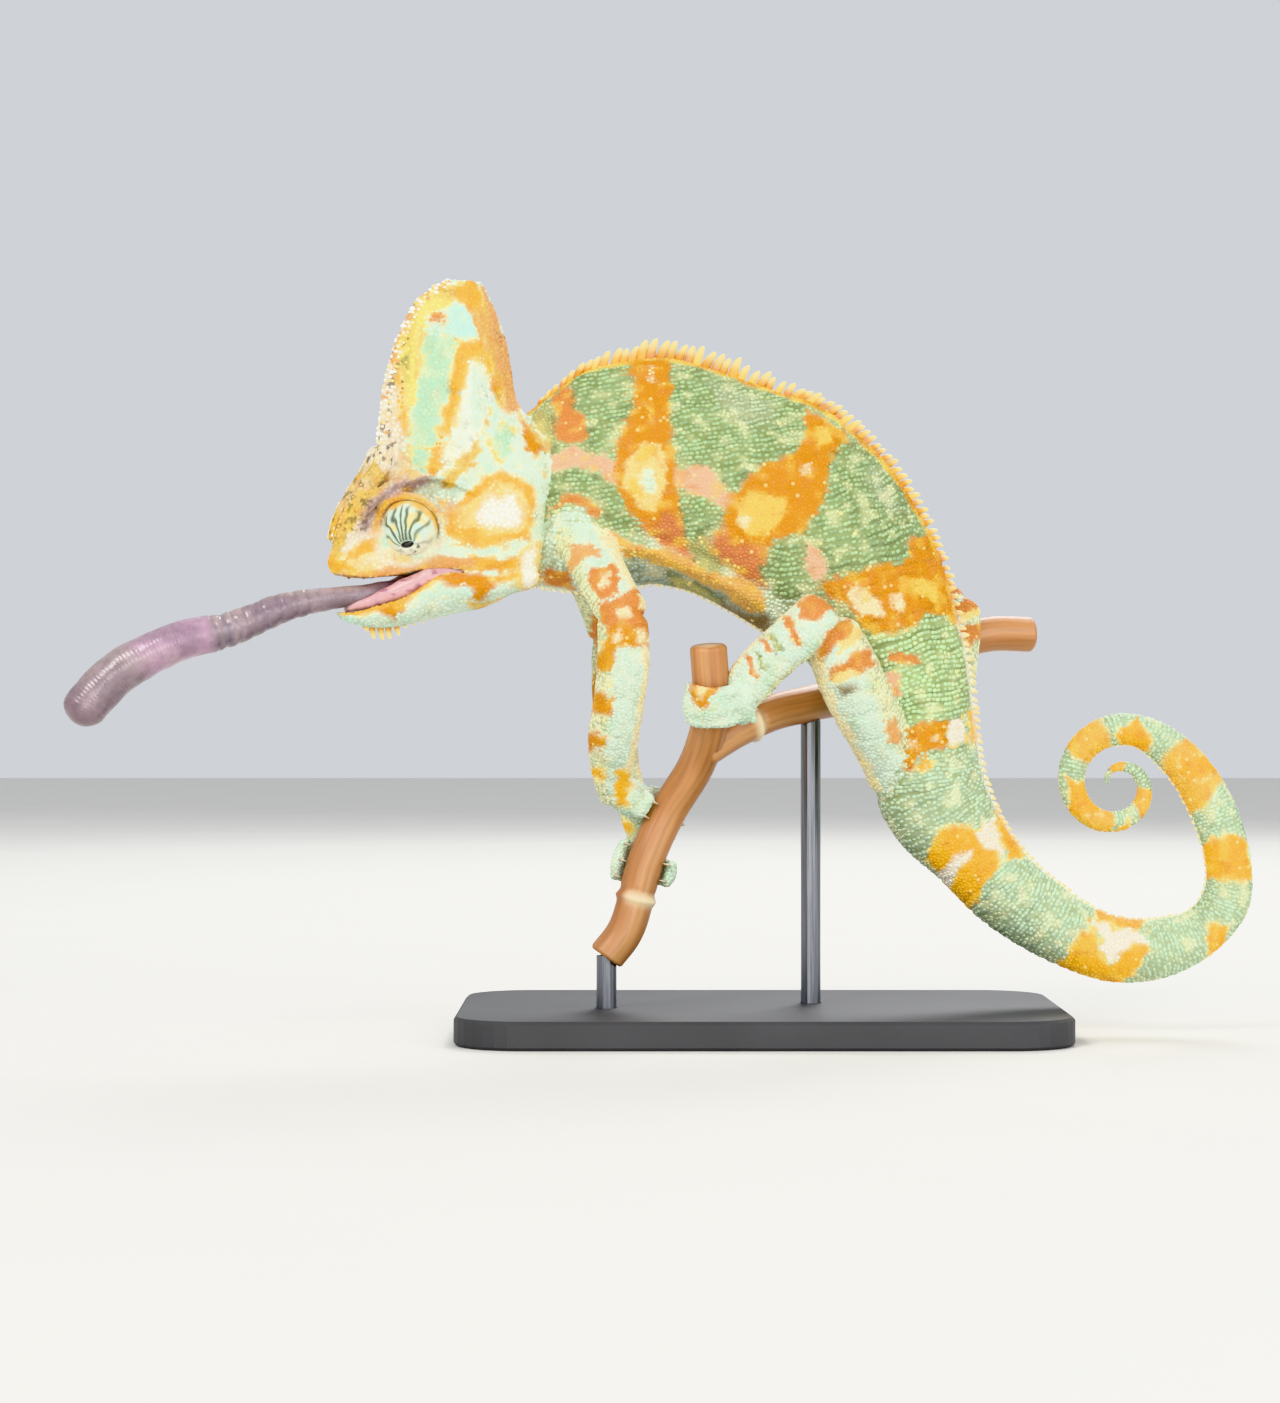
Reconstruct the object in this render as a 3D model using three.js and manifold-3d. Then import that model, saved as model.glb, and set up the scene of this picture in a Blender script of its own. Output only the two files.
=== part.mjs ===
// Veiled chameleon, adult male, life size: it grips two cut lengths of cane on a plain display stand,
// with its mouth open and its tongue out.
// Millimetres. +Z is up, the animal faces -X and its left side faces -Y.
// The origin is the centre of the stand's underside.
import * as THREE from "three";
import { mergeVertices } from "three/addons/utils/BufferGeometryUtils.js";
import Module from "manifold-3d";

const wasm = await Module();
wasm.setup();

// ---------------------------------------------------------------- driving dimensions

const GAP = 0.3; // clearance between neighbouring solids
const SINK = 1.2; // how deep a spine's or bead's root goes into its node
const AXIS_X = new THREE.Vector3(1, 0, 0);
const AXIS_Y = new THREE.Vector3(0, 1, 0);
const AXIS_Z = new THREE.Vector3(0, 0, 1);

const BASE = { length: 150, depth: 96, thick: 7, corner: 16, bevel: 0.8 };
const ROD_RADIUS = 2.5;
const ROD_SEAT = 2; // how deep a rod's foot sits in the base
const CANE_RADIUS = 4.6;

const HEAD = {
  pivot: new THREE.Vector3(-52, 0, 130), // where the skull sits on the neck
  yaw: THREE.MathUtils.degToRad(18), // turned towards the animal's left
};
const EYE = { ahead: 37.5, aside: 8.3, height: 127, radius: 7.2, bulge: 8, rim: 1.2 };
const TOE_RADIUS = 2.1;
const CREST_PITCH = 3; // from one spine of the back to the next
const GULAR_PITCH = 3.2; // along the chin
const VENTRAL_PITCH = 3.8; // along the belly
const BEAD_PITCH = 3.2; // along the front edge of the casque
const BEAD_RADIUS = 1.25;

// ---------------------------------------------------------------- solids and meshes

const v3 = (x, y, z) => new THREE.Vector3(x, y, z);

// A closed BufferGeometry as a manifold-3d solid.
function solidOf(geometry) {
  const bare = new THREE.BufferGeometry();
  bare.setAttribute("position", geometry.getAttribute("position").clone());
  if (geometry.index) bare.setIndex(geometry.index.clone());
  const merged = mergeVertices(bare, 1e-4);
  const made = new wasm.Manifold(
    new wasm.Mesh({
      numProp: 3,
      vertProperties: new Float32Array(merged.attributes.position.array),
      triVerts: new Uint32Array(merged.index.array),
    }),
  );
  if (made.volume() > 0) return made;
  const turned = new Uint32Array(merged.index.array);
  for (let i = 0; i < turned.length; i += 3) {
    [turned[i + 1], turned[i + 2]] = [turned[i + 2], turned[i + 1]];
  }
  return new wasm.Manifold(
    new wasm.Mesh({
      numProp: 3,
      vertProperties: new Float32Array(merged.attributes.position.array),
      triVerts: turned,
    }),
  );
}

function geometryOf(solid) {
  const mesh = solid.getMesh();
  const positions = new Float32Array(mesh.numVert * 3);
  for (let i = 0; i < mesh.numVert; i++) {
    positions.set(mesh.vertProperties.subarray(i * mesh.numProp, i * mesh.numProp + 3), i * 3);
  }
  return new THREE.BufferGeometry()
    .setAttribute("position", new THREE.BufferAttribute(positions, 3))
    .setIndex(new THREE.BufferAttribute(new Uint32Array(mesh.triVerts), 1));
}

const join = (solids) => wasm.Manifold.union(solids);

function largestOf(solid) {
  const pieces = solid.decompose();
  return pieces.reduce((a, b) => (b.volume() > a.volume() ? b : a));
}

const cutBy = (solid, ...others) => largestOf(others.reduce((s, o) => s.subtract(o), solid));

// The same solid with its surface moved outwards along its own normals.
function inflated(solid, by = GAP) {
  const geometry = mergeVertices(geometryOf(solid), 1e-4);
  geometry.computeVertexNormals();
  const place = geometry.getAttribute("position");
  const normal = geometry.getAttribute("normal");
  for (let i = 0; i < place.count; i++) {
    place.setXYZ(
      i,
      place.getX(i) + normal.getX(i) * by,
      place.getY(i) + normal.getY(i) * by,
      place.getZ(i) + normal.getZ(i) * by,
    );
  }
  return solidOf(geometry);
}

// A closed skin through rings of points, with a flat fan at each end, or a point if tip is given.
function loft(rings, tip) {
  const sides = rings[0].length;
  const points = rings.flat();
  const index = [];
  for (let r = 0; r + 1 < rings.length; r++) {
    for (let i = 0; i < sides; i++) {
      const a = r * sides + i;
      const b = r * sides + ((i + 1) % sides);
      index.push(a, b, a + sides, b, b + sides, a + sides);
    }
  }
  for (const [ring, first, turn, point] of [
    [rings[0], 0, true, null],
    [rings.at(-1), (rings.length - 1) * sides, false, tip],
  ]) {
    points.push(point ?? ring.reduce((sum, p) => sum.add(p), v3(0, 0, 0)).divideScalar(sides));
    for (let i = 0; i < sides; i++) {
      const a = first + i;
      const b = first + ((i + 1) % sides);
      index.push(...(turn ? [points.length - 1, b, a] : [points.length - 1, a, b]));
    }
  }
  const geometry = new THREE.BufferGeometry().setFromPoints(points);
  geometry.setIndex(index);
  return solidOf(geometry);
}

// A tube of changing radius along points {p, r, flat}: flat is its thickness over its width, and wide is the
// direction of its width. Its end is rounded, and so is its start unless that is buried.
function limb(stations, sides = 11, wide = AXIS_X, steps = 2, buried = false) {
  const path = new THREE.CatmullRomCurve3(stations.map((s) => s.p));
  const sizes = new THREE.CatmullRomCurve3(stations.map((s) => v3(s.r, s.flat ?? 0.88, 0)));
  const count = (stations.length - 1) * steps;
  const rings = [];
  const ringAt = (t, scale, push) => {
    const along = path.getTangent(t).normalize();
    const thick = v3(0, 0, 0).crossVectors(along, wide).normalize();
    const across = v3(0, 0, 0).crossVectors(thick, along).normalize();
    const { x: radius, y: flat } = sizes.getPoint(t);
    const centre = path.getPoint(t).addScaledVector(along, push * radius);
    const ring = [];
    for (let i = 0; i < sides; i++) {
      const angle = (2 * Math.PI * i) / sides;
      ring.push(
        centre
          .clone()
          .addScaledVector(across, Math.cos(angle) * radius * scale)
          .addScaledVector(thick, Math.sin(angle) * radius * scale * flat),
      );
    }
    return ring;
  };
  if (!buried) rings.push(ringAt(0, 0.45, -0.42), ringAt(0, 0.82, -0.24));
  for (let i = 0; i <= count; i++) rings.push(ringAt(i / count, 1, 0));
  if (!buried) rings.push(ringAt(1, 0.82, 0.24));
  rings.push(ringAt(1, 0.5, 0.42));
  return loft(rings);
}

// A pointed cone: it stands on root along out, is longer along than across, and its tip leans along.
function spine(root, along, out, { height, length, thick, lean = 0.25, sides = 4 }) {
  const across = v3(0, 0, 0).crossVectors(along, out).normalize();
  const centreAt = (share) =>
    root
      .clone()
      .addScaledVector(out, share * height - (share === 0 ? SINK : 0))
      .addScaledVector(along, lean * height * share * share);
  const ringAt = (share, width) => {
    const centre = centreAt(share);
    const ring = [];
    for (let i = 0; i < sides; i++) {
      const angle = (2 * Math.PI * (i + 0.5)) / sides;
      ring.push(
        centre
          .clone()
          .addScaledVector(along, (Math.cos(angle) * length * width) / 2)
          .addScaledVector(across, (Math.sin(angle) * thick * width) / 2),
      );
    }
    return ring;
  };
  return loft([ringAt(0, 1), ringAt(0.55, 0.6)], centreAt(1));
}

function bead(centre, radius, detail = 0) {
  const shape = detail ? new THREE.IcosahedronGeometry(radius, 0) : new THREE.OctahedronGeometry(radius);
  shape.translate(centre.x, centre.y, centre.z);
  return solidOf(shape);
}

// A ring of round section about an axis.
function ringAround(centre, axis, radius, thickness, segments = [5, 16]) {
  const shape = new THREE.TorusGeometry(radius, thickness, ...segments);
  shape.applyQuaternion(new THREE.Quaternion().setFromUnitVectors(AXIS_Z, axis));
  shape.translate(centre.x, centre.y, centre.z);
  return solidOf(shape);
}

// A share of size between 1 - spread and 1 + spread, the same each time for the same seed.
const varied = (seed, spread) => 1 + spread * (2 * THREE.MathUtils.seededRandom(seed) - 1);

function ball(centre, radii, turn = new THREE.Quaternion(), detail = [12, 8]) {
  const shape = new THREE.SphereGeometry(1, ...detail);
  shape.scale(...radii);
  shape.applyQuaternion(turn);
  shape.translate(centre.x, centre.y, centre.z);
  return solidOf(shape);
}

// The value in column key of a list sorted by its first column, at a place between two rows.
function valueAt(list, at, key = 1) {
  const i = list.findIndex((row) => row[0] >= at);
  if (i === 0) return list[0][key];
  if (i === -1) return list.at(-1)[key];
  const share = (at - list[i - 1][0]) / (list[i][0] - list[i - 1][0]);
  return list[i - 1][key] + share * (list[i][key] - list[i - 1][key]);
}

// ---------------------------------------------------------------- trunk and tail

// Stations down the trunk: back [x, z], belly [x, z] and half width. The keel is how sharp the back is.
const TRUNK = [
  { back: [-62, 152], belly: [-60, 112], wide: 10.5, keel: 0.1 },
  { back: [-54, 158.5], belly: [-53, 111], wide: 12.4, keel: 0.2 },
  { back: [-44, 165.5], belly: [-44, 110], wide: 14.2, keel: 0.3 },
  { back: [-34, 168], belly: [-35, 111], wide: 15.6, keel: 0.35 },
  { back: [-23, 169], belly: [-26, 112], wide: 16.6, keel: 0.4 },
  { back: [-10, 165.5], belly: [-17, 110], wide: 17.2, keel: 0.4 },
  { back: [3, 161], belly: [-8, 105.5], wide: 17.2, keel: 0.4 },
  { back: [15, 157], belly: [1, 100], wide: 16.8, keel: 0.4 },
  { back: [26.5, 148], belly: [10, 94], wide: 16, keel: 0.35 },
  { back: [34.1, 139.6], belly: [14, 90], wide: 15, keel: 0.35 },
  { back: [40.8, 128.6], belly: [18, 86], wide: 14, keel: 0.3 },
  { back: [45.6, 117.7], belly: [21, 81], wide: 13.2, keel: 0.3 },
  { back: [49, 106.3], belly: [24, 77], wide: 12.6, keel: 0.3 },
  { back: [51.5, 96], belly: [26, 72], wide: 12, keel: 0.25 },
  { back: [53, 86], belly: [27, 68], wide: 11.6, keel: 0.25 },
  { back: [54.2, 75], belly: [28.5, 63], wide: 11.2, keel: 0.25 },
  { back: [56.2, 64.3], belly: [30, 55], wide: 10.8, keel: 0.25 },
  { back: [58.9, 57], belly: [36, 46], wide: 10.2, keel: 0.25 },
  { back: [62.5, 50.4], belly: [44.5, 38.5], wide: 9.5, keel: 0.2 },
  { back: [68, 43.4], belly: [54, 29], wide: 8.8, keel: 0.2 },
  { back: [75.7, 36.8], belly: [64, 22], wide: 8.2, keel: 0.2 },
  { back: [83.4, 31.4], belly: [76, 16], wide: 7.6, keel: 0.15 },
  { back: [92, 28.6], belly: [88, 12.5], wide: 7, keel: 0.15 },
  { back: [101, 29], belly: [101, 13.5], wide: 6.4, keel: 0.1 },
  { back: [107.5, 31], belly: [113, 19.5], wide: 5.9, keel: 0.1 },
  { back: [111, 36.5], belly: [122, 30], wide: 5.5, keel: 0.1 },
  { back: [111, 44], belly: [123, 43], wide: 5.2, keel: 0.1 },
  { back: [108, 53], belly: [119, 57.5], wide: 4.9, keel: 0.1 },
  { back: [103, 62.5], belly: [111, 70], wide: 4.6, keel: 0.1 },
];
// The end of the tail curls inwards on a spiral in the plane of the body.
const CURL = {
  centre: [89.5, 62],
  from: THREE.MathUtils.degToRad(57),
  to: THREE.MathUtils.degToRad(535),
  radius: [14.8, 2.2],
  half: [4.5, 0.7],
  stations: 14,
  aside: 3, // how far its tip lies to the animal's right
};

function curlStation(share) {
  const angle = CURL.from + share * (CURL.to - CURL.from);
  const radius = THREE.MathUtils.lerp(...CURL.radius, share);
  const half = THREE.MathUtils.lerp(...CURL.half, share);
  const at = (r) => [
    CURL.centre[0] + r * Math.cos(angle),
    CURL.centre[1] + r * Math.sin(angle),
  ];
  return { back: at(radius - half), belly: at(radius + half), wide: half * 0.92, keel: 0.1 };
}

const STATIONS = [...TRUNK];
for (let i = 0; i < CURL.stations; i++) STATIONS.push(curlStation(i / (CURL.stations - 1)));
const LAST = STATIONS.length - 1;
const CURL_START = TRUNK.length - 1;

const asideAt = (i) => CURL.aside * THREE.MathUtils.smoothstep(i, CURL_START, LAST);
const backLine = new THREE.CatmullRomCurve3(
  STATIONS.map((s, i) => v3(s.back[0], asideAt(i), s.back[1])),
  false,
  "catmullrom",
);
const bellyLine = new THREE.CatmullRomCurve3(
  STATIONS.map((s, i) => v3(s.belly[0], asideAt(i), s.belly[1])),
  false,
  "catmullrom",
);
const widthLine = new THREE.CatmullRomCurve3(
  STATIONS.map((s) => v3(s.wide, s.keel, 0)),
  false,
  "catmullrom",
);
const backAt = (t) => backLine.getPoint(t / LAST);
const bellyAt = (t) => bellyLine.getPoint(t / LAST);
const middleAt = (t) => backAt(t).add(bellyAt(t)).multiplyScalar(0.5);

// How far each side stands out at height v, from -1 on the belly to 1 on the back: widest below the middle.
function sideShare(v, keel) {
  const round = Math.sqrt(Math.max(0, 1 - v * v));
  return round * (1 - 0.3 * keel * v) * (1 - keel * THREE.MathUtils.smoothstep(v, 0.3, 1));
}

function trunkRing(t, sides) {
  const back = backAt(t);
  const belly = bellyAt(t);
  const { x: wide, y: keel } = widthLine.getPoint(t / LAST);
  const middle = back.clone().add(belly).multiplyScalar(0.5);
  const up = back.clone().sub(belly).multiplyScalar(0.5);
  const ring = [];
  for (let i = 0; i < sides; i++) {
    const angle = (2 * Math.PI * (i + 0.5)) / sides;
    const v = Math.sin(angle);
    const aside = Math.sign(Math.cos(angle)) * wide * sideShare(v, keel);
    ring.push(middle.clone().addScaledVector(up, v).addScaledVector(AXIS_Y, aside));
  }
  return ring;
}

function trunkPiece(from, to, sides, perStation) {
  const count = Math.max(2, Math.round((to - from) * perStation));
  const rings = [];
  for (let i = 0; i <= count; i++) rings.push(trunkRing(from + ((to - from) * i) / count, sides));
  return loft(rings);
}

// The station at a given distance past another one, measured down the middle or another line.
function stationPast(t, distance, line = middleAt) {
  const step = 0.02;
  return t + (distance * step) / line(t).distanceTo(line(t + step));
}

// ---------------------------------------------------------------- head

const HEAD_FORWARD = v3(-Math.cos(HEAD.yaw), -Math.sin(HEAD.yaw), 0);
const HEAD_LEFT = v3(0, 0, 0).crossVectors(AXIS_Z, HEAD_FORWARD);
// A point of the head from its distance ahead of the neck, to the left of the midline, and its height.
const headPoint = (ahead, left, height) =>
  HEAD.pivot
    .clone()
    .addScaledVector(HEAD_FORWARD, ahead)
    .addScaledVector(HEAD_LEFT, left)
    .setZ(height);

// Levels up the skull and casque: front [ahead, height], rear [ahead, height], half width, how much of
// a casque and not of a jaw its outline is, and how deep the trough between the brow ridges is.
const SKULL = [
  { front: [56.5, 114.1], rear: [4.4, 115.2], wide: 14.4, casque: 0, trough: 0 },
  { front: [57.5, 117.1], rear: [3.9, 119.2], wide: 15.6, casque: 0, trough: 0 },
  { front: [56.3, 123], rear: [3.1, 127], wide: 16, casque: 0, trough: 0.8 },
  { front: [53.8, 129.8], rear: [2.1, 134.5], wide: 15.8, casque: 0.05, trough: 1.8 },
  { front: [49.9, 136.8], rear: [1.3, 141.7], wide: 15, casque: 0.2, trough: 2.2 },
  { front: [45.7, 141.8], rear: [1.8, 147.5], wide: 13.4, casque: 0.5, trough: 1.2 },
  { front: [45.2, 147.2], rear: [5.5, 152.6], wide: 11.4, casque: 0.8, trough: 0 },
  { front: [44.2, 155.9], rear: [9.1, 158.5], wide: 9.6, casque: 1, trough: 0 },
  { front: [42.7, 164.5], rear: [10.4, 166], wide: 8, casque: 1, trough: 0 },
  { front: [39.9, 173.2], rear: [11.9, 173.4], wide: 6.3, casque: 1, trough: 0 },
  { front: [36.1, 180.8], rear: [14.3, 179.8], wide: 4.6, casque: 1, trough: 0 },
  { front: [32.2, 184.6], rear: [16.1, 183.7], wide: 3.3, casque: 1, trough: 0 },
  { front: [27.6, 187.5], rear: [18.1, 187.1], wide: 1.8, casque: 1, trough: 0 },
];
// Half width along an outline, as a share of its widest: [share from front to rear, jaw, casque].
const OUTLINE = [
  [0, 0, 0],
  [0.035, 0.22, 0.12],
  [0.1, 0.36, 0.19],
  [0.2, 0.48, 0.3],
  [0.32, 0.58, 0.46],
  [0.45, 0.7, 0.68],
  [0.56, 0.82, 0.92],
  [0.65, 0.92, 1],
  [0.76, 1, 0.86],
  [0.88, 0.97, 0.55],
  [0.96, 0.74, 0.26],
  [1, 0, 0],
];
const TROUGH_HALF = 5.2; // half the distance between the brow ridges
// The edge of the upper lip: [ahead, height].
const LIP = [
  [4.4, 115.2],
  [8.2, 114.7],
  [12.5, 115.6],
  [17.6, 113.8],
  [24.3, 114.5],
  [30.6, 115.9],
  [36.9, 115],
  [41.9, 113.8],
  [48.9, 113],
  [53.9, 113.5],
  [56.5, 114.1],
];
// The brow ridge from the snout over the eye to the temple: [ahead, left, height, radius].
const BROW = [
  [54.6, 3.4, 120.5, 1.1],
  [51.5, 6.2, 126.4, 1.4],
  [47.5, 8.6, 132.3, 1.6],
  [42.4, 10.3, 136, 1.7],
  [36, 11.6, 138.2, 1.7],
  [29.5, 12.6, 137.4, 1.5],
  [24, 13.3, 134.6, 1.2],
];

function skullRing(level, isLip) {
  const ring = [];
  const sideRows = OUTLINE.slice(1, -1);
  const rows = [
    ...OUTLINE.slice(0, -1).map((row) => [row, 1]),
    [OUTLINE.at(-1), 1],
    ...sideRows.toReversed().map((row) => [row, -1]),
  ];
  for (const [[share, jaw, casque], side] of rows) {
    const width = level.wide * (jaw + (casque - jaw) * level.casque);
    const left = side * width;
    const near = Math.max(0, 1 - (left / TROUGH_HALF) ** 2);
    const hollow = share < 0.3 ? level.trough * near : 0;
    const ahead = level.front[0] + (level.rear[0] - level.front[0]) * share - hollow;
    const slope = level.front[1] + (level.rear[1] - level.front[1]) * share;
    ring.push(headPoint(ahead, left, isLip ? valueAt(LIP, ahead) : slope));
  }
  return ring;
}

function makeSkull() {
  const rings = SKULL.map((level, i) => skullRing(level, i === 0));
  return loft(rings);
}

// Stations along the lower jaw from its tip back: ahead, rim height, underside height, half width.
const JAW = [
  [55, 105.3, 104.2, 1.4],
  [52.5, 105, 102.2, 4],
  [46.4, 106.5, 100.9, 7.6],
  [39.6, 109, 101.2, 10.8],
  [31.5, 114.2, 103, 13.2],
  [24.3, 114.2, 104.7, 14.4],
  [18, 113.6, 106, 14.8],
  [12, 114.8, 109, 14.6],
  [7, 114.6, 110.5, 13.4],
];
const JAW_TROUGH = 2.6;
// Half a section of the jaw from the middle of the mouth's floor to the chin: [share of width, height share].
const JAW_SECTION = [
  [0, -1, 0],
  [0.5, -0.9, 0],
  [0.8, -0.3, 0],
  [0.93, 0, 0],
  [1, 0, 0.2],
  [0.95, 0, 0.5],
  [0.72, 0, 0.8],
  [0.38, 0, 0.95],
  [0, 0, 1],
];

function makeJaw() {
  const rings = JAW.map(([ahead, rim, under, wide]) => {
    const trough = Math.min(JAW_TROUGH, (rim - under) * 0.45);
    const half = JAW_SECTION.map(([across, sunk, down]) => [
      across * wide,
      rim + sunk * trough - down * (rim - under),
    ]);
    const other = half.slice(1, -1).toReversed();
    return [
      ...half.map(([left, height]) => headPoint(ahead, left, height)),
      ...other.map(([left, height]) => headPoint(ahead, -left, height)),
    ];
  });
  return loft(rings);
}

const EYE_SHAPE = [
  [0, 1.02],
  [0.16, 1.0],
  [0.3, 0.97],
  [0.5, 0.86],
  [0.72, 0.66],
  [0.9, 0.38],
  [1, 0],
];

// The eye turret: a blunt cone of fused lids that looks forwards and a little down, with the pupil's opening.
function eyeAxis(side) {
  const centre = headPoint(EYE.ahead, side * EYE.aside, EYE.height);
  const gaze = HEAD_LEFT.clone()
    .multiplyScalar(side * 0.72)
    .addScaledVector(HEAD_FORWARD, 0.46)
    .addScaledVector(AXIS_Z, -0.46)
    .normalize();
  return { centre, gaze };
}

function makeEye(side, skull) {
  const { centre, gaze } = eyeAxis(side);
  const profile = EYE_SHAPE.toReversed().map(
    ([r, h]) => new THREE.Vector2(r * EYE.radius, h * EYE.bulge),
  );
  const outline = [
    new THREE.Vector2(0, -3),
    new THREE.Vector2(EYE.radius * 0.97, -3),
    ...profile.slice(0, -2),
    new THREE.Vector2(1.3, EYE.bulge * 0.99),
    new THREE.Vector2(0.9, EYE.bulge - 1),
    new THREE.Vector2(0, EYE.bulge - 1),
  ];
  const dome = new THREE.LatheGeometry(outline, 16);
  dome.applyQuaternion(new THREE.Quaternion().setFromUnitVectors(AXIS_Y, gaze));
  dome.translate(centre.x, centre.y, centre.z);
  return cutBy(solidOf(dome), skull);
}

// The swollen rim of the orbit, half sunk in the skull.
function orbitRim(side) {
  const { centre, gaze } = eyeAxis(side);
  const seat = centre.clone().addScaledVector(gaze, 0.6);
  return ringAround(seat, gaze, EYE.radius + GAP + EYE.rim * 0.7, EYE.rim, [4, 14]);
}

function browRidge(side) {
  const stations = BROW.map(([ahead, left, height, r]) => ({
    p: headPoint(ahead, side * left, height),
    r,
    flat: 1,
  }));
  return limb(stations, 5, AXIS_Z, 1);
}

// Round tubercles up the front edge of the casque.
function casqueBeads() {
  const edge = new THREE.CatmullRomCurve3(
    SKULL.slice(2).map(({ front: [ahead, height] }) => headPoint(ahead - 0.25 * BEAD_RADIUS, 0, height)),
  );
  const count = Math.round(edge.getLength() / BEAD_PITCH);
  return edge.getSpacedPoints(count).map((place, i) => bead(place, BEAD_RADIUS * varied(i, 0.18)));
}

const nostrilPit = (side) => bead(headPoint(51.4, side * 7.2, 122.6), 1.1, 1);

// Spines hanging in one row from the chin, the second and third the longest: [share of row, height].
const GULAR = [
  [0, 1.6],
  [0.12, 3.2],
  [0.25, 3.5],
  [0.4, 2.6],
  [0.6, 1.6],
  [1, 1],
];

function gularSpines() {
  const [start, end] = [47.5, 20];
  const count = Math.round((start - end) / GULAR_PITCH);
  const back = HEAD_FORWARD.clone().negate();
  const down = AXIS_Z.clone().negate();
  return Array.from({ length: count + 1 }, (_, i) => {
    const ahead = start + ((end - start) * i) / count;
    const height = valueAt(GULAR, i / count) * varied(40 + i, 0.12);
    const under = valueAt(JAW.toReversed(), ahead, 2);
    return spine(headPoint(ahead, 0, under + 0.2), back, down, {
      height,
      length: 0.9 + height * 0.4,
      thick: 0.9 + height * 0.25,
    });
  });
}

// ---------------------------------------------------------------- tongue

const TONGUE = [
  { p: headPoint(34, 0, 111.2), r: 1.9, flat: 1 },
  { p: v3(-90.5, -13.6, 110.4), r: 2.4, flat: 1 },
  { p: v3(-98.5, -16.2, 109), r: 2.7, flat: 1 },
  { p: v3(-106.5, -18.8, 108), r: 3, flat: 1 },
  { p: v3(-117.5, -22, 105.5), r: 3.8, flat: 1 },
  { p: v3(-129.5, -25, 100.5), r: 4.5, flat: 1 },
  { p: v3(-141, -28, 97.6), r: 5, flat: 1 },
];
const TONGUE_PAD = [
  { p: v3(-141.5, -28.2, 97.4), r: 5.2, flat: 1 },
  { p: v3(-151, -30, 93), r: 5.4, flat: 0.98 },
  { p: v3(-157.5, -31, 88.5), r: 5.6, flat: 0.96 },
  { p: v3(-163, -32, 82.5), r: 5.6, flat: 0.94 },
  { p: v3(-167, -32.6, 76.2), r: 5.2, flat: 0.92 },
];

// ---------------------------------------------------------------- canes and stand

const CANE_FRONT = [
  [-38.5, -8, 19.5],
  [-33, -7.5, 27.5],
  [-28.5, -7, 43.5],
  [-23, -6, 55.5],
  [-16.4, -9.6, 66.5],
  [-13.2, -16.4, 76],
  [-12.6, -21.4, 84],
  [-13.4, -23.6, 96.5],
];
const CANE_REAR = [
  [-15, -14, 70.6],
  [-6, -7.4, 76],
  [3, -0.6, 80],
  [13, 7, 82.4],
  [28.5, 23, 86],
  [45, 33, 95.5],
  [60, 38.5, 100.2],
  [72.4, 42, 100.4],
];
const CANE_KNOT = 0.7; // how far a knot stands out of its cane

const caneLine = (points) => new THREE.CatmullRomCurve3(points.map((p) => v3(...p)));

function makeCane(points, radius, steps) {
  const around = new THREE.Shape().absarc(0, 0, radius, 0, 2 * Math.PI);
  const shape = new THREE.ExtrudeGeometry(around, {
    steps,
    curveSegments: 6,
    extrudePath: caneLine(points),
  });
  return solidOf(shape);
}

// A knot of the cane, at a share of its length.
function caneKnot(points, share) {
  const line = caneLine(points);
  const radius = CANE_RADIUS - CANE_KNOT / 2;
  return ringAround(line.getPointAt(share), line.getTangentAt(share), radius, CANE_KNOT * 1.5, [5, 12]);
}

// The point of a cane nearest to a given one, with the cane's direction there.
function gripOn(points, near) {
  const line = caneLine(points);
  let best = 0;
  for (let i = 0; i <= 200; i++) {
    if (line.getPoint(i / 200).distanceTo(near) < line.getPoint(best).distanceTo(near)) best = i / 200;
  }
  return { point: line.getPoint(best), axis: line.getTangent(best).normalize() };
}

function makeBase() {
  const { length, depth, thick, corner, bevel } = BASE;
  const [x, y, r] = [length / 2 - bevel, depth / 2 - bevel, corner];
  const plate = new THREE.Shape();
  plate.moveTo(-x + r, -y);
  plate.lineTo(x - r, -y);
  plate.absarc(x - r, -y + r, r, -Math.PI / 2, 0);
  plate.lineTo(x, y - r);
  plate.absarc(x - r, y - r, r, 0, Math.PI / 2);
  plate.lineTo(-x + r, y);
  plate.absarc(-x + r, y - r, r, Math.PI / 2, Math.PI);
  plate.lineTo(-x, -y + r);
  plate.absarc(-x + r, -y + r, r, Math.PI, 1.5 * Math.PI);
  const shape = new THREE.ExtrudeGeometry(plate, {
    depth: thick - 2 * bevel,
    bevelThickness: bevel,
    bevelSize: bevel,
    bevelSegments: 1,
    curveSegments: 4,
  });
  shape.translate(0, 0, bevel);
  return solidOf(shape);
}

// An upright rod from the base to the underside of a cane.
function makeRod(x, y, top, cane) {
  const foot = BASE.thick - ROD_SEAT + GAP;
  const shape = new THREE.CylinderGeometry(ROD_RADIUS, ROD_RADIUS, top - foot, 16);
  shape.rotateX(Math.PI / 2);
  shape.translate(x, y, (top + foot) / 2);
  return cutBy(solidOf(shape), cane);
}

function rodHole(x, y) {
  const shape = new THREE.CylinderGeometry(ROD_RADIUS + GAP, ROD_RADIUS + GAP, 2 * ROD_SEAT, 16);
  shape.rotateX(Math.PI / 2);
  shape.translate(x, y, BASE.thick);
  return solidOf(shape);
}

// ---------------------------------------------------------------- feet

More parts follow.
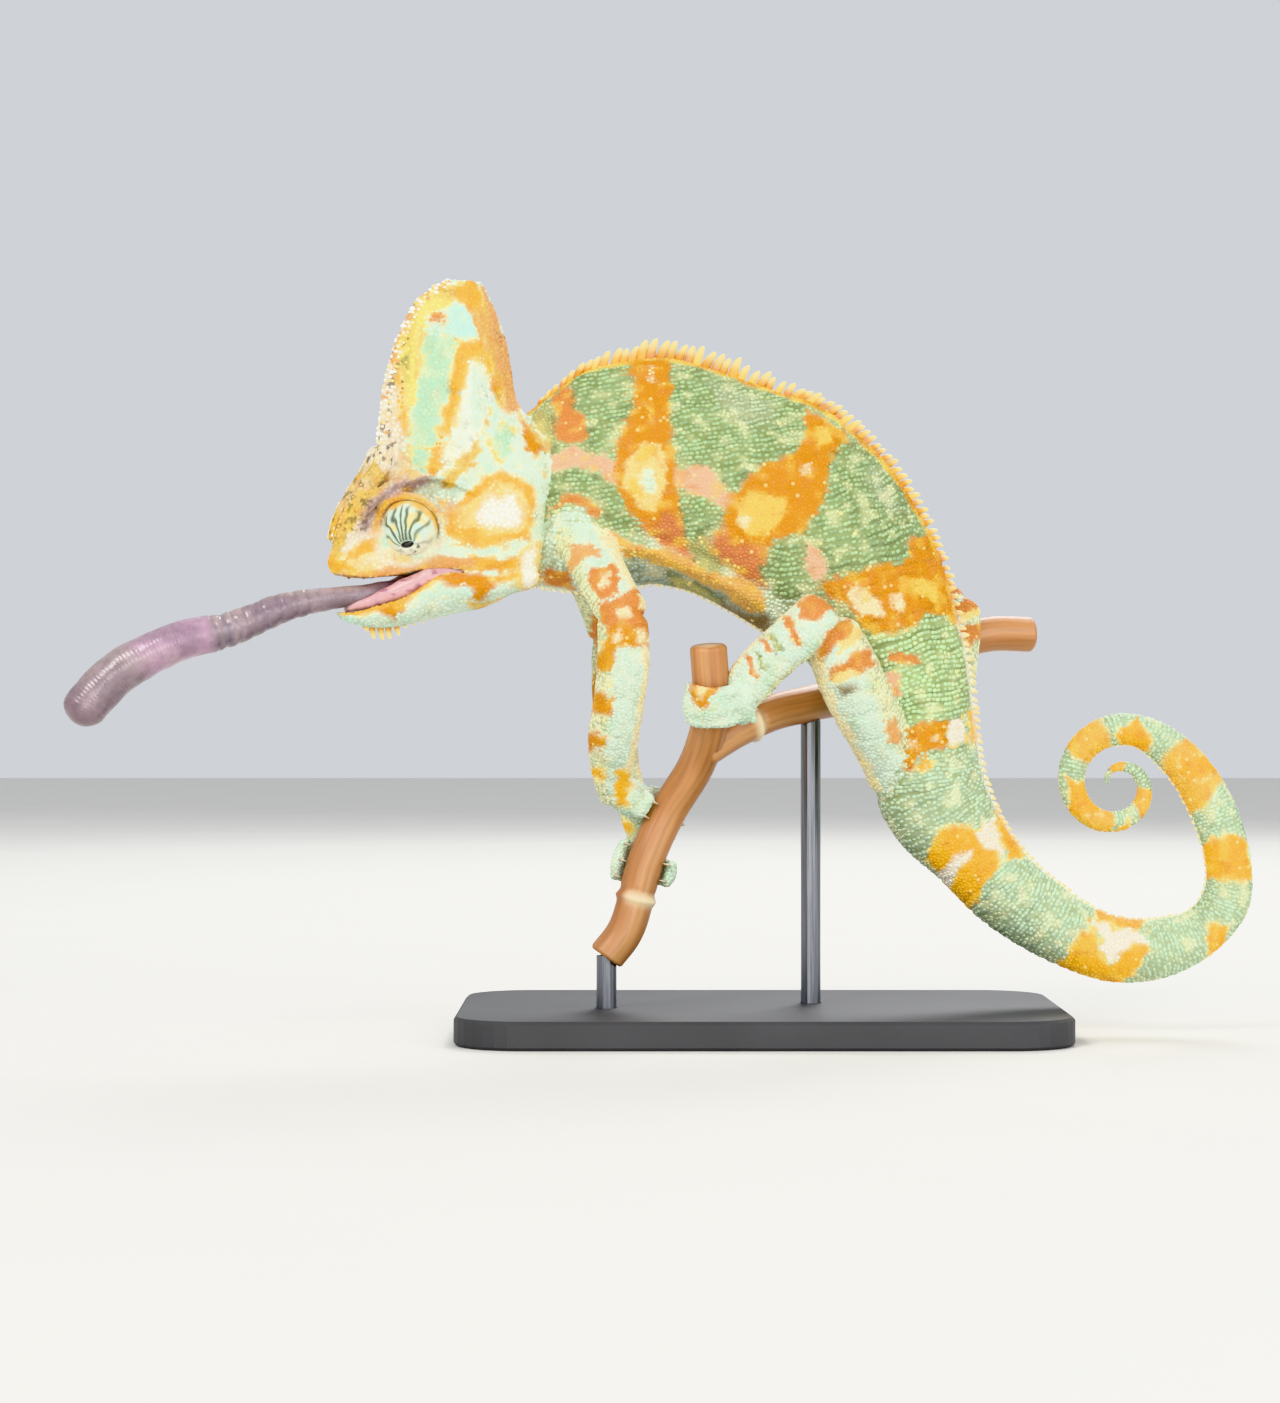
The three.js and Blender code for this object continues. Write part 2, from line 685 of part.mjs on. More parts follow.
// A clamping foot: two bundles of fused toes close round a cane from both sides of the palm.
// left and right are the toes in the bundles on the -side and +side of the cane.
function makeFoot({ cane, near, up, left, right, palm, reach, spur }) {
  const { point, axis } = gripOn(cane, near);
  const rise = up.clone().addScaledVector(axis, -up.dot(axis)).normalize();
  const side = v3(0, 0, 0).crossVectors(axis, rise).normalize();
  const around = (angle, radius, shift) =>
    point
      .clone()
      .addScaledVector(axis, shift)
      .addScaledVector(rise, Math.cos(angle) * radius)
      .addScaledVector(side, Math.sin(angle) * radius);
  const parts = [];
  const pitch = TOE_RADIUS * 1.62;
  [
    [left, -1, reach[0]],
    [right, 1, reach[1]],
  ].forEach(([toes, hand, far]) => {
    for (let i = 0; i < toes; i++) {
      const shift = (i - (toes - 1) / 2) * pitch;
      const end = THREE.MathUtils.degToRad(far - 7 * Math.abs(i - 1));
      const stations = [];
      for (let k = 0; k < 4; k++) {
        const radius = TOE_RADIUS * (1 - 0.1 * k);
        const angle = hand * (0.3 + ((end - 0.3) * k) / 3);
        const spread = shift * (1 + 0.06 * k);
        stations.push({
          p: around(angle, CANE_RADIUS + 2 * GAP + radius, spread),
          r: radius,
          flat: 1,
        });
      }
      parts.push(limb(stations, 6, axis, 1, true));
      const root = around(hand * (end + 0.08), CANE_RADIUS + GAP + 1.3, shift * 1.18);
      const tip = around(hand * (end + 0.62), CANE_RADIUS + GAP + 0.75, shift * 1.22);
      const way = tip.clone().sub(root).normalize();
      parts.push(
        spine(root, axis, way, { height: 3.4, length: 1.5, thick: 1.5, lean: 0 }),
      );
    }
  });
  const turn = new THREE.Quaternion().setFromRotationMatrix(
    new THREE.Matrix4().makeBasis(side, axis, v3(0, 0, 0).crossVectors(side, axis)),
  );
  const middle = around(0, CANE_RADIUS + GAP + palm.high * 0.72, 0);
  parts.push(ball(middle, [palm.wide, palm.deep, palm.high], turn, [9, 5]));
  if (spur) {
    const back = spur.clone().normalize();
    const heel = middle.clone().addScaledVector(back, palm.wide * 0.85);
    parts.push(spine(heel, rise, back, { height: 2.2, length: 2, thick: 2, lean: 0 }));
  }
  return join(parts);
}

// ---------------------------------------------------------------- legs

const ARM_LEFT = [
  { p: v3(-44.8, -6.5, 126), r: 7.6, flat: 0.6 },
  { p: v3(-42.2, -12, 119.5), r: 7, flat: 0.78 },
  { p: v3(-38.2, -17.6, 111.5), r: 6.6, flat: 0.88 },
  { p: v3(-34, -22, 104.2), r: 6.4, flat: 0.9 },
];
const FOREARM_LEFT = [
  { p: v3(-34.2, -23.8, 102.4), r: 6.4, flat: 0.9 },
  { p: v3(-34, -23, 93.5), r: 6.7, flat: 0.88 },
  { p: v3(-35, -20, 84), r: 6.5, flat: 0.86 },
  { p: v3(-36.5, -15, 74), r: 6.5, flat: 0.84 },
  { p: v3(-37, -9.4, 66), r: 5.4, flat: 0.84 },
  { p: v3(-35.8, -5.4, 59.2), r: 4.6, flat: 0.86 },
];
const ARM_RIGHT = [
  { p: v3(-45.5, 6.5, 124), r: 7.6, flat: 0.6 },
  { p: v3(-43, 12, 117.5), r: 7, flat: 0.78 },
  { p: v3(-40, 17.6, 109.5), r: 6.6, flat: 0.88 },
  { p: v3(-37.4, 22, 101.6), r: 6.4, flat: 0.9 },
];
const FOREARM_RIGHT = [
  { p: v3(-36.4, 24, 98), r: 6.2, flat: 0.9 },
  { p: v3(-36.4, 23.4, 88), r: 6.3, flat: 0.88 },
  { p: v3(-36, 20.8, 78), r: 5.8, flat: 0.85 },
  { p: v3(-35, 17, 67.6), r: 5, flat: 0.85 },
  { p: v3(-32.2, 12.2, 58), r: 4.5, flat: 0.85 },
  { p: v3(-29.8, 7.2, 51), r: 4.3, flat: 0.86 },
  { p: v3(-28.6, 3, 46.6), r: 4, flat: 0.88 },
];
const THIGH_LEFT = [
  { p: v3(33, -3, 62.5), r: 6, flat: 0.7 },
  { p: v3(30.4, -7.4, 70.5), r: 7, flat: 0.8 },
  { p: v3(25.8, -12.4, 80), r: 8, flat: 0.84 },
  { p: v3(21, -17.2, 90), r: 8.4, flat: 0.86 },
  { p: v3(16.8, -21.4, 99.6), r: 7, flat: 0.86 },
];
const SHIN_LEFT = [
  { p: v3(14.4, -24, 104.4), r: 6.6, flat: 0.88 },
  { p: v3(9.2, -24.6, 99.6), r: 6.5, flat: 0.86 },
  { p: v3(4, -23.6, 95.2), r: 6.2, flat: 0.84 },
  { p: v3(-0.8, -22.4, 91.6), r: 5.2, flat: 0.86 },
  { p: v3(-4, -21.8, 89.8), r: 4.6, flat: 0.86 },
];
const THIGH_RIGHT = [
  { p: v3(36.5, 3, 63), r: 6, flat: 0.7 },
  { p: v3(42.5, 10, 73.5), r: 7.4, flat: 0.8 },
  { p: v3(47, 16.6, 84.5), r: 7.8, flat: 0.84 },
  { p: v3(50.2, 22, 97.5), r: 7, flat: 0.86 },
  { p: v3(51.4, 25.4, 106.8), r: 6.4, flat: 0.86 },
];
const SHIN_RIGHT = [
  { p: v3(50.8, 27, 109.6), r: 6.2, flat: 0.9 },
  { p: v3(45, 28.8, 104), r: 6, flat: 0.88 },
  { p: v3(39.8, 28.4, 98.6), r: 5.2, flat: 0.86 },
  { p: v3(35.4, 26.4, 95.2), r: 4.6, flat: 0.86 },
];

// ---------------------------------------------------------------- crests

// Height of the back's spines, by station: tallest over the shoulders, low on the tail.
const CREST_HEIGHT = [
  [1, 1.6],
  [2, 3.4],
  [3, 4.1],
  [4.5, 4],
  [6, 2.9],
  [8, 1.9],
  [10, 1.4],
  [17, 1.1],
  [22, 0.8],
];

// A row of spines down a line of the trunk, each standing away from the opposite line.
function spineRow(line, opposite, from, to, pitch, heightAt) {
  const spines = [];
  for (let t = from; t < to; t = stationPast(t, pitch, line)) {
    const root = line(t);
    const out = root.clone().sub(opposite(t)).normalize();
    const along = line(t + 0.05).sub(root).normalize();
    const height = heightAt(t) * varied(10 * t, 0.12);
    spines.push(spine(root, along, out, {
      height,
      length: 0.8 + height * 0.48,
      thick: 0.8 + height * 0.28,
      lean: 0.4,
    }));
  }
  return spines;
}

const crestRow = (from, to) =>
  spineRow(backAt, bellyAt, from, to, CREST_PITCH, (t) => valueAt(CREST_HEIGHT, t));
const ventralRow = (from, to) => spineRow(bellyAt, backAt, from, to, VENTRAL_PITCH, () => 1.3);

// ---------------------------------------------------------------- assembly

const SPINE_MARGIN = 1.6; // from a node's end to its first and last spine
const BELLY_SPINES_END = 5.6; // the station where the row along the belly ends
const TAIL_SPINES_END = 21.4;

const skull = makeSkull();
const skullSkin = inflated(skull);
const jaw = cutBy(makeJaw(), skullSkin);
const jawSkin = inflated(jaw);
const trunkSkin = inflated(trunkPiece(0, LAST, 20, 2));
const caneFront = makeCane(CANE_FRONT, CANE_RADIUS, 12);
const caneSkin = {
  front: makeCane(CANE_FRONT, CANE_RADIUS + GAP, 12),
  rear: makeCane(CANE_REAR, CANE_RADIUS + GAP, 16),
};
const caneRear = cutBy(makeCane(CANE_REAR, CANE_RADIUS, 16), caneSkin.front);
const eyes = { left: makeEye(1, skullSkin), right: makeEye(-1, skullSkin) };

const nodes = new Map();

const headForms = [skull, browRidge(1), browRidge(-1), orbitRim(1), orbitRim(-1), ...casqueBeads()];
nodes.set(
  "head",
  cutBy(join(headForms), nostrilPit(1), nostrilPit(-1), inflated(eyes.left), inflated(eyes.right)),
);
nodes.set("lower_jaw", largestOf(join([jaw, ...gularSpines()])));
nodes.set("eye_left", eyes.left);
nodes.set("eye_right", eyes.right);

const tongue = cutBy(limb(TONGUE, 10, AXIS_Y, 2), skullSkin, jawSkin);
nodes.set("tongue_shaft", tongue);
nodes.set("tongue_pad", cutBy(limb(TONGUE_PAD, 10, AXIS_Y, 2), inflated(tongue)));

const LENGTHS = [
  ["neck", 0, 1.6, 18, 2],
  ["torso_front", 1.6, 5.1, 22, 2.4],
  ["torso_rear", 5.1, 9, 22, 2.4],
  ["hips", 9, 13, 20, 2],
  ["tail_base", 13, 17.5, 16, 2],
  ["tail_middle", 17.5, 21.6, 14, 2],
  ["tail_bend", 21.6, 26, 12, 2],
  ["tail_curl", 26, 31, 12, 2],
  ["tail_coil", 31, 35.5, 10, 2],
  ["tail_tip", 35.5, LAST, 8, 2],
];
for (const [name, from, to, sides, perStation] of LENGTHS) {
  const start = from === 0 ? 0 : stationPast(from, GAP * 1.15);
  const smooth = trunkPiece(start, to, sides, perStation);
  const inner = [
    Math.max(1, stationPast(start, SPINE_MARGIN, backAt)),
    Math.min(TAIL_SPINES_END, stationPast(to, -SPINE_MARGIN, backAt)),
  ];
  const chest = [
    stationPast(start, SPINE_MARGIN, bellyAt),
    Math.min(BELLY_SPINES_END, stationPast(to, -SPINE_MARGIN, bellyAt)),
  ];
  const spines = [...crestRow(...inner), ...(from > 0 ? ventralRow(...chest) : [])];
  const spined = largestOf(join([smooth, ...spines]));
  nodes.set(name, from === 0 ? cutBy(spined, skullSkin, jawSkin) : spined);
}

const upperArmLeft = cutBy(limb(ARM_LEFT), trunkSkin);
const upperArmRight = cutBy(limb(ARM_RIGHT), trunkSkin);
const forearmLeft = cutBy(limb(FOREARM_LEFT), inflated(upperArmLeft), trunkSkin);
const forearmRight = cutBy(limb(FOREARM_RIGHT), inflated(upperArmRight), trunkSkin, caneSkin.front);
const thighLeft = cutBy(limb(THIGH_LEFT), trunkSkin);
const thighRight = cutBy(limb(THIGH_RIGHT), trunkSkin);
const shinLeft = cutBy(limb(SHIN_LEFT), inflated(thighLeft), trunkSkin, caneSkin.front);
const shinRight = cutBy(limb(SHIN_RIGHT), inflated(thighRight), trunkSkin, caneSkin.rear);
nodes.set("upper_arm_left", upperArmLeft);
nodes.set("upper_arm_right", upperArmRight);
nodes.set("forearm_left", forearmLeft);
nodes.set("forearm_right", forearmRight);
nodes.set("thigh_left", thighLeft);
nodes.set("thigh_right", thighRight);
nodes.set("shin_left", shinLeft);
nodes.set("shin_right", shinRight);

const FEET = [
  {
    name: "forefoot_left",
    cane: CANE_FRONT,
    limb: forearmLeft,
    near: v3(-24, -6.1, 54.4),
    up: v3(-0.9, 0.2, 0.3),
    left: 3,
    right: 2,
    palm: { wide: 5, deep: 5, high: 7 },
    reach: [118, 52],
  },
  {
    name: "forefoot_right",
    cane: CANE_FRONT,
    limb: forearmRight,
    near: v3(-28.9, -7, 42),
    up: v3(0.1, 0.95, 0.3),
    left: 2,
    right: 3,
    palm: { wide: 4.6, deep: 4.4, high: 4 },
    reach: [100, 92],
  },
  {
    name: "hindfoot_left",
    cane: CANE_FRONT,
    limb: shinLeft,
    near: v3(-12.6, -21.4, 83.6),
    up: v3(1, -0.12, 0.1),
    left: 3,
    right: 2,
    palm: { wide: 5.6, deep: 6.8, high: 3.8 },
    reach: [156, 112],
    spur: v3(0.5, -0.1, -1),
  },
  {
    name: "hindfoot_right",
    cane: CANE_REAR,
    limb: shinRight,
    near: v3(30, 24, 86.6),
    up: v3(0.1, 0.1, 0.98),
    left: 3,
    right: 2,
    palm: { wide: 6, deep: 5.4, high: 3.2 },
    reach: [126, 126],
    spur: v3(1, 0.3, -0.3),
  },
];
for (const foot of FEET) {
  const others = [caneSkin.front, caneSkin.rear, inflated(foot.limb), trunkSkin];
  nodes.set(foot.name, cutBy(makeFoot(foot), ...others));
}

const RODS = [
  ["stand_rod_front", -38.3, -8, 20, caneSkin.front],
  ["stand_rod_rear", 13, 7, 82, caneSkin.rear],
];
nodes.set("perch_cane_front", join([caneFront, caneKnot(CANE_FRONT, 0.19)]));
nodes.set("perch_cane_rear", join([caneRear, caneKnot(CANE_REAR, 0.15)]));
nodes.set("stand_base", cutBy(makeBase(), ...RODS.map(([, x, y]) => rodHole(x, y))));
for (const [name, x, y, top, skin] of RODS) nodes.set(name, makeRod(x, y, top, skin));

// ---------------------------------------------------------------- materials and scene

const MATERIALS = {
  skin: { color: 0xb9cf9a, roughness: 0.6 },
  casque: { color: 0xe3c268, roughness: 0.55 },
  eye: { color: 0xd9cf9f, roughness: 0.45 },
  tongue: { color: 0x9a8092, roughness: 0.35 },
  cane: { color: 0xc99a63, roughness: 0.5 },
  steel: { color: 0x8d9096, roughness: 0.35, metalness: 1 },
  plinth: { color: 0x2d2b29, roughness: 0.5 },
};
const MATERIAL_OF = [
  [/^(head|lower_jaw)$/, "casque"],
  [/^eye_/, "eye"],
  [/^tongue_/, "tongue"],
  [/^perch_/, "cane"],
  [/^stand_rod/, "steel"],
  [/^stand_base$/, "plinth"],
];

const chameleon = new THREE.Group();
for (const [name, solid] of nodes) {
  const found = MATERIAL_OF.find(([pattern]) => pattern.test(name));
  const look = new THREE.MeshStandardMaterial(MATERIALS[found ? found[1] : "skin"]);
  const mesh = new THREE.Mesh(geometryOf(solid), look);
  mesh.name = name;
  chameleon.add(mesh);
}

export default chameleon;
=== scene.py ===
import math

import bpy
import numpy as np
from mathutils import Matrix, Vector
from mathutils.bvhtree import BVHTree
from mathutils.kdtree import KDTree


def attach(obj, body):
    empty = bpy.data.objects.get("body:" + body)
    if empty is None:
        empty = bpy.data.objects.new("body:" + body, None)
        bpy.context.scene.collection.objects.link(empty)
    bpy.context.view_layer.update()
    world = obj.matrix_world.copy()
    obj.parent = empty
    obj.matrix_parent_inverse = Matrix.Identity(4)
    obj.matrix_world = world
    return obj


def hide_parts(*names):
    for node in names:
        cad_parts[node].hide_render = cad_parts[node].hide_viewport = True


# Veiled chameleon, life size, on two cut canes and a plain stand.
# Tables are in millimetres: +Z up, the animal faces -X, its left side faces -Y.

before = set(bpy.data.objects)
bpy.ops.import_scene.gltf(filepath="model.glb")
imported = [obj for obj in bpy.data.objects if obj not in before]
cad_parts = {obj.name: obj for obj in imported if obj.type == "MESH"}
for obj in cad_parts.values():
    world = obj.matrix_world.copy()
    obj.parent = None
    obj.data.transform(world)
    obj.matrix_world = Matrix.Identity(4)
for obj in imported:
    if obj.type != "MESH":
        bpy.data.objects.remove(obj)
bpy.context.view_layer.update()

MM = 0.001
EYE_POINT = np.array([-30.0, -900.0, 82.875])  # where the animal is seen from, square on
LENS = 101.25

# ---------------------------------------------------------------- curves, noise and meshes


def srgb(r, g, b):
    """A colour given in 0-255 as linear light."""
    c = np.array([r, g, b]) / 255.0
    return np.where(c <= 0.04045, c / 12.92, ((c + 0.055) / 1.055) ** 2.4)


def smooth(low, high, x):
    s = np.clip((x - low) / (high - low), 0.0, 1.0)
    return s * s * (3.0 - 2.0 * s)


def spline(rows, at):
    """Rows of numbers joined by a smooth curve, read at places counted in rows."""
    rows = np.asarray(rows, float)
    rows = np.vstack([2 * rows[0] - rows[1], rows, 2 * rows[-1] - rows[-2]])
    at = np.clip(np.atleast_1d(np.asarray(at, float)), 0, len(rows) - 3)
    i = np.minimum(at.astype(int), len(rows) - 4)
    s = (at - i)[:, None]
    p0, p1, p2, p3 = rows[i], rows[i + 1], rows[i + 2], rows[i + 3]
    cubic = (2 * p0 - 5 * p1 + 4 * p2 - p3) * s**2 + (3 * p1 - p0 - 3 * p2 + p3) * s**3
    return 0.5 * (2 * p1 + (p2 - p0) * s + cubic)


def curve(rows, count):
    """The smooth curve through the rows, as this many of its points."""
    return spline(rows, np.linspace(0, len(rows) - 1, count))


def turns(count):
    """Angles spaced evenly round a circle."""
    return np.linspace(0, 2 * math.pi, count, endpoint=False)


def unit(v):
    return v / np.maximum(np.linalg.norm(v, axis=-1, keepdims=True), 1e-9)


def run_of(line):
    """How far along a line of points each of them is."""
    return np.concatenate([[0], np.cumsum(np.linalg.norm(np.diff(line, axis=0), axis=1))])


def noise(points, size, seed=0):
    """Smooth noise from -1 to 1 with features of the given size."""
    p = np.asarray(points) / size + seed * 17.31
    cell = np.floor(p).astype(np.int64)
    f = p - cell
    f = f * f * (3 - 2 * f)
    total = np.zeros(len(p))
    for corner in range(8):
        step = np.array([corner & 1, corner >> 1 & 1, corner >> 2 & 1])
        h = (cell + step) @ np.array([374761393, 668265263, 2246822519])
        h = (h ^ (h >> 13)) * 1274126177
        value = ((h ^ (h >> 16)) & 0xFFFF) / 32767.5 - 1.0
        total += value * np.prod(np.where(step, f, 1 - f), axis=1)
    return total


def loft(rings):
    """A closed skin through rings of points, with a point in the middle of each end."""
    rings = np.asarray(rings)
    count, sides, _ = rings.shape
    grid = np.arange(count * sides).reshape(count, sides)
    a, c = grid[:-1], grid[1:]
    b, d = np.roll(a, -1, axis=1), np.roll(c, -1, axis=1)
    faces = np.stack([a, b, d, c], axis=-1).reshape(-1, 4).tolist()
    points = np.vstack([rings.reshape(-1, 3), rings[0].mean(0), rings[-1].mean(0)])
    for ring, centre in ((grid[0][::-1], count * sides), (grid[-1], count * sides + 1)):
        faces += [[centre, i, j] for i, j in zip(ring, np.roll(ring, -1))]
    return points, faces


def joined(parts):
    """Several (points, faces) as one."""
    points, faces, start = [], [], 0
    for p, f in parts:
        points.append(p)
        faces += [[start + i for i in face] for face in f]
        start += len(p)
    return np.vstack(points), faces


def mesh_object(name, points, faces, shade=True):
    me = bpy.data.meshes.new(name)
    me.from_pydata((np.asarray(points) * MM).tolist(), [], faces)
    me.update()
    obj = bpy.data.objects.new(name, me)
    bpy.context.scene.collection.objects.link(obj)
    if shade:
        me.shade_smooth()
    return obj


def points_of(me):
    flat = np.empty(len(me.vertices) * 3)
    me.vertices.foreach_get("co", flat)
    return flat.reshape(-1, 3) / MM


def set_points(me, points):
    me.vertices.foreach_set("co", (points * MM).ravel())
    me.update()


def normals_of(me):
    flat = np.empty(len(me.vertices) * 3)
    me.vertex_normals.foreach_get("vector", flat)
    return flat.reshape(-1, 3)


def corners_of(me):
    """The vertex at each corner of each face."""
    corners = np.empty(len(me.loops), dtype=np.int64)
    me.loops.foreach_get("vertex_index", corners)
    return corners


def attribute(me, name, kind, values, domain="POINT"):
    layer = me.attributes.new(name, kind, domain)
    field = {"FLOAT": "value", "INT": "value", "FLOAT_COLOR": "color"}.get(kind, "vector")
    layer.data.foreach_set(field, np.asarray(values).ravel())


def stain(me, colours):
    """Give a mesh its markings, a colour for each point."""
    attribute(me, "markings", "FLOAT_COLOR", np.column_stack([colours, np.ones(len(colours))]))


def evaluated(obj):
    """The object's mesh with its modifiers applied, and the modifiers gone."""
    bpy.context.view_layer.update()
    graph = bpy.context.evaluated_depsgraph_get()
    me = bpy.data.meshes.new_from_object(obj.evaluated_get(graph), depsgraph=graph)
    obj.modifiers.clear()
    old = obj.data
    obj.data = me
    bpy.data.meshes.remove(old)
    return me


BLUNT_END = [(0.45, 0.42), (0.82, 0.24)]  # rings that round a tube's ends: size, and how far out they sit


def tube(points, radii, flats=1.0, wide=(1, 0, 0), sides=28, pitch=0.8):
    """A tube of changing radius; flats is its thickness over its width, and wide is the width's way."""
    points = np.asarray(points, float)
    count = len(points)
    rows = np.column_stack([points, np.broadcast_to(radii, count), np.broadcast_to(flats, count)])
    at = np.linspace(0, len(points) - 1, max(4, int(run_of(points)[-1] / pitch)))
    line = spline(rows, at)
    along = unit(np.gradient(line[:, :3], axis=0))
    thick = unit(np.cross(along, np.asarray(wide, float)))
    across = unit(np.cross(thick, along))
    centre, radius, flat = line[:, :3], line[:, 3:4], line[:, 4:5]
    angle = turns(sides)[:, None]

    def ring(i, scale, push):
        middle = centre[i] + along[i] * radius[i] * push
        spread = across[i] * np.cos(angle) + thick[i] * np.sin(angle) * flat[i]
        return middle + spread * radius[i] * scale

    rings = [ring(0, scale, -push) for scale, push in BLUNT_END]
    rings += [ring(i, 1, 0) for i in range(len(line))]
    rings += [ring(-1, scale, push) for scale, push in BLUNT_END[::-1]]
    return loft(rings)


def blob(centre, radii, axes=np.eye(3), rings=14, sides=24):
    """An ellipsoid whose radii lie along the rows of axes."""
    pole = np.linspace(0.08, math.pi - 0.08, rings)
    turn = turns(sides)
    shape = np.stack([
        np.sin(pole)[:, None] * np.cos(turn)[None],
        np.sin(pole)[:, None] * np.sin(turn)[None],
        np.cos(pole)[:, None] * np.ones(sides)[None],
    ], axis=-1)
    return loft(np.asarray(centre) + (shape * radii) @ np.asarray(axes))


# ---------------------------------------------------------------- trunk and tail

# Down the trunk: back x, z, belly x, z, half width, and how sharp the back is.
TRUNK = [
    (-62, 152, -60, 112, 10.5, 0.1),
    (-54, 158.5, -53, 111, 12.4, 0.2),
    (-44, 165.5, -44, 110, 14.2, 0.3),
    (-34, 168, -35, 111, 15.6, 0.35),
    (-23, 169, -26, 112, 16.6, 0.4),
    (-10, 165.5, -17, 110, 17.2, 0.4),
    (3, 161, -8, 105.5, 17.2, 0.4),
    (15, 157, 1, 100, 16.8, 0.4),
    (26.5, 148, 10, 94, 16, 0.35),
    (34.1, 139.6, 14, 90, 15, 0.35),
    (40.8, 128.6, 18, 86, 14, 0.3),
    (45.6, 117.7, 21, 81, 13.2, 0.3),
    (49, 106.3, 24, 77, 12.6, 0.3),
    (51.5, 96, 26, 72, 12, 0.25),
    (53, 86, 27, 68, 11.6, 0.25),
    (54.2, 75, 28.5, 63, 11.2, 0.25),
    (56.2, 64.3, 30, 55, 10.8, 0.25),
    (58.9, 57, 36, 46, 10.2, 0.25),
    (62.5, 50.4, 44.5, 38.5, 9.5, 0.2),
    (68, 43.4, 54, 29, 8.8, 0.2),
    (75.7, 36.8, 64, 22, 8.2, 0.2),
    (83.4, 31.4, 76, 16, 7.6, 0.15),
    (92, 28.6, 88, 12.5, 7, 0.15),
    (101, 29, 101, 13.5, 6.4, 0.1),
    (107.5, 31, 113, 19.5, 5.9, 0.1),
    (111, 36.5, 122, 30, 5.5, 0.1),
    (111, 44, 123, 43, 5.2, 0.1),
    (108, 53, 119, 57.5, 4.9, 0.1),
    (103, 62.5, 111, 70, 4.6, 0.1),
]
CURL_CENTRE = (89.5, 62)
CURL_TURN = (math.radians(57), math.radians(535))
CURL_RADIUS = (14.8, 2.2)
CURL_HALF = (4.5, 0.7)
CURL_STATIONS = 14
CURL_ASIDE = 3


def curl_row(share):
    angle = CURL_TURN[0] + share * (CURL_TURN[1] - CURL_TURN[0])
    radius = CURL_RADIUS[0] + share * (CURL_RADIUS[1] - CURL_RADIUS[0])
    half = CURL_HALF[0] + share * (CURL_HALF[1] - CURL_HALF[0])
    row = []
    for r in (radius - half, radius + half):
        row += [CURL_CENTRE[0] + r * math.cos(angle), CURL_CENTRE[1] + r * math.sin(angle)]
    return (*row, half * 0.92, 0.1)


ROWS = TRUNK + [curl_row(i / (CURL_STATIONS - 1)) for i in range(CURL_STATIONS)]
LAST = len(ROWS) - 1
ASIDE = CURL_ASIDE * smooth(len(TRUNK) - 1, LAST, np.arange(LAST + 1.0))


def trunk_at(t):
    """Back, belly, half width and keel at stations t."""
    row = spline(np.column_stack([ROWS, ASIDE]), t)
    back = row[:, [0, 6, 1]]
    belly = row[:, [2, 6, 3]]
    return back, belly, row[:, 4], row[:, 5]


def trunk_shell(pitch=0.25, sides=72):
    t = np.arange(0, LAST + pitch / 2, pitch)
    back, belly, wide, keel = trunk_at(t)
    angle = 2 * math.pi * (np.arange(sides) + 0.5) / sides
    v = np.sin(angle)[None]
    keel = keel[:, None]
    side = np.sqrt(np.maximum(0, 1 - v * v)) * (1 - 0.3 * keel * v) * (1 - keel * smooth(0.3, 1, v))
    aside = np.sign(np.cos(angle))[None] * wide[:, None] * side
    middle = (back + belly) / 2
    rings = middle[:, None] + ((back - belly) / 2)[:, None] * v[..., None]
    rings[..., 1] += aside
    return loft(rings)


# ---------------------------------------------------------------- head

HEAD_PIVOT = np.array([-52.0, 0.0, 0.0])
HEAD_YAW = math.radians(18)
FORWARD = np.array([-math.cos(HEAD_YAW), -math.sin(HEAD_YAW), 0.0])
LEFT = np.cross([0, 0, 1.0], FORWARD)


def head_point(ahead, left, height):
    """Points of the head from their distance ahead of the neck, left of the midline, and height."""
    ahead, left, height = np.broadcast_arrays(ahead, left, height)
    flat = HEAD_PIVOT + np.asarray(ahead)[..., None] * FORWARD + np.asarray(left)[..., None] * LEFT
    flat[..., 2] = height
    return flat


# Up the skull and casque: front ahead, height, rear ahead, height, half width, casque, trough.
SKULL = [
    (56.5, 114.1, 4.4, 115.2, 14.4, 0, 0),
    (57.5, 117.1, 3.9, 119.2, 15.6, 0, 0),
    (56.3, 123, 3.1, 127, 16, 0, 0.8),
    (53.8, 129.8, 2.1, 134.5, 15.8, 0.05, 1.8),
    (49.9, 136.8, 1.3, 141.7, 15, 0.2, 2.2),
    (45.7, 141.8, 1.8, 147.5, 13.4, 0.5, 1.2),
    (45.2, 147.2, 5.5, 152.6, 11.4, 0.8, 0),
    (44.2, 155.9, 9.1, 158.5, 9.6, 1, 0),
    (42.7, 164.5, 10.4, 166, 8, 1, 0),
    (39.9, 173.2, 11.9, 173.4, 6.3, 1, 0),
    (36.1, 180.8, 14.3, 179.8, 4.6, 1, 0),
    (32.2, 184.6, 16.1, 183.7, 3.3, 1, 0),
    (27.6, 187.5, 18.1, 187.1, 1.8, 1, 0),
]
# Half width round a level, as a share of its widest: share from front to rear, jaw, casque.
OUTLINE = [
    (0, 0, 0),
    (0.035, 0.22, 0.12),
    (0.1, 0.36, 0.19),
    (0.2, 0.48, 0.3),
    (0.32, 0.58, 0.46),
    (0.45, 0.7, 0.68),
    (0.56, 0.82, 0.92),
    (0.65, 0.92, 1),
    (0.76, 1, 0.86),
    (0.88, 0.97, 0.55),
    (0.96, 0.74, 0.26),
    (1, 0, 0),
]
TROUGH_HALF = 5.2
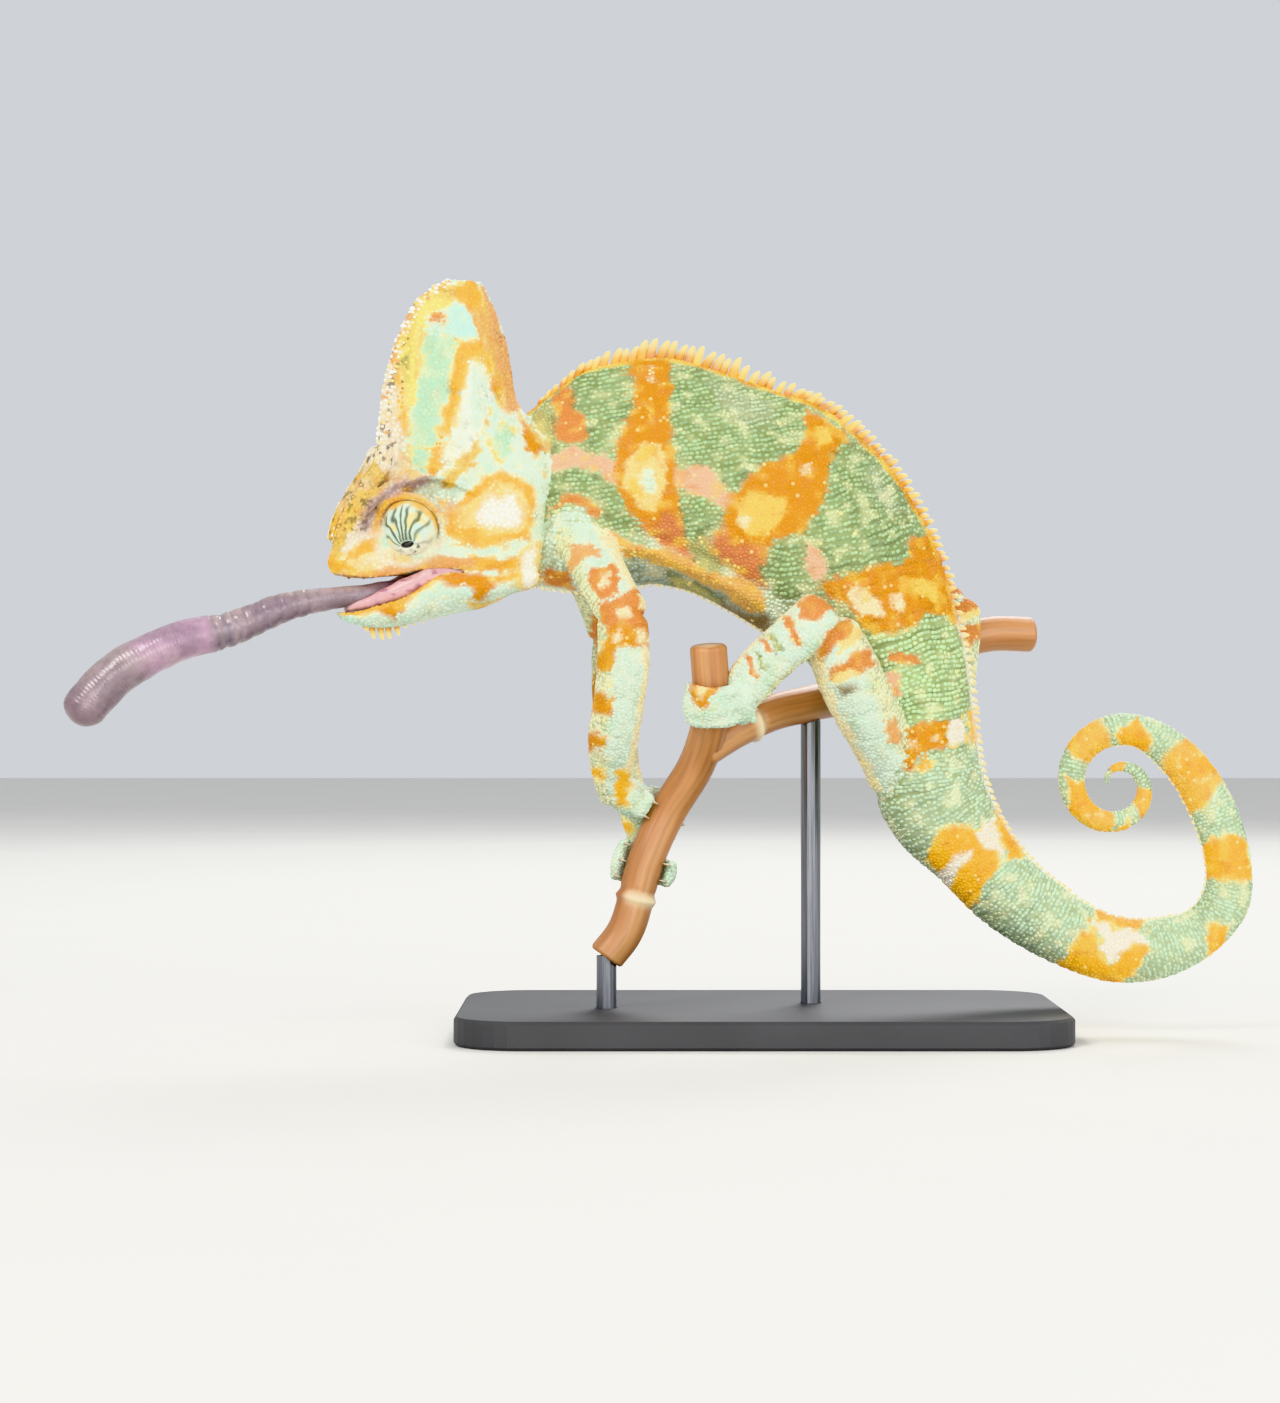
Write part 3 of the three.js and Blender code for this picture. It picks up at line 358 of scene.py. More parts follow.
# The edge of the upper lip: ahead, height.
LIP = [
    (4.4, 115.2), (8.2, 114.7), (12.5, 115.6), (17.6, 113.8), (24.3, 114.5), (30.6, 115.9),
    (36.9, 115), (41.9, 113.8), (48.9, 113), (53.9, 113.5), (56.5, 114.1),
]
# Along the lower jaw: ahead, rim height, underside height, half width.
JAW = [
    (55, 105.3, 104.2, 1.4),
    (52.5, 105, 102.2, 4),
    (46.4, 106.5, 100.9, 7.6),
    (39.6, 109, 101.2, 10.8),
    (31.5, 114.2, 103, 13.2),
    (24.3, 114.2, 104.7, 14.4),
    (18, 113.6, 106, 14.8),
    (12, 114.8, 109, 14.6),
    (7, 114.6, 110.5, 13.4),
]
JAW_TROUGH = 2.6
JAW_SECTION = [
    (0, -1, 0), (0.5, -0.9, 0), (0.8, -0.3, 0), (0.93, 0, 0), (1, 0, 0.2),
    (0.95, 0, 0.5), (0.72, 0, 0.8), (0.38, 0, 0.95), (0, 0, 1),
]
# Ridges half sunk in the skull: ahead, left, height, radius.
BROW = [
    (54.6, 3.4, 120.5, 1.1),
    (51.5, 6.2, 126.4, 1.4),
    (47.5, 8.6, 132.3, 1.6),
    (42.4, 10.3, 136, 1.7),
    (36, 11.6, 138.2, 1.7),
    (29.5, 12.6, 137.4, 1.5),
    (24, 13.3, 134.6, 1.2),
]
CANTHUS = [
    (54.6, 2.4, 122.8, 2.3),
    (52.6, 3.6, 128.2, 2.6),
    (48.8, 4.6, 134.3, 2.8),
    (45.2, 4.8, 140, 2.6),
    (43.8, 3.6, 145, 2.2),
]
CASQUE_RIDGE = [
    (18, 13.2, 133, 0.8),
    (19.5, 12, 142, 0.9),
    (22, 9.6, 152, 0.9),
    (24.6, 7.2, 162, 0.8),
    (26.4, 5, 172, 0.7),
]


def skull_shell(levels=110, around=26):
    level = curve(SKULL, levels)
    row = curve(OUTLINE, around)
    row[:, 1:] = np.maximum(row[:, 1:], 0)
    row[[0, -1], 1:] = 0
    share = np.concatenate([row[:, 0], row[-2:0:-1, 0]])
    jaw = np.concatenate([row[:, 1], -row[-2:0:-1, 1]])
    casque = np.concatenate([row[:, 2], -row[-2:0:-1, 2]])
    left = level[:, 4:5] * (jaw + (casque - jaw) * level[:, 5:6])
    near = np.maximum(0, 1 - (left / TROUGH_HALF) ** 2)
    hollow = np.where(share < 0.3, level[:, 6:7] * near, 0)
    ahead = level[:, 0:1] + (level[:, 2:3] - level[:, 0:1]) * share - hollow
    height = level[:, 1:2] + (level[:, 3:4] - level[:, 1:2]) * share
    lip = np.array(LIP)
    height[0] = np.interp(ahead[0], lip[:, 0], lip[:, 1])
    return loft(head_point(ahead, left, height))


def jaw_shell(stations=70):
    rows = curve(JAW, stations)
    half = curve(JAW_SECTION, 25)
    across = np.concatenate([half[:, 0], -half[-2:0:-1, 0]])
    sunk = np.concatenate([half[:, 1], half[-2:0:-1, 1]])
    down = np.concatenate([half[:, 2], half[-2:0:-1, 2]])
    deep = rows[:, 1:2] - rows[:, 2:3]
    trough = np.minimum(JAW_TROUGH, deep * 0.45)
    height = rows[:, 1:2] + sunk * trough - down * deep
    return loft(head_point(rows[:, 0:1] + 0 * across, rows[:, 3:4] * across, height))


def ridge(rows, side, sides=14):
    rows = np.array(rows, float)
    points = head_point(rows[:, 0], side * rows[:, 1], rows[:, 2])
    return tube(points, rows[:, 3], wide=(0, 0, 1), sides=sides, pitch=0.6)


# ---------------------------------------------------------------- legs and feet

# Each row: x, y, z, radius, thickness over width.
LIMBS = {
    "upper_arm_left": [
        (-44.8, -6.5, 126, 7.6, 0.6), (-42.2, -12, 119.5, 7, 0.78),
        (-38.2, -17.6, 111.5, 6.6, 0.88), (-34, -22, 104.2, 6.4, 0.9),
    ],
    "forearm_left": [
        (-34.2, -23.8, 102.4, 6.4, 0.9), (-34, -23, 93.5, 6.7, 0.88), (-35, -20, 84, 6.5, 0.86),
        (-36.5, -15, 74, 6.5, 0.84), (-37, -9.4, 66, 5.4, 0.84), (-35.8, -5.4, 59.2, 4.6, 0.86),
    ],
    "upper_arm_right": [
        (-45.5, 6.5, 124, 7.6, 0.6), (-43, 12, 117.5, 7, 0.78),
        (-40, 17.6, 109.5, 6.6, 0.88), (-37.4, 22, 101.6, 6.4, 0.9),
    ],
    "forearm_right": [
        (-36.4, 24, 98, 6.2, 0.9), (-36.4, 23.4, 88, 6.3, 0.88), (-36, 20.8, 78, 5.8, 0.85),
        (-35, 17, 67.6, 5, 0.85), (-32.2, 12.2, 58, 4.5, 0.85), (-29.8, 7.2, 51, 4.3, 0.86),
        (-28.6, 3, 46.6, 4, 0.88),
    ],
    "thigh_left": [
        (33, -3, 62.5, 6, 0.7), (30.4, -7.4, 70.5, 7, 0.8), (25.8, -12.4, 80, 8, 0.84),
        (21, -17.2, 90, 8.4, 0.86), (16.8, -21.4, 99.6, 7, 0.86),
    ],
    "shin_left": [
        (14.4, -24, 104.4, 6.6, 0.88), (9.2, -24.6, 99.6, 6.5, 0.86), (4, -23.6, 95.2, 6.2, 0.84),
        (-0.4, -22.6, 91, 6.2, 0.84), (-3.2, -22, 87.6, 6.1, 0.84), (-5, -21.6, 85, 5.4, 0.84),
    ],
    "thigh_right": [
        (36.5, 3, 63, 6, 0.7), (42.5, 10, 73.5, 7.4, 0.8), (47, 16.6, 84.5, 7.8, 0.84),
        (50.2, 22, 97.5, 7, 0.86), (51.4, 25.4, 106.8, 6.4, 0.86),
    ],
    "shin_right": [
        (50.8, 27, 109.6, 6.2, 0.9), (45, 28.8, 104, 6, 0.88),
        (39.8, 28.4, 98.6, 5.2, 0.86), (35.4, 26.4, 95.2, 4.6, 0.86),
    ],
}
CANE_RADIUS = 4.6
CANE_FRONT = [
    (-38.5, -8, 19.5), (-33, -7.5, 27.5), (-28.5, -7, 43.5), (-23, -6, 55.5),
    (-16.4, -9.6, 66.5), (-13.2, -16.4, 76), (-12.6, -21.4, 84), (-13.4, -23.6, 96.5),
]
CANE_REAR = [
    (-15, -14, 70.6), (-6, -7.4, 76), (3, -0.6, 80), (13, 7, 82.4),
    (28.5, 23, 86), (45, 33, 95.5), (60, 38.5, 100.2), (72.4, 42, 100.4),
]
TOE_RADIUS = 2.1
TOE_PITCH = TOE_RADIUS * 1.62
# Cane, place, palm's way, toes on each side, palm's radii, how far round each side's toes reach in degrees,
# and the way of the spur on the heel.
FEET = {
    "forefoot_left": (CANE_FRONT, (-24, -6.1, 54.4), (-0.9, 0.2, 0.3), (3, 2), (5, 5, 7), (118, 52), None),
    "forefoot_right": (CANE_FRONT, (-28.9, -7, 42), (0.1, 0.95, 0.3), (2, 3), (4.6, 4.4, 4), (100, 92), None),
    "hindfoot_left": (
        CANE_FRONT, (-12.6, -21.4, 83.6), (1, -0.12, 0.1), (3, 2), (5.6, 6.8, 3.8), (156, 112),
        (0.5, -0.1, -1),
    ),
    "hindfoot_right": (
        CANE_REAR, (30, 24, 86.6), (0.1, 0.1, 0.98), (3, 2), (6, 5.4, 3.2), (126, 126), (1, 0.3, -0.3),
    ),
}


def foot_frame(cane, near, up):
    """A place on the cane, the cane's way there, and the foot's ways up from it and across."""
    line = curve(cane, 400)
    i = int(np.argmin(np.linalg.norm(line - np.array(near), axis=1)))
    axis = unit(line[min(i + 1, 399)] - line[max(i - 1, 0)])
    rise = unit(np.array(up, float) - np.dot(up, axis) * axis)
    return line[i], axis, rise, np.cross(axis, rise)


def foot_parts(name):
    """The foot's palm and toes as shells, and its claws as root, middle and tip."""
    cane, near, up, toes, palm, reach, spur = FEET[name]
    point, axis, rise, side = foot_frame(cane, near, up)

    def around(angle, off_cane, shift=0):
        radius = CANE_RADIUS + off_cane
        return point + axis * shift + rise * math.cos(angle) * radius + side * math.sin(angle) * radius

    shells, claws = [], []
    for count, hand, far in ((toes[0], -1, reach[0]), (toes[1], 1, reach[1])):
        # The toes of a bundle share one skin for most of their length.
        half = (count - 1) / 2 * TOE_PITCH + TOE_RADIUS * 0.6
        bend = hand * (0.2 + (math.radians(far) * 0.88 - 0.2) * np.linspace(0, 1, 4))
        rows = [around(angle, 0.4 + TOE_RADIUS * 0.9) for angle in bend]
        shells.append(tube(rows, half, TOE_RADIUS * 0.88 / half, wide=axis, sides=24, pitch=0.6))
        for i in range(count):
            shift = (i - (count - 1) / 2) * TOE_PITCH
            end = math.radians(far - 7 * abs(i - 1))
            rows = []
            for k in range(5):
                swell = 1 + 0.08 * math.sin(math.pi * k * 0.9)
                radius = TOE_RADIUS * (1 - 0.075 * k) * swell
                angle = hand * (0.3 + (end - 0.3) * k / 4)
                centre = around(angle, 0.35 + radius, shift * (1 + 0.05 * k))
                rows.append((*centre, radius))
            rows = np.array(rows)
            shells.append(tube(rows[:, :3], rows[:, 3], wide=axis, sides=14, pitch=0.5))
            grasp = 0.45 if far > 60 else 0.25
            root = around(hand * (end + 0.06), 1.5, shift * 1.2)
            middle = around(hand * (end + grasp * 0.55), 1.6, shift * 1.22)
            claws.append((root, middle, around(hand * (end + grasp), 0.55, shift * 1.24)))
    middle = around(0, 0.3 + palm[2] * 0.72)
    shells.append(blob(middle, palm, [side, axis, rise]))
    if spur:
        back = unit(np.array(spur, float))
        heel = middle + back * palm[0] * 0.7
        shells.append(tube([heel, heel + back * 1.8, heel + back * 3], [1.6, 1.2, 0.5], sides=12, pitch=0.4))
    return shells, claws


# ---------------------------------------------------------------- the skin

EYE = {"ahead": 38.2, "aside": 8.3, "height": 126.1, "radius": 7.2, "bulge": 8, "rim": 1.2}
COAT_DEPTH = 0.25  # how far the skin lies inside the scales of body and limbs
HEAD_DEPTH = 0.15  # and inside those of the head
SHEET_MESH = 0.52  # width of the skin's faces before it is thinned
SKIN_TRIANGLES = 190000


def eye_axis(side):
    centre = head_point(EYE["ahead"], side * EYE["aside"], EYE["height"])
    return centre, unit(LEFT * side * 0.72 + FORWARD * 0.46 + np.array([0, 0, -0.46]))


def hoop(centre, axis, radius, thickness, around=56, sides=12):
    """A closed ring of round section about an axis."""
    a = unit(np.cross(axis, [0.31, 0.22, 0.93]))
    b = np.cross(axis, a)
    turn = turns(around)[:, None, None]
    spin = turns(sides)[None, :, None]
    out = a * np.cos(turn) + b * np.sin(turn)
    points = centre + out * (radius + thickness * np.cos(spin)) + axis * thickness * np.sin(spin)
    grid = np.arange(around * sides).reshape(around, sides)
    right, up = np.roll(grid, -1, axis=0), np.roll(grid, -1, axis=1)
    corner = np.roll(right, -1, axis=1)
    faces = np.stack([grid, right, corner, up], axis=-1).reshape(-1, 4).tolist()
    return points.reshape(-1, 3), faces


NUMBER = {name: i for i, name in enumerate(["trunk", "head", "jaw", *LIMBS, *FEET])}
FIRST_LIMB, FIRST_FOOT = NUMBER["upper_arm_left"], NUMBER["forefoot_left"]
CLAWS = []


def members(*words):
    """The numbers of the regions with one of the words in their names."""
    return [NUMBER[name] for name in NUMBER if any(word in name for word in words)]


JAW_FILLER = [(-61.6, 5, 113.7), (-61, -3, 114), (-60.6, -11, 114)]


def flesh():
    """Every closed form of the body, with the region that it belongs to."""
    forms = [("trunk", trunk_shell()), ("head", skull_shell()), ("jaw", jaw_shell())]
    for side in (1, -1):
        forms += [("head", ridge(rows, side)) for rows in (BROW, CANTHUS, CASQUE_RIDGE)]
        centre, gaze = eye_axis(side)
        forms.append(("head", hoop(centre + gaze * 0.6, gaze, EYE["radius"] + 0.9, EYE["rim"])))
    # The far rear corner of the jaw would leave a pocket between head and neck.
    forms.append(("head", tube(JAW_FILLER, [2.4, 3.2, 2.4])))
    for name, rows in LIMBS.items():
        rows = np.array(rows)
        forms.append((name, tube(rows[:, :3], rows[:, 3], rows[:, 4])))
    for name in FEET:
        shells, claws = foot_parts(name)
        forms += [(name, shell) for shell in shells]
        CLAWS.extend(claws)
    return forms


FLESH = flesh()
skin_points, skin_faces = joined([form for _, form in FLESH])
skin = mesh_object("skin", skin_points, skin_faces)
remesh = skin.modifiers.new("sheet", "REMESH")
remesh.mode = "VOXEL"
remesh.voxel_size = SHEET_MESH * MM
remesh.use_smooth_shade = True
evaluated(skin)


def edges_of(me):
    flat = np.empty(len(me.edges) * 2, dtype=np.int64)
    me.edges.foreach_get("vertices", flat)
    return flat.reshape(-1, 2)


def relax(points, edges, rounds, share=0.5):
    """Points drawn towards the middle of their neighbours, and let back so that nothing shrinks."""
    count = len(points)
    degree = np.bincount(edges.ravel(), minlength=count)[:, None]
    for turn in range(2 * rounds):
        total = np.stack([
            np.bincount(edges[:, 0], points[edges[:, 1], k], count)
            + np.bincount(edges[:, 1], points[edges[:, 0], k], count)
            for k in range(3)
        ], axis=1)
        step = share if turn % 2 == 0 else -share * 1.04
        points = points + (total / np.maximum(degree, 1) - points) * step
    return points


set_points(skin.data, relax(points_of(skin.data), edges_of(skin.data), 3))

# ---------------------------------------------------------------- where each place of the skin is


def tree_of(points):
    """The points as a tree that finds the nearest of them."""
    tree = KDTree(len(points))
    for i, p in enumerate(points):
        tree.insert(p, i)
    tree.balance()
    return tree


FLESH_TREE = tree_of(np.vstack([points for _, (points, _) in FLESH]))
FLESH_OWNER = np.concatenate([np.full(len(points), NUMBER[name]) for name, (points, _) in FLESH])


def regions_of(points):
    """The region of the body's nearest form for each point."""
    return FLESH_OWNER[[FLESH_TREE.find(p)[1] for p in points]]


def stations_of(points):
    """The station of the trunk and the height from belly (-1) to back (1) of each point."""
    t = np.arange(0, LAST + 0.1, 0.25)
    back, belly, _, _ = trunk_at(t)
    middle = (back + belly) / 2
    best = np.empty(len(points))
    for i in range(0, len(points), 4000):
        some = points[i:i + 4000]
        gap = np.linalg.norm(some[:, None, ::2] - middle[None, :, ::2], axis=2)
        reach = np.linalg.norm(back - belly, axis=1) / 2
        best[i:i + 4000] = t[np.argmin(gap - 0.8 * reach, axis=1)]
    for _ in range(4):
        back, belly, _, _ = trunk_at(best)
        ahead = np.concatenate(trunk_at(best + 0.05)[:2], axis=1) - np.concatenate([back, belly], axis=1)
        up = back - belly
        normal = unit(np.stack([up[:, 2], np.zeros(len(up)), -up[:, 0]], axis=1))
        way = ((ahead[:, :3] + ahead[:, 3:]) / 2 * normal).sum(1) / 0.05
        off = ((points - (back + belly) / 2) * normal).sum(1)
        way = np.where(np.abs(way) < 0.3, 0.3, way)
        best = np.clip(best + np.clip(off / way, -0.6, 0.6), 0, LAST)
    back, belly, _, _ = trunk_at(best)
    up = back - belly
    height = 2 * ((points - (back + belly) / 2) * up).sum(1) / (up * up).sum(1)
    return best, np.clip(height, -1, 1)


LIMB_STEPS = 159


def limb_line(name):
    rows = np.array(LIMBS[name])[:, :3]
    return curve(rows, LIMB_STEPS + 1)


def along_limb(points, name):
    """How far down its limb each point is, from 0 to 1, and its offset from the middle."""
    line = limb_line(name)
    nearest = np.argmin(np.linalg.norm(points[:, None] - line[None], axis=2), axis=1)
    return nearest / LIMB_STEPS, points - line[nearest]


def head_coordinates(points):
    flat = points - HEAD_PIVOT
    return flat @ FORWARD, flat @ LEFT, points[:, 2]


def side_view(points, mirrored=False):
    """Where points show from the side: the far side of the trunk is as its near side."""
    y = -np.abs(points[:, 1]) if mirrored else points[:, 1]
    scale = EYE_POINT[1] / (EYE_POINT[1] - y)
    return np.stack([
        EYE_POINT[0] + (points[:, 0] - EYE_POINT[0]) * scale,
        EYE_POINT[2] + (points[:, 2] - EYE_POINT[2]) * scale,
    ], axis=1)


class Places:
    """What the markings, folds and unwrap need to know of each point of the skin."""

    def __init__(self, points):
        self.points = points
        self.region = regions_of(points)
        self.station, self.height = stations_of(points)
        self.share = np.zeros(len(points))
        self.turn = np.zeros(len(points))
        self.flat = side_view(points, mirrored=True)
        ahead, left, height = head_coordinates(points)
        self.head = np.stack([ahead, left, height], axis=1)
        face = self.among("head", "jaw")
        self.flat[face] = side_view(head_point(ahead, np.abs(left), height)[face])
        for name in LIMBS:
            here = self.region == NUMBER[name]
            if not here.any():
                continue
            share, offset = along_limb(points[here], name)
            self.share[here] = share
            self.turn[here] = np.arctan2(offset[:, 1], offset[:, 0] + 0.35 * offset[:, 2])
            near = np.array(LIMBS[name.replace("right", "left")])[:, :3]
            if name.endswith("right"):
                centre = spline(near, share * (len(near) - 1))
                self.flat[here] = side_view(centre + offset * np.array([1, -1, 1]))
            else:
                self.flat[here] = side_view(points[here])

    def among(self, *words):
        """Which points are in the regions with one of the words in their names."""
        return np.isin(self.region, members(*words))


# ---------------------------------------------------------------- markings

INK = {
    "base": (168, 184, 138), "belly": (222, 236, 216), "orange": (206, 140, 16),
    "orange_brown": (208, 138, 72), "rust": (198, 126, 80),
    "yellow": (252, 218, 92), "lemon": (252, 238, 128), "pale_orange": (224, 182, 106),
    "orange_yellow": (246, 188, 46), "soft_yellow": (218, 188, 100), "pale_yellow": (252, 232, 150),
    "cream": (252, 242, 196), "ivory": (240, 250, 236), "white": (255, 255, 244),
    "pink_white": (240, 232, 210), "mint": (186, 214, 184), "pale_mint": (212, 230, 212),
    "grey_mint": (172, 208, 178), "blue_mint": (160, 176, 164), "cyan": (198, 240, 228),
    "pale_green": (182, 208, 160), "green": (156, 180, 134), "olive_green": (168, 172, 118),
    "sage": (172, 186, 152), "olive": (134, 114, 74), "dark": (100, 114, 66), "salmon": (230, 190, 156),
    "peach": (222, 170, 108), "mauve": (172, 146, 144), "beige": (222, 202, 160), "mouth": (204, 158, 160),
    "speck": (74, 66, 54), "tail_green": (180, 202, 172), "tail_cream": (240, 234, 218),
}
INK = {name: srgb(*shade) for name, shade in INK.items()}

# The sheets that marks are drawn on: x and z of the top left corner in millimetres, units to a millimetre.
BACK = (-60, 175.75, 12)
RUMP = (5, 118.25, 12)
FACE = (-112.5, 193.25, 16)
ARM = (-47.5, 98.25, 20)
LEG = (-57.5, 118.25, 9.6)
PLAIN = None  # for marks drawn in x and z, in millimetres


def outlines(rows):
    """Marks as their inks and their outlines in x and z, to a tenth of a millimetre."""
    marks = []
    for ink, sheet, points in rows:
        if sheet:
            x, z, units = sheet
            points = [(round(x + right / units, 1), round(z - down / units, 1)) for right, down in points]
        marks.append((ink, points))
    return marks


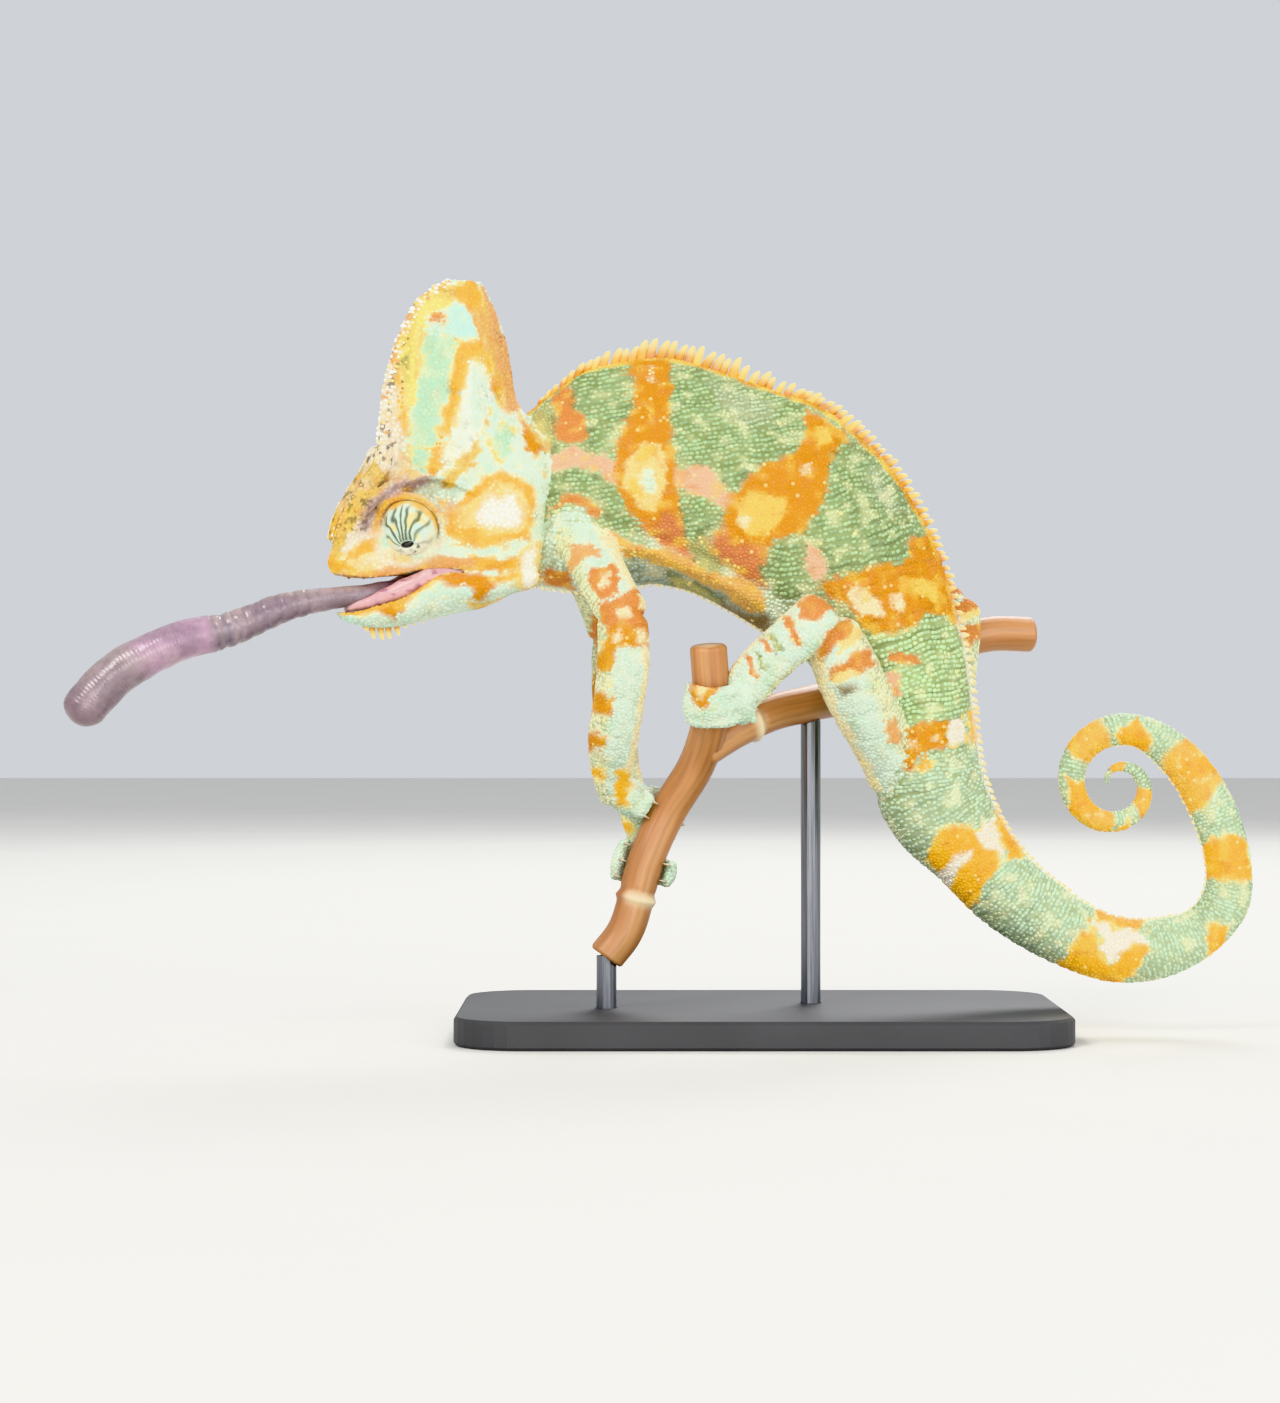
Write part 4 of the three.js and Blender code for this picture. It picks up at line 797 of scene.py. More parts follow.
# Outlines of the marks on the square view of the left side, later over earlier.
TRUNK_MARKS = outlines([
    ("olive_green", BACK, [(20, 260), (60, 230), (100, 260), (110, 340), (80, 400), (40, 350)]),
    ("orange_brown", BACK, [
        (100, 195), (145, 165), (190, 260), (205, 320), (170, 355), (110, 335), (105, 250),
    ]),
    ("green", BACK, [
        (150, 150), (230, 120), (320, 100), (345, 150), (335, 262), (270, 275), (235, 300), (195, 262),
        (160, 230),
    ]),
    ("green", BACK, [(200, 300), (245, 285), (300, 300), (312, 370), (270, 388), (215, 345)]),
    ("salmon", BACK, [
        (60, 400), (100, 378), (150, 358), (240, 368), (295, 395), (305, 440), (290, 465), (240, 432),
        (180, 410), (110, 415), (80, 440),
    ]),
    ("orange", BACK, [
        (330, 95), (450, 85), (455, 230), (450, 330), (472, 420), (482, 560), (505, 650), (440, 640),
        (370, 592), (308, 510), (288, 420), (300, 330), (318, 285), (345, 240), (345, 150),
    ]),
    ("rust", BACK, [(440, 540), (482, 560), (505, 640), (540, 700), (480, 680), (420, 640), (380, 600)]),
    ("cream", BACK, [(380, 108), (402, 110), (402, 158), (382, 155)]),
    ("yellow", BACK, [(382, 230), (400, 228), (402, 278), (384, 280)]),
    ("pale_yellow", PLAIN, [
        (-29, 147.6), (-25, 146.8), (-23.2, 142.4), (-23.4, 136.6), (-26, 130.2), (-30.4, 131), (-33.6, 136),
        (-34.2, 142.2), (-31.2, 145.2),
    ]),
    ("yellow", PLAIN, [(-29.6, 146.4), (-26.4, 146.2), (-25.4, 143.6), (-28.4, 143), (-31.4, 143.6)]),
    ("yellow", PLAIN, [(-32.6, 138.6), (-30.6, 138.2), (-29, 133.4), (-30.6, 132.6), (-32.6, 135.2)]),
    ("pale_mint", PLAIN, [(-29.2, 141.2), (-26.4, 141.4), (-25.8, 136.4), (-27.8, 134.2), (-29.6, 136.4)]),
    ("green", BACK, [
        (460, 110), (540, 125), (620, 150), (700, 180), (780, 200), (852, 235), (862, 300), (812, 360),
        (722, 400), (662, 450), (620, 458), (592, 402), (520, 405), (480, 362), (460, 300), (455, 200),
    ]),
    ("sage", PLAIN, [(-13.6, 163.4), (-4, 161), (2.6, 157.8), (3.6, 152.4), (-2.8, 151.6), (-9.4, 155.4)]),
    ("salmon", BACK, [
        (462, 415), (560, 408), (602, 455), (632, 500), (618, 532), (570, 502), (500, 480), (466, 462),
    ]),
    ("green", BACK, [(480, 500), (520, 478), (560, 508), (560, 600), (550, 660), (522, 662), (490, 592)]),
    ("olive_green", BACK, [(500, 640), (555, 600), (610, 700), (600, 740), (540, 720)]),
    ("orange", BACK, [
        (860, 245), (900, 262), (962, 300), (988, 352), (932, 402), (920, 472), (892, 552), (850, 612),
        (762, 632), (742, 702), (722, 752), (662, 742), (620, 652), (612, 560), (640, 502), (682, 452),
        (742, 402), (822, 362), (862, 300),
    ]),
    ("rust", BACK, [(600, 590), (640, 640), (745, 650), (735, 770), (662, 745), (600, 690), (570, 640)]),
    ("cream", BACK, [(842, 402), (872, 400), (876, 428), (850, 434)]),
    ("yellow", BACK, [
        (682, 482), (722, 490), (760, 496), (802, 510), (800, 548), (770, 590), (722, 622), (672, 612),
        (648, 585), (655, 520),
    ]),
    ("cream", BACK, [(650, 565), (680, 560), (682, 595), (655, 600)]),
    ("yellow", BACK, [(880, 292), (925, 300), (930, 335), (890, 345)]),
    ("green", BACK, [
        (962, 342), (1042, 372), (1082, 420), (1142, 482), (1202, 580), (1222, 690), (1152, 722), (1062, 692),
        (1002, 722), (942, 742), (922, 652), (850, 620), (892, 560), (922, 482), (938, 402),
    ]),
    ("sage", PLAIN, [(27.6, 142.4), (32.8, 136.6), (36.8, 130.4), (34.6, 128.2), (29, 133.2), (26.4, 138.2)]),
    ("green", BACK, [(742, 662), (802, 640), (852, 652), (862, 742), (832, 812), (772, 792), (728, 722)]),
    ("salmon", BACK, [(862, 640), (912, 658), (918, 742), (882, 748), (858, 700)]),
    ("green", BACK, [
        (60, 520), (92, 450), (152, 420), (242, 438), (292, 480), (332, 560), (358, 602), (332, 622),
        (272, 582), (250, 522), (192, 475), (130, 470), (92, 502),
    ]),
    ("orange_brown", BACK, [
        (100, 540), (130, 490), (182, 490), (242, 550), (232, 572), (172, 522), (130, 522),
    ]),
    ("pale_mint", BACK, [
        (62, 720), (75, 600), (112, 540), (172, 530), (232, 580), (262, 640), (332, 640), (300, 700),
        (200, 760), (90, 760),
    ]),
    ("orange_brown", BACK, [(75, 722), (150, 712), (170, 785), (75, 765)]),
    ("pale_orange", PLAIN, [
        (-38.7, 126.4), (-32.4, 122.4), (-26.1, 121), (-18.2, 118.6), (-12.7, 115.6), (-8, 114.4),
        (-1.6, 112.6), (1.2, 109.8), (1.4, 104.4), (-4.8, 106.3), (-9.5, 108.7), (-15.8, 113), (-22.1, 116),
        (-28.5, 118.4), (-34, 119), (-38.2, 121.4),
    ]),
    ("blue_mint", BACK, [
        (340, 675), (440, 705), (520, 745), (620, 800), (720, 860), (700, 900), (540, 815), (470, 780),
        (355, 775), (320, 720),
    ]),
    ("olive_green", PLAIN, [
        (-23.3, 115.4), (-15.8, 112.4), (-9.5, 107.9), (-9.8, 104.6), (-14.6, 107), (-21, 111),
    ]),
    ("olive", PLAIN, [(-9.5, 107.9), (-4.8, 105.7), (1.4, 104), (3.4, 99.6), (-0.8, 98.8), (-9.2, 104.4)]),
    ("orange", RUMP, [
        (120, 75), (200, 50), (300, 20), (390, 0), (400, -60), (470, -100), (500, -20), (520, 60), (545, 150),
        (552, 260), (548, 330), (530, 190), (440, 150), (400, 190), (380, 232), (300, 232), (250, 212),
        (200, 122), (150, 100),
    ]),
    ("cream", RUMP, [
        (200, 95), (245, 80), (285, 110), (312, 150), (300, 170), (265, 160), (240, 178), (215, 130),
    ]),
    ("cream", RUMP, [(335, 108), (368, 105), (372, 140), (345, 148)]),
    ("yellow", RUMP, [(392, 65), (440, 60), (472, 85), (480, 130), (430, 118), (395, 98)]),
    ("pale_green", RUMP, [
        (265, 232), (400, 205), (440, 162), (522, 182), (556, 262), (562, 342), (545, 462), (422, 492),
        (350, 482), (322, 402), (280, 302),
    ]),
    ("orange_brown", RUMP, [(330, 280), (420, 290), (425, 312), (335, 305)]),
    ("salmon", RUMP, [(312, 338), (362, 334), (368, 400), (330, 412), (315, 380)]),
    ("orange", PLAIN, [
        (34.4, 75.4), (38.4, 77.2), (42.7, 77.8), (47.6, 78.4), (47.6, 76.3), (45.8, 75.4), (47, 72.3),
        (43.9, 70.5), (40.3, 68.7), (38.4, 66.2), (36, 65.6), (36.6, 69.3), (35.4, 72.3),
    ]),
    ("cream", PLAIN, [(36.4, 73.2), (38.2, 73.6), (38.7, 71.6), (37.2, 70.9)]),
    ("orange_yellow", PLAIN, [(39.3, 66.2), (41.8, 68), (43.3, 67.4), (42.4, 65.3), (40.6, 65)]),
    ("cream", PLAIN, [(42.3, 74.5), (44.2, 74.6), (44.3, 72.7), (42.5, 72.4)]),
    ("tail_cream", PLAIN, [(46.4, 76), (48.2, 77.5), (51, 78), (51.8, 73), (48.8, 71.6), (47, 72.6)]),
    ("orange_yellow", PLAIN, [(51.6, 80.3), (53.7, 80.9), (55.6, 77), (56, 72.6), (53.4, 73), (52.5, 76.6)]),
    ("tail_green", RUMP, [
        (462, 642), (512, 572), (602, 562), (640, 642), (665, 742), (562, 782), (502, 792), (442, 842),
        (402, 902), (330, 802), (335, 702), (382, 642),
    ]),
    ("orange_yellow", PLAIN, [
        (40.9, 43.9), (43.3, 47.9), (45.8, 50.9), (49.4, 51.9), (54, 51.5), (55.2, 47.9), (56.1, 46.7),
        (59.2, 44.8), (59.8, 41.5), (56.8, 38.7), (56.1, 36), (54.3, 33.2), (52.5, 31.4), (49.1, 33.2),
        (47.6, 35.3), (45, 38.2), (43.6, 40.5), (41.5, 42.1),
    ]),
    ("tail_cream", PLAIN, [
        (43.6, 38.7), (46.6, 41.9), (49.8, 44.9), (53.1, 46.2), (53.4, 44.4), (51.2, 41.9), (48.6, 39),
        (47.3, 35.9), (44.5, 37.9),
    ]),
    ("tail_cream", PLAIN, [
        (53.7, 50.3), (56.8, 53.2), (59.6, 53.4), (61, 50.3), (61.6, 47.3), (60.8, 44.4), (58, 44.8),
        (56.1, 46.7), (55, 47.9),
    ]),
    ("orange_yellow", PLAIN, [
        (58.6, 55), (62, 54.7), (64, 49.7), (66, 44.8), (62.9, 43.2), (61, 47.3), (59.8, 50.9),
    ]),
    ("tail_green", RUMP, [
        (602, 1045), (622, 962), (702, 900), (782, 922), (882, 1002), (952, 1052), (932, 1102), (872, 1182),
        (822, 1202), (702, 1132),
    ]),
    ("orange_yellow", PLAIN, [
        (73.9, 17), (76.9, 18.5), (79.4, 22.8), (82.4, 26.5), (83.7, 25.3), (84.3, 22.2), (84.6, 19.8),
        (87.3, 17.3), (89.8, 19.1), (92.8, 21.3), (96.5, 21.6), (97.1, 20.4), (94, 15.5), (90.4, 12),
        (84.3, 12), (79.4, 13.4),
    ]),
    ("tail_cream", PLAIN, [
        (82.6, 28.3), (86.7, 28.3), (88.5, 25.8), (94, 25.6), (97.1, 24), (96.8, 21.6), (92.8, 21.6),
        (89.8, 19.5), (87.3, 17.9), (85.2, 20.4), (85.9, 23.4), (84, 25.9),
    ]),
    ("orange_yellow", PLAIN, [
        (83.7, 31.6), (87.9, 30.8), (91.8, 30), (96.6, 28.4), (95.2, 25.9), (91, 26), (87.9, 28.1),
        (85.5, 27.9),
    ]),
    ("tail_green", RUMP, [
        (1102, 1082), (1200, 1075), (1290, 1060), (1310, 1190), (1200, 1260), (1080, 1262), (1102, 1152),
    ]),
    ("orange_yellow", RUMP, [(1280, 1110), (1340, 1090), (1335, 1170), (1285, 1195)]),
    ("orange_yellow", RUMP, [(1262, 850), (1345, 820), (1400, 850), (1420, 960), (1350, 960), (1270, 950)]),
    ("orange_yellow", RUMP, [(1195, 600), (1250, 600), (1300, 560), (1330, 620), (1250, 665), (1205, 650)]),
    ("orange_yellow", RUMP, [(1010, 520), (1070, 470), (1120, 540), (1080, 600), (1030, 590)]),
    ("orange_yellow", RUMP, [(860, 660), (950, 680), (960, 760), (870, 760)]),
    ("orange_yellow", RUMP, [(990, 820), (1040, 780), (1060, 880), (1000, 900)]),
])
HEAD_MARKS = outlines([
    ("lemon", FACE, [
        (330, 400), (345, 330), (420, 180), (480, 120), (560, 85), (600, 75), (600, 130), (570, 200),
        (480, 205), (440, 270), (432, 400), (440, 470), (420, 560), (385, 700), (362, 640), (345, 560),
    ]),
    ("lemon", FACE, [
        (410, 200), (470, 130), (560, 95), (590, 150), (540, 200), (470, 215), (430, 270), (380, 340),
    ]),
    ("orange_yellow", PLAIN, [
        (-91.4, 166.8), (-90, 165.9), (-88.9, 159.2), (-88.4, 151.2), (-89.2, 148.2), (-90.4, 153.2),
        (-91.2, 158.2),
    ]),
    ("grey_mint", FACE, [
        (450, 290), (560, 300), (602, 330), (562, 430), (542, 520), (522, 640), (492, 760), (482, 840),
        (430, 848), (392, 782), (392, 692), (432, 562), (446, 442), (440, 352),
    ]),
    ("cyan", FACE, [(555, 225), (600, 195), (645, 180), (672, 250), (662, 312), (612, 322), (555, 302)]),
    ("orange_brown", FACE, [(486, 216), (545, 214), (552, 245), (520, 262), (490, 252)]),
    ("peach", FACE, [
        (625, 70), (692, 100), (742, 220), (800, 360), (825, 500), (835, 605), (780, 602), (732, 502),
        (702, 402), (692, 322), (652, 202), (600, 120),
    ]),
    ("pale_orange", FACE, [
        (570, 95), (650, 75), (690, 120), (720, 230), (730, 330), (760, 460), (775, 590), (740, 520),
        (700, 440), (690, 322), (650, 205), (580, 150),
    ]),
    ("orange_yellow", PLAIN, [
        (-76, 186.8), (-73.5, 188.4), (-70.4, 187.2), (-69.5, 183.8), (-71, 181.2), (-73.4, 182.6),
        (-75.6, 183.4),
    ]),
    ("orange_yellow", PLAIN, [
        (-70, 171), (-67.8, 169.4), (-66.8, 165), (-64.6, 160.2), (-64.4, 157), (-66.4, 160.4),
        (-68.6, 164.6),
    ]),
    ("orange_yellow", FACE, [
        (600, 335), (690, 308), (695, 378), (642, 402), (612, 472), (592, 562), (562, 652), (522, 762),
        (502, 852), (466, 852), (498, 742), (530, 642), (546, 542), (562, 442),
    ]),
    ("ivory", FACE, [
        (622, 422), (682, 402), (722, 482), (745, 562), (702, 662), (692, 722), (622, 782), (542, 852),
        (502, 862), (532, 772), (572, 662), (602, 542),
    ]),
    ("pale_mint", FACE, [(640, 430), (680, 412), (712, 500), (720, 600), (690, 680), (640, 690), (640, 560)]),
    ("pale_mint", FACE, [
        (722, 642), (802, 620), (842, 682), (862, 762), (902, 822), (862, 852), (762, 852), (702, 802),
        (692, 722),
    ]),
    ("grey_mint", PLAIN, [
        (-66.4, 151.1), (-63.4, 152.5), (-61.9, 149.6), (-62.6, 145.6), (-64.9, 143), (-67.2, 147.1),
    ]),
    ("soft_yellow", FACE, [
        (640, 762), (692, 722), (692, 792), (622, 842), (562, 902), (522, 905), (560, 850),
    ]),
    ("orange", FACE, [(845, 655), (890, 670), (935, 745), (915, 775), (870, 765), (850, 710)]),
    ("pale_mint", FACE, [(860, 800), (920, 800), (935, 900), (900, 920), (860, 870)]),
    ("orange_yellow", FACE, [
        (552, 980), (642, 920), (702, 862), (802, 860), (882, 902), (905, 962), (885, 1062), (862, 1102),
        (762, 1132), (682, 1158), (602, 1122), (540, 1082), (540, 1012),
    ]),
    ("pale_yellow", FACE, [
        (602, 1022), (662, 960), (712, 890), (792, 885), (862, 932), (884, 1002), (866, 1075), (762, 1095),
        (702, 1095), (652, 1062), (602, 1082), (562, 1055),
    ]),
    ("white", FACE, [
        (662, 1000), (722, 930), (802, 935), (850, 985), (840, 1050), (762, 1072), (702, 1075), (655, 1045),
    ]),
    ("pale_mint", FACE, [(560, 960), (620, 880), (690, 850), (650, 900), (600, 960), (560, 985)]),
    ("pale_mint", FACE, [
        (530, 1128), (622, 1150), (702, 1192), (782, 1152), (866, 1118), (862, 1162), (802, 1202),
        (702, 1206), (602, 1186), (530, 1175),
    ]),
    ("peach", FACE, [
        (80, 1225), (300, 1228), (422, 1198), (542, 1180), (642, 1192), (762, 1202), (866, 1192), (866, 1240),
        (802, 1258), (702, 1246), (602, 1226), (542, 1226), (442, 1246), (330, 1275), (150, 1280), (75, 1255),
    ]),
    ("orange_yellow", FACE, [(640, 1195), (762, 1205), (866, 1192), (866, 1228), (780, 1250), (690, 1238)]),
    ("cream", PLAIN, [
        (-99, 121.4), (-94, 121.2), (-89, 119.8), (-84.5, 118.2), (-91.9, 116.4), (-100.4, 115.4),
        (-104.4, 116.4), (-102.6, 118.6),
    ]),
    ("soft_yellow", FACE, [
        (95, 1110), (140, 1050), (205, 955), (290, 850), (330, 870), (255, 985), (182, 1085), (135, 1180),
        (100, 1200), (82, 1180),
    ]),
    ("orange_yellow", FACE, [(68, 1190), (150, 1195), (185, 1240), (110, 1262), (62, 1235)]),
    ("pink_white", FACE, [
        (190, 1060), (250, 1030), (285, 1060), (275, 1120), (210, 1130), (150, 1175), (150, 1120),
    ]),
    ("orange_yellow", FACE, [(150, 1180), (230, 1135), (262, 1130), (240, 1180), (180, 1210)]),
    ("pink_white", PLAIN, [
        (-95.1, 129.9), (-95.4, 126.9), (-98, 124.2), (-100.7, 121.9), (-103.3, 119.8), (-104.6, 120.3),
        (-102.7, 123.6), (-100, 126.9), (-97.4, 129.5),
    ]),
    ("mauve", PLAIN, [
        (-82.8, 139.3), (-82, 137.5), (-85.5, 136), (-89.4, 133.4), (-92.4, 130.2), (-95.1, 127.6),
        (-96.2, 128.2), (-94.7, 131.5), (-93.1, 134.5), (-89.4, 137.5),
    ]),
    ("beige", FACE, [
        (300, 850), (362, 745), (392, 782), (420, 845), (470, 852), (430, 872), (352, 905), (330, 900),
    ]),
    ("pink_white", FACE, [
        (280, 430), (330, 420), (345, 520), (360, 640), (378, 720), (352, 780), (345, 850), (300, 850),
        (268, 805), (255, 722), (272, 622), (275, 520),
    ]),
    ("peach", FACE, [
        (310, 400), (330, 330), (400, 200), (470, 110), (560, 72), (560, 85), (470, 130), (412, 190),
        (345, 330), (332, 410),
    ]),
    ("white", FACE, [(850, 1180), (905, 1130), (912, 1290), (862, 1325), (848, 1250)]),
])
JAW_MARKS = outlines([
    ("orange_yellow", PLAIN, [
        (-105.2, 105.9), (-102.7, 105.5), (-94.7, 107.6), (-90.8, 108.7), (-85.5, 111.7), (-81.5, 113.8),
        (-77.5, 115.5), (-77.5, 114.5), (-80.8, 112.7), (-84.8, 110.6), (-89.4, 107.9), (-94.1, 106.1),
        (-100.7, 104.5), (-104.6, 104.8),
    ]),
    ("orange", PLAIN, [
        (-95.1, 106.3), (-93.4, 104.3), (-90.8, 104.1), (-89.1, 105.9), (-87.8, 108.4), (-89.4, 108),
        (-91.4, 107.6), (-93.4, 106.7),
    ]),
    ("orange", PLAIN, [
        (-79.5, 114.3), (-76.2, 115.5), (-72.2, 114.7), (-67.6, 114), (-66.9, 111.7), (-68.6, 109.4),
        (-70.3, 108), (-71.9, 109), (-71.2, 111), (-73.6, 112.7), (-76.9, 111.7), (-78.8, 112.7),
    ]),
    ("orange_yellow", PLAIN, [
        (-66.9, 114.3), (-63, 114.7), (-60, 115.7), (-60.3, 114), (-63.6, 113), (-66.6, 112.7),
    ]),
    ("soft_yellow", PLAIN, [(-73.6, 108), (-70.3, 107.7), (-67.6, 108), (-68.3, 106.4), (-71.6, 105.7)]),
    ("white", FACE, [(840, 1230), (915, 1180), (915, 1300), (862, 1330), (840, 1300)]),
])
ARM_MARKS = outlines([
    ("peach", BACK, [(150, 645), (225, 640), (240, 672), (190, 690), (150, 720)]),
    ("orange_brown", BACK, [(205, 715), (285, 705), (300, 780), (250, 800), (215, 770)]),
    ("cream", BACK, [(235, 730), (262, 728), (265, 760), (240, 765)]),
    ("orange_brown", BACK, [(235, 815), (350, 780), (385, 850), (390, 920), (300, 900), (240, 890)]),
    ("cream", BACK, [(275, 840), (330, 830), (340, 860), (290, 870)]),
    ("orange", PLAIN, [(-38.5, 101.4), (-29, 101.4), (-28, 97), (-32.4, 95.6), (-35, 96.4), (-38.2, 94.2)]),
    ("cream", PLAIN, [(-31.8, 100.6), (-29, 100.8), (-28.6, 97.2), (-31.4, 97.2)]),
    ("cream", PLAIN, [(-36.6, 99.4), (-34.8, 99.2), (-35.2, 97.4), (-36.8, 97.6)]),
    ("orange", ARM, [(120, 60), (215, 40), (225, 85), (205, 150), (130, 150)]),
    ("orange", ARM, [(105, 270), (215, 290), (205, 345), (215, 370), (150, 385), (105, 350)]),
    ("orange", ARM, [(75, 440), (195, 500), (190, 535), (75, 545)]),
    ("orange_yellow", ARM, [(235, 665), (285, 650), (305, 720), (285, 830), (240, 830), (225, 740)]),
    ("orange_yellow", ARM, [(90, 640), (170, 645), (175, 690), (95, 700)]),
])
LEG_MARKS = outlines([
    ("orange_brown", RUMP, [(48, 120), (110, 95), (140, 125), (120, 175), (60, 180)]),
    ("salmon", RUMP, [(160, 105), (215, 105), (240, 160), (200, 180), (160, 150)]),
    ("orange_brown", RUMP, [(110, 275), (160, 190), (215, 175), (220, 215), (170, 255), (130, 305)]),
    ("pale_yellow", RUMP, [(180, 235), (240, 205), (245, 235), (180, 285)]),
    ("orange_brown", RUMP, [(140, 325), (215, 285), (270, 265), (285, 320), (230, 345), (160, 365)]),
    ("pale_yellow", RUMP, [(170, 335), (240, 320), (225, 350), (160, 368)]),
    ("olive", RUMP, [(165, 385), (215, 370), (235, 380), (180, 410)]),
    ("peach", PLAIN, [(31, 78.6), (33.4, 79), (34.8, 73.6), (32.6, 72.6)]),
    ("orange_brown", PLAIN, [(33.6, 70.2), (34.4, 70), (33, 64.4), (32.4, 64.8)]),
    ("pale_mint", RUMP, [(345, 560), (370, 590), (340, 690), (310, 690)]),
    ("orange_brown", LEG, [(640, 100), (700, 85), (740, 120), (700, 135), (650, 130)]),
    ("orange_brown", PLAIN, [(5.8, 104.5), (8.6, 105), (10.6, 97.2), (9.3, 96), (6.6, 100)]),
    ("orange_brown", PLAIN, [(0.4, 98.8), (1.5, 99.4), (3.6, 94.8), (2.8, 94.2)]),
    ("olive_green", PLAIN, [(2.2, 100), (3.4, 100.4), (5.2, 95.4), (4.4, 94.8)]),
    ("orange_brown", PLAIN, [(-4.6, 94.2), (-2.8, 94.6), (0.2, 88.6), (-0.8, 87.9), (-3, 91.4)]),
    ("olive_green", PLAIN, [(-2.2, 96.2), (-1.2, 96.4), (1.6, 91), (0.8, 90.4)]),
    ("orange", PLAIN, [(-17.6, 84.4), (-16, 88.4), (-12.6, 89), (-11.4, 86.4), (-12.6, 83), (-15, 81)]),
    ("cream", PLAIN, [(-15.8, 86.6), (-13.8, 87), (-14.2, 84), (-15.6, 84.2)]),
])


def lay(colour, ink, share):
    """Lay an ink over the colours; share is how thick it lies on each point."""
    shade = INK[ink] if isinstance(ink, str) else ink
    colour += (shade - colour) * np.reshape(share, (-1, 1))


def outline_distance(flat, outline):
    """Distance to a closed outline, negative inside it."""
    outline = np.array(outline, float)
    nearest = np.full(len(flat), 1e9)
    inside = np.zeros(len(flat), bool)
    for a, b in zip(outline, np.roll(outline, -1, axis=0)):
        edge = b - a
        rel = flat - a
        s = np.clip(rel @ edge / (edge @ edge), 0, 1)
        nearest = np.minimum(nearest, ((rel - s[:, None] * edge) ** 2).sum(1))
        crosses = (a[1] > flat[:, 1]) != (b[1] > flat[:, 1])
        rise = edge[1] if abs(edge[1]) > 1e-9 else 1e-9
        inside ^= crosses & (flat[:, 0] < a[0] + (flat[:, 1] - a[1]) / rise * edge[0])
    return np.where(inside, -1, 1) * np.sqrt(nearest)


# Inks whose marks have a softer or harder edge than the rest.
SOFT_EDGES = {
    "rust": 3.4, "salmon": 1.1, "olive": 3.2, "blue_mint": 1.2, "peach": 0.9, "pale_green": 2.5, "sage": 4.5,
}
# Inks whose marks are rimmed: with what, how wide in millimetres, and how broken.
RIMMED = {
    "green": ("dark", 0.55, 0.12),
    "olive_green": ("dark", 0.55, 0.12),
    "orange": ("orange_brown", 0.5, 0.0),
    "orange_yellow": ("pale_yellow", 0.45, -0.1),
    "peach": ("orange_brown", 0.35, 0.1),
    "grey_mint": ("yellow", 0.6, 0.0),
    "ivory": ("yellow", 0.7, -0.1),
    "white": ("yellow", 0.8, -0.3),
    "tail_cream": ("yellow", 0.4, 0.0),
}


def paint(colour, flat, marks, here, warp=0.8, soft=0.5):
    """Lay the marks over the colours of the points that are here, with ragged edges."""
    index = np.nonzero(here)[0]
    spots = flat[index]
    deep = np.column_stack([spots[:, 0], np.zeros(len(spots)), spots[:, 1]])
    wander = np.stack([noise(deep, 3.4, 5), noise(deep, 3.4, 9)], axis=1) * warp
    wander += np.stack([noise(deep, 1.3, 6), noise(deep, 1.3, 3)], axis=1) * warp * 0.7
    spots = spots + wander
    for name, outline in marks:
        low, high = np.min(outline, axis=0) - 2, np.max(outline, axis=0) + 2
        some = np.nonzero(((spots > low) & (spots < high)).all(axis=1))[0]
        if not len(some):
            continue
        gap = outline_distance(spots[some], outline)
        edge = soft * SOFT_EDGES.get(name, 1.0)
        cover = smooth(edge, -edge, gap)[:, None]
        rows = index[some]
        colour[rows] += (INK[name] - colour[rows]) * cover
        if name in RIMMED:
            ink, width, broken = RIMMED[name]
            rim = np.exp(-((gap - 0.2) / width) ** 2) * (noise(deep[some], 1.5, 21) > broken)
            colour[rows] += (INK[ink] - colour[rows]) * (rim * 0.72)[:, None]


ARC = run_of(sum(trunk_at(np.arange(0, LAST + 0.05, 0.1))[:2]) / 2)  # down the trunk, ten to a station
ROW_TURN = (5.0, 12.0)  # stations between which the rows turn from lengthwise to crosswise
ROW_UP = np.array([-0.18, 0, 1.0])  # square to the lengthwise rows


def row_field(place):
    """A field whose whole multiples of the pitch are the rows of scales, and its gradient."""
    t = np.clip(place.station, 0, LAST)
    back, belly, _, _ = trunk_at(t)
    nearby = trunk_at(np.clip(t + 0.1, 0, LAST))
    along = unit(nearby[0] + nearby[1] - back - belly)
    arc = np.interp(t, np.arange(len(ARC)) * 0.1, ARC)
    middle = (back + belly) / 2
    arc = arc + ((place.points - middle) * along).sum(1)
    start = np.interp(8.0, np.arange(len(ARC)) * 0.1, ARC)
    level = place.points @ ROW_UP - 130
    turn = smooth(*ROW_TURN, t)
    warp = 0.8 * noise(place.points, 6, 81) + 0.42 * noise(place.points, 2.6, 82)
    field = (1 - turn) * level + turn * (start - arc) + warp
    way = (1 - turn)[:, None] * ROW_UP - turn[:, None] * along
    for name in LIMBS:
        here = place.region == NUMBER[name]
        if here.any():
            line = limb_line(name)
            tangent = unit(np.gradient(line, axis=0))
            at = np.clip((place.share[here] * LIMB_STEPS).round().astype(int), 0, LIMB_STEPS)
            off = ((place.points[here] - line[at]) * tangent[at]).sum(1)
            field[here] = run_of(line)[at] + off + warp[here]
            way[here] = tangent[at]
    way[(place.region >= FIRST_LIMB) & (np.linalg.norm(way, axis=1) < 0.1)] = (0, 0, 1)
    return field, way


def ground(place, ink):
    return np.tile(INK[ink], (len(place.points), 1))


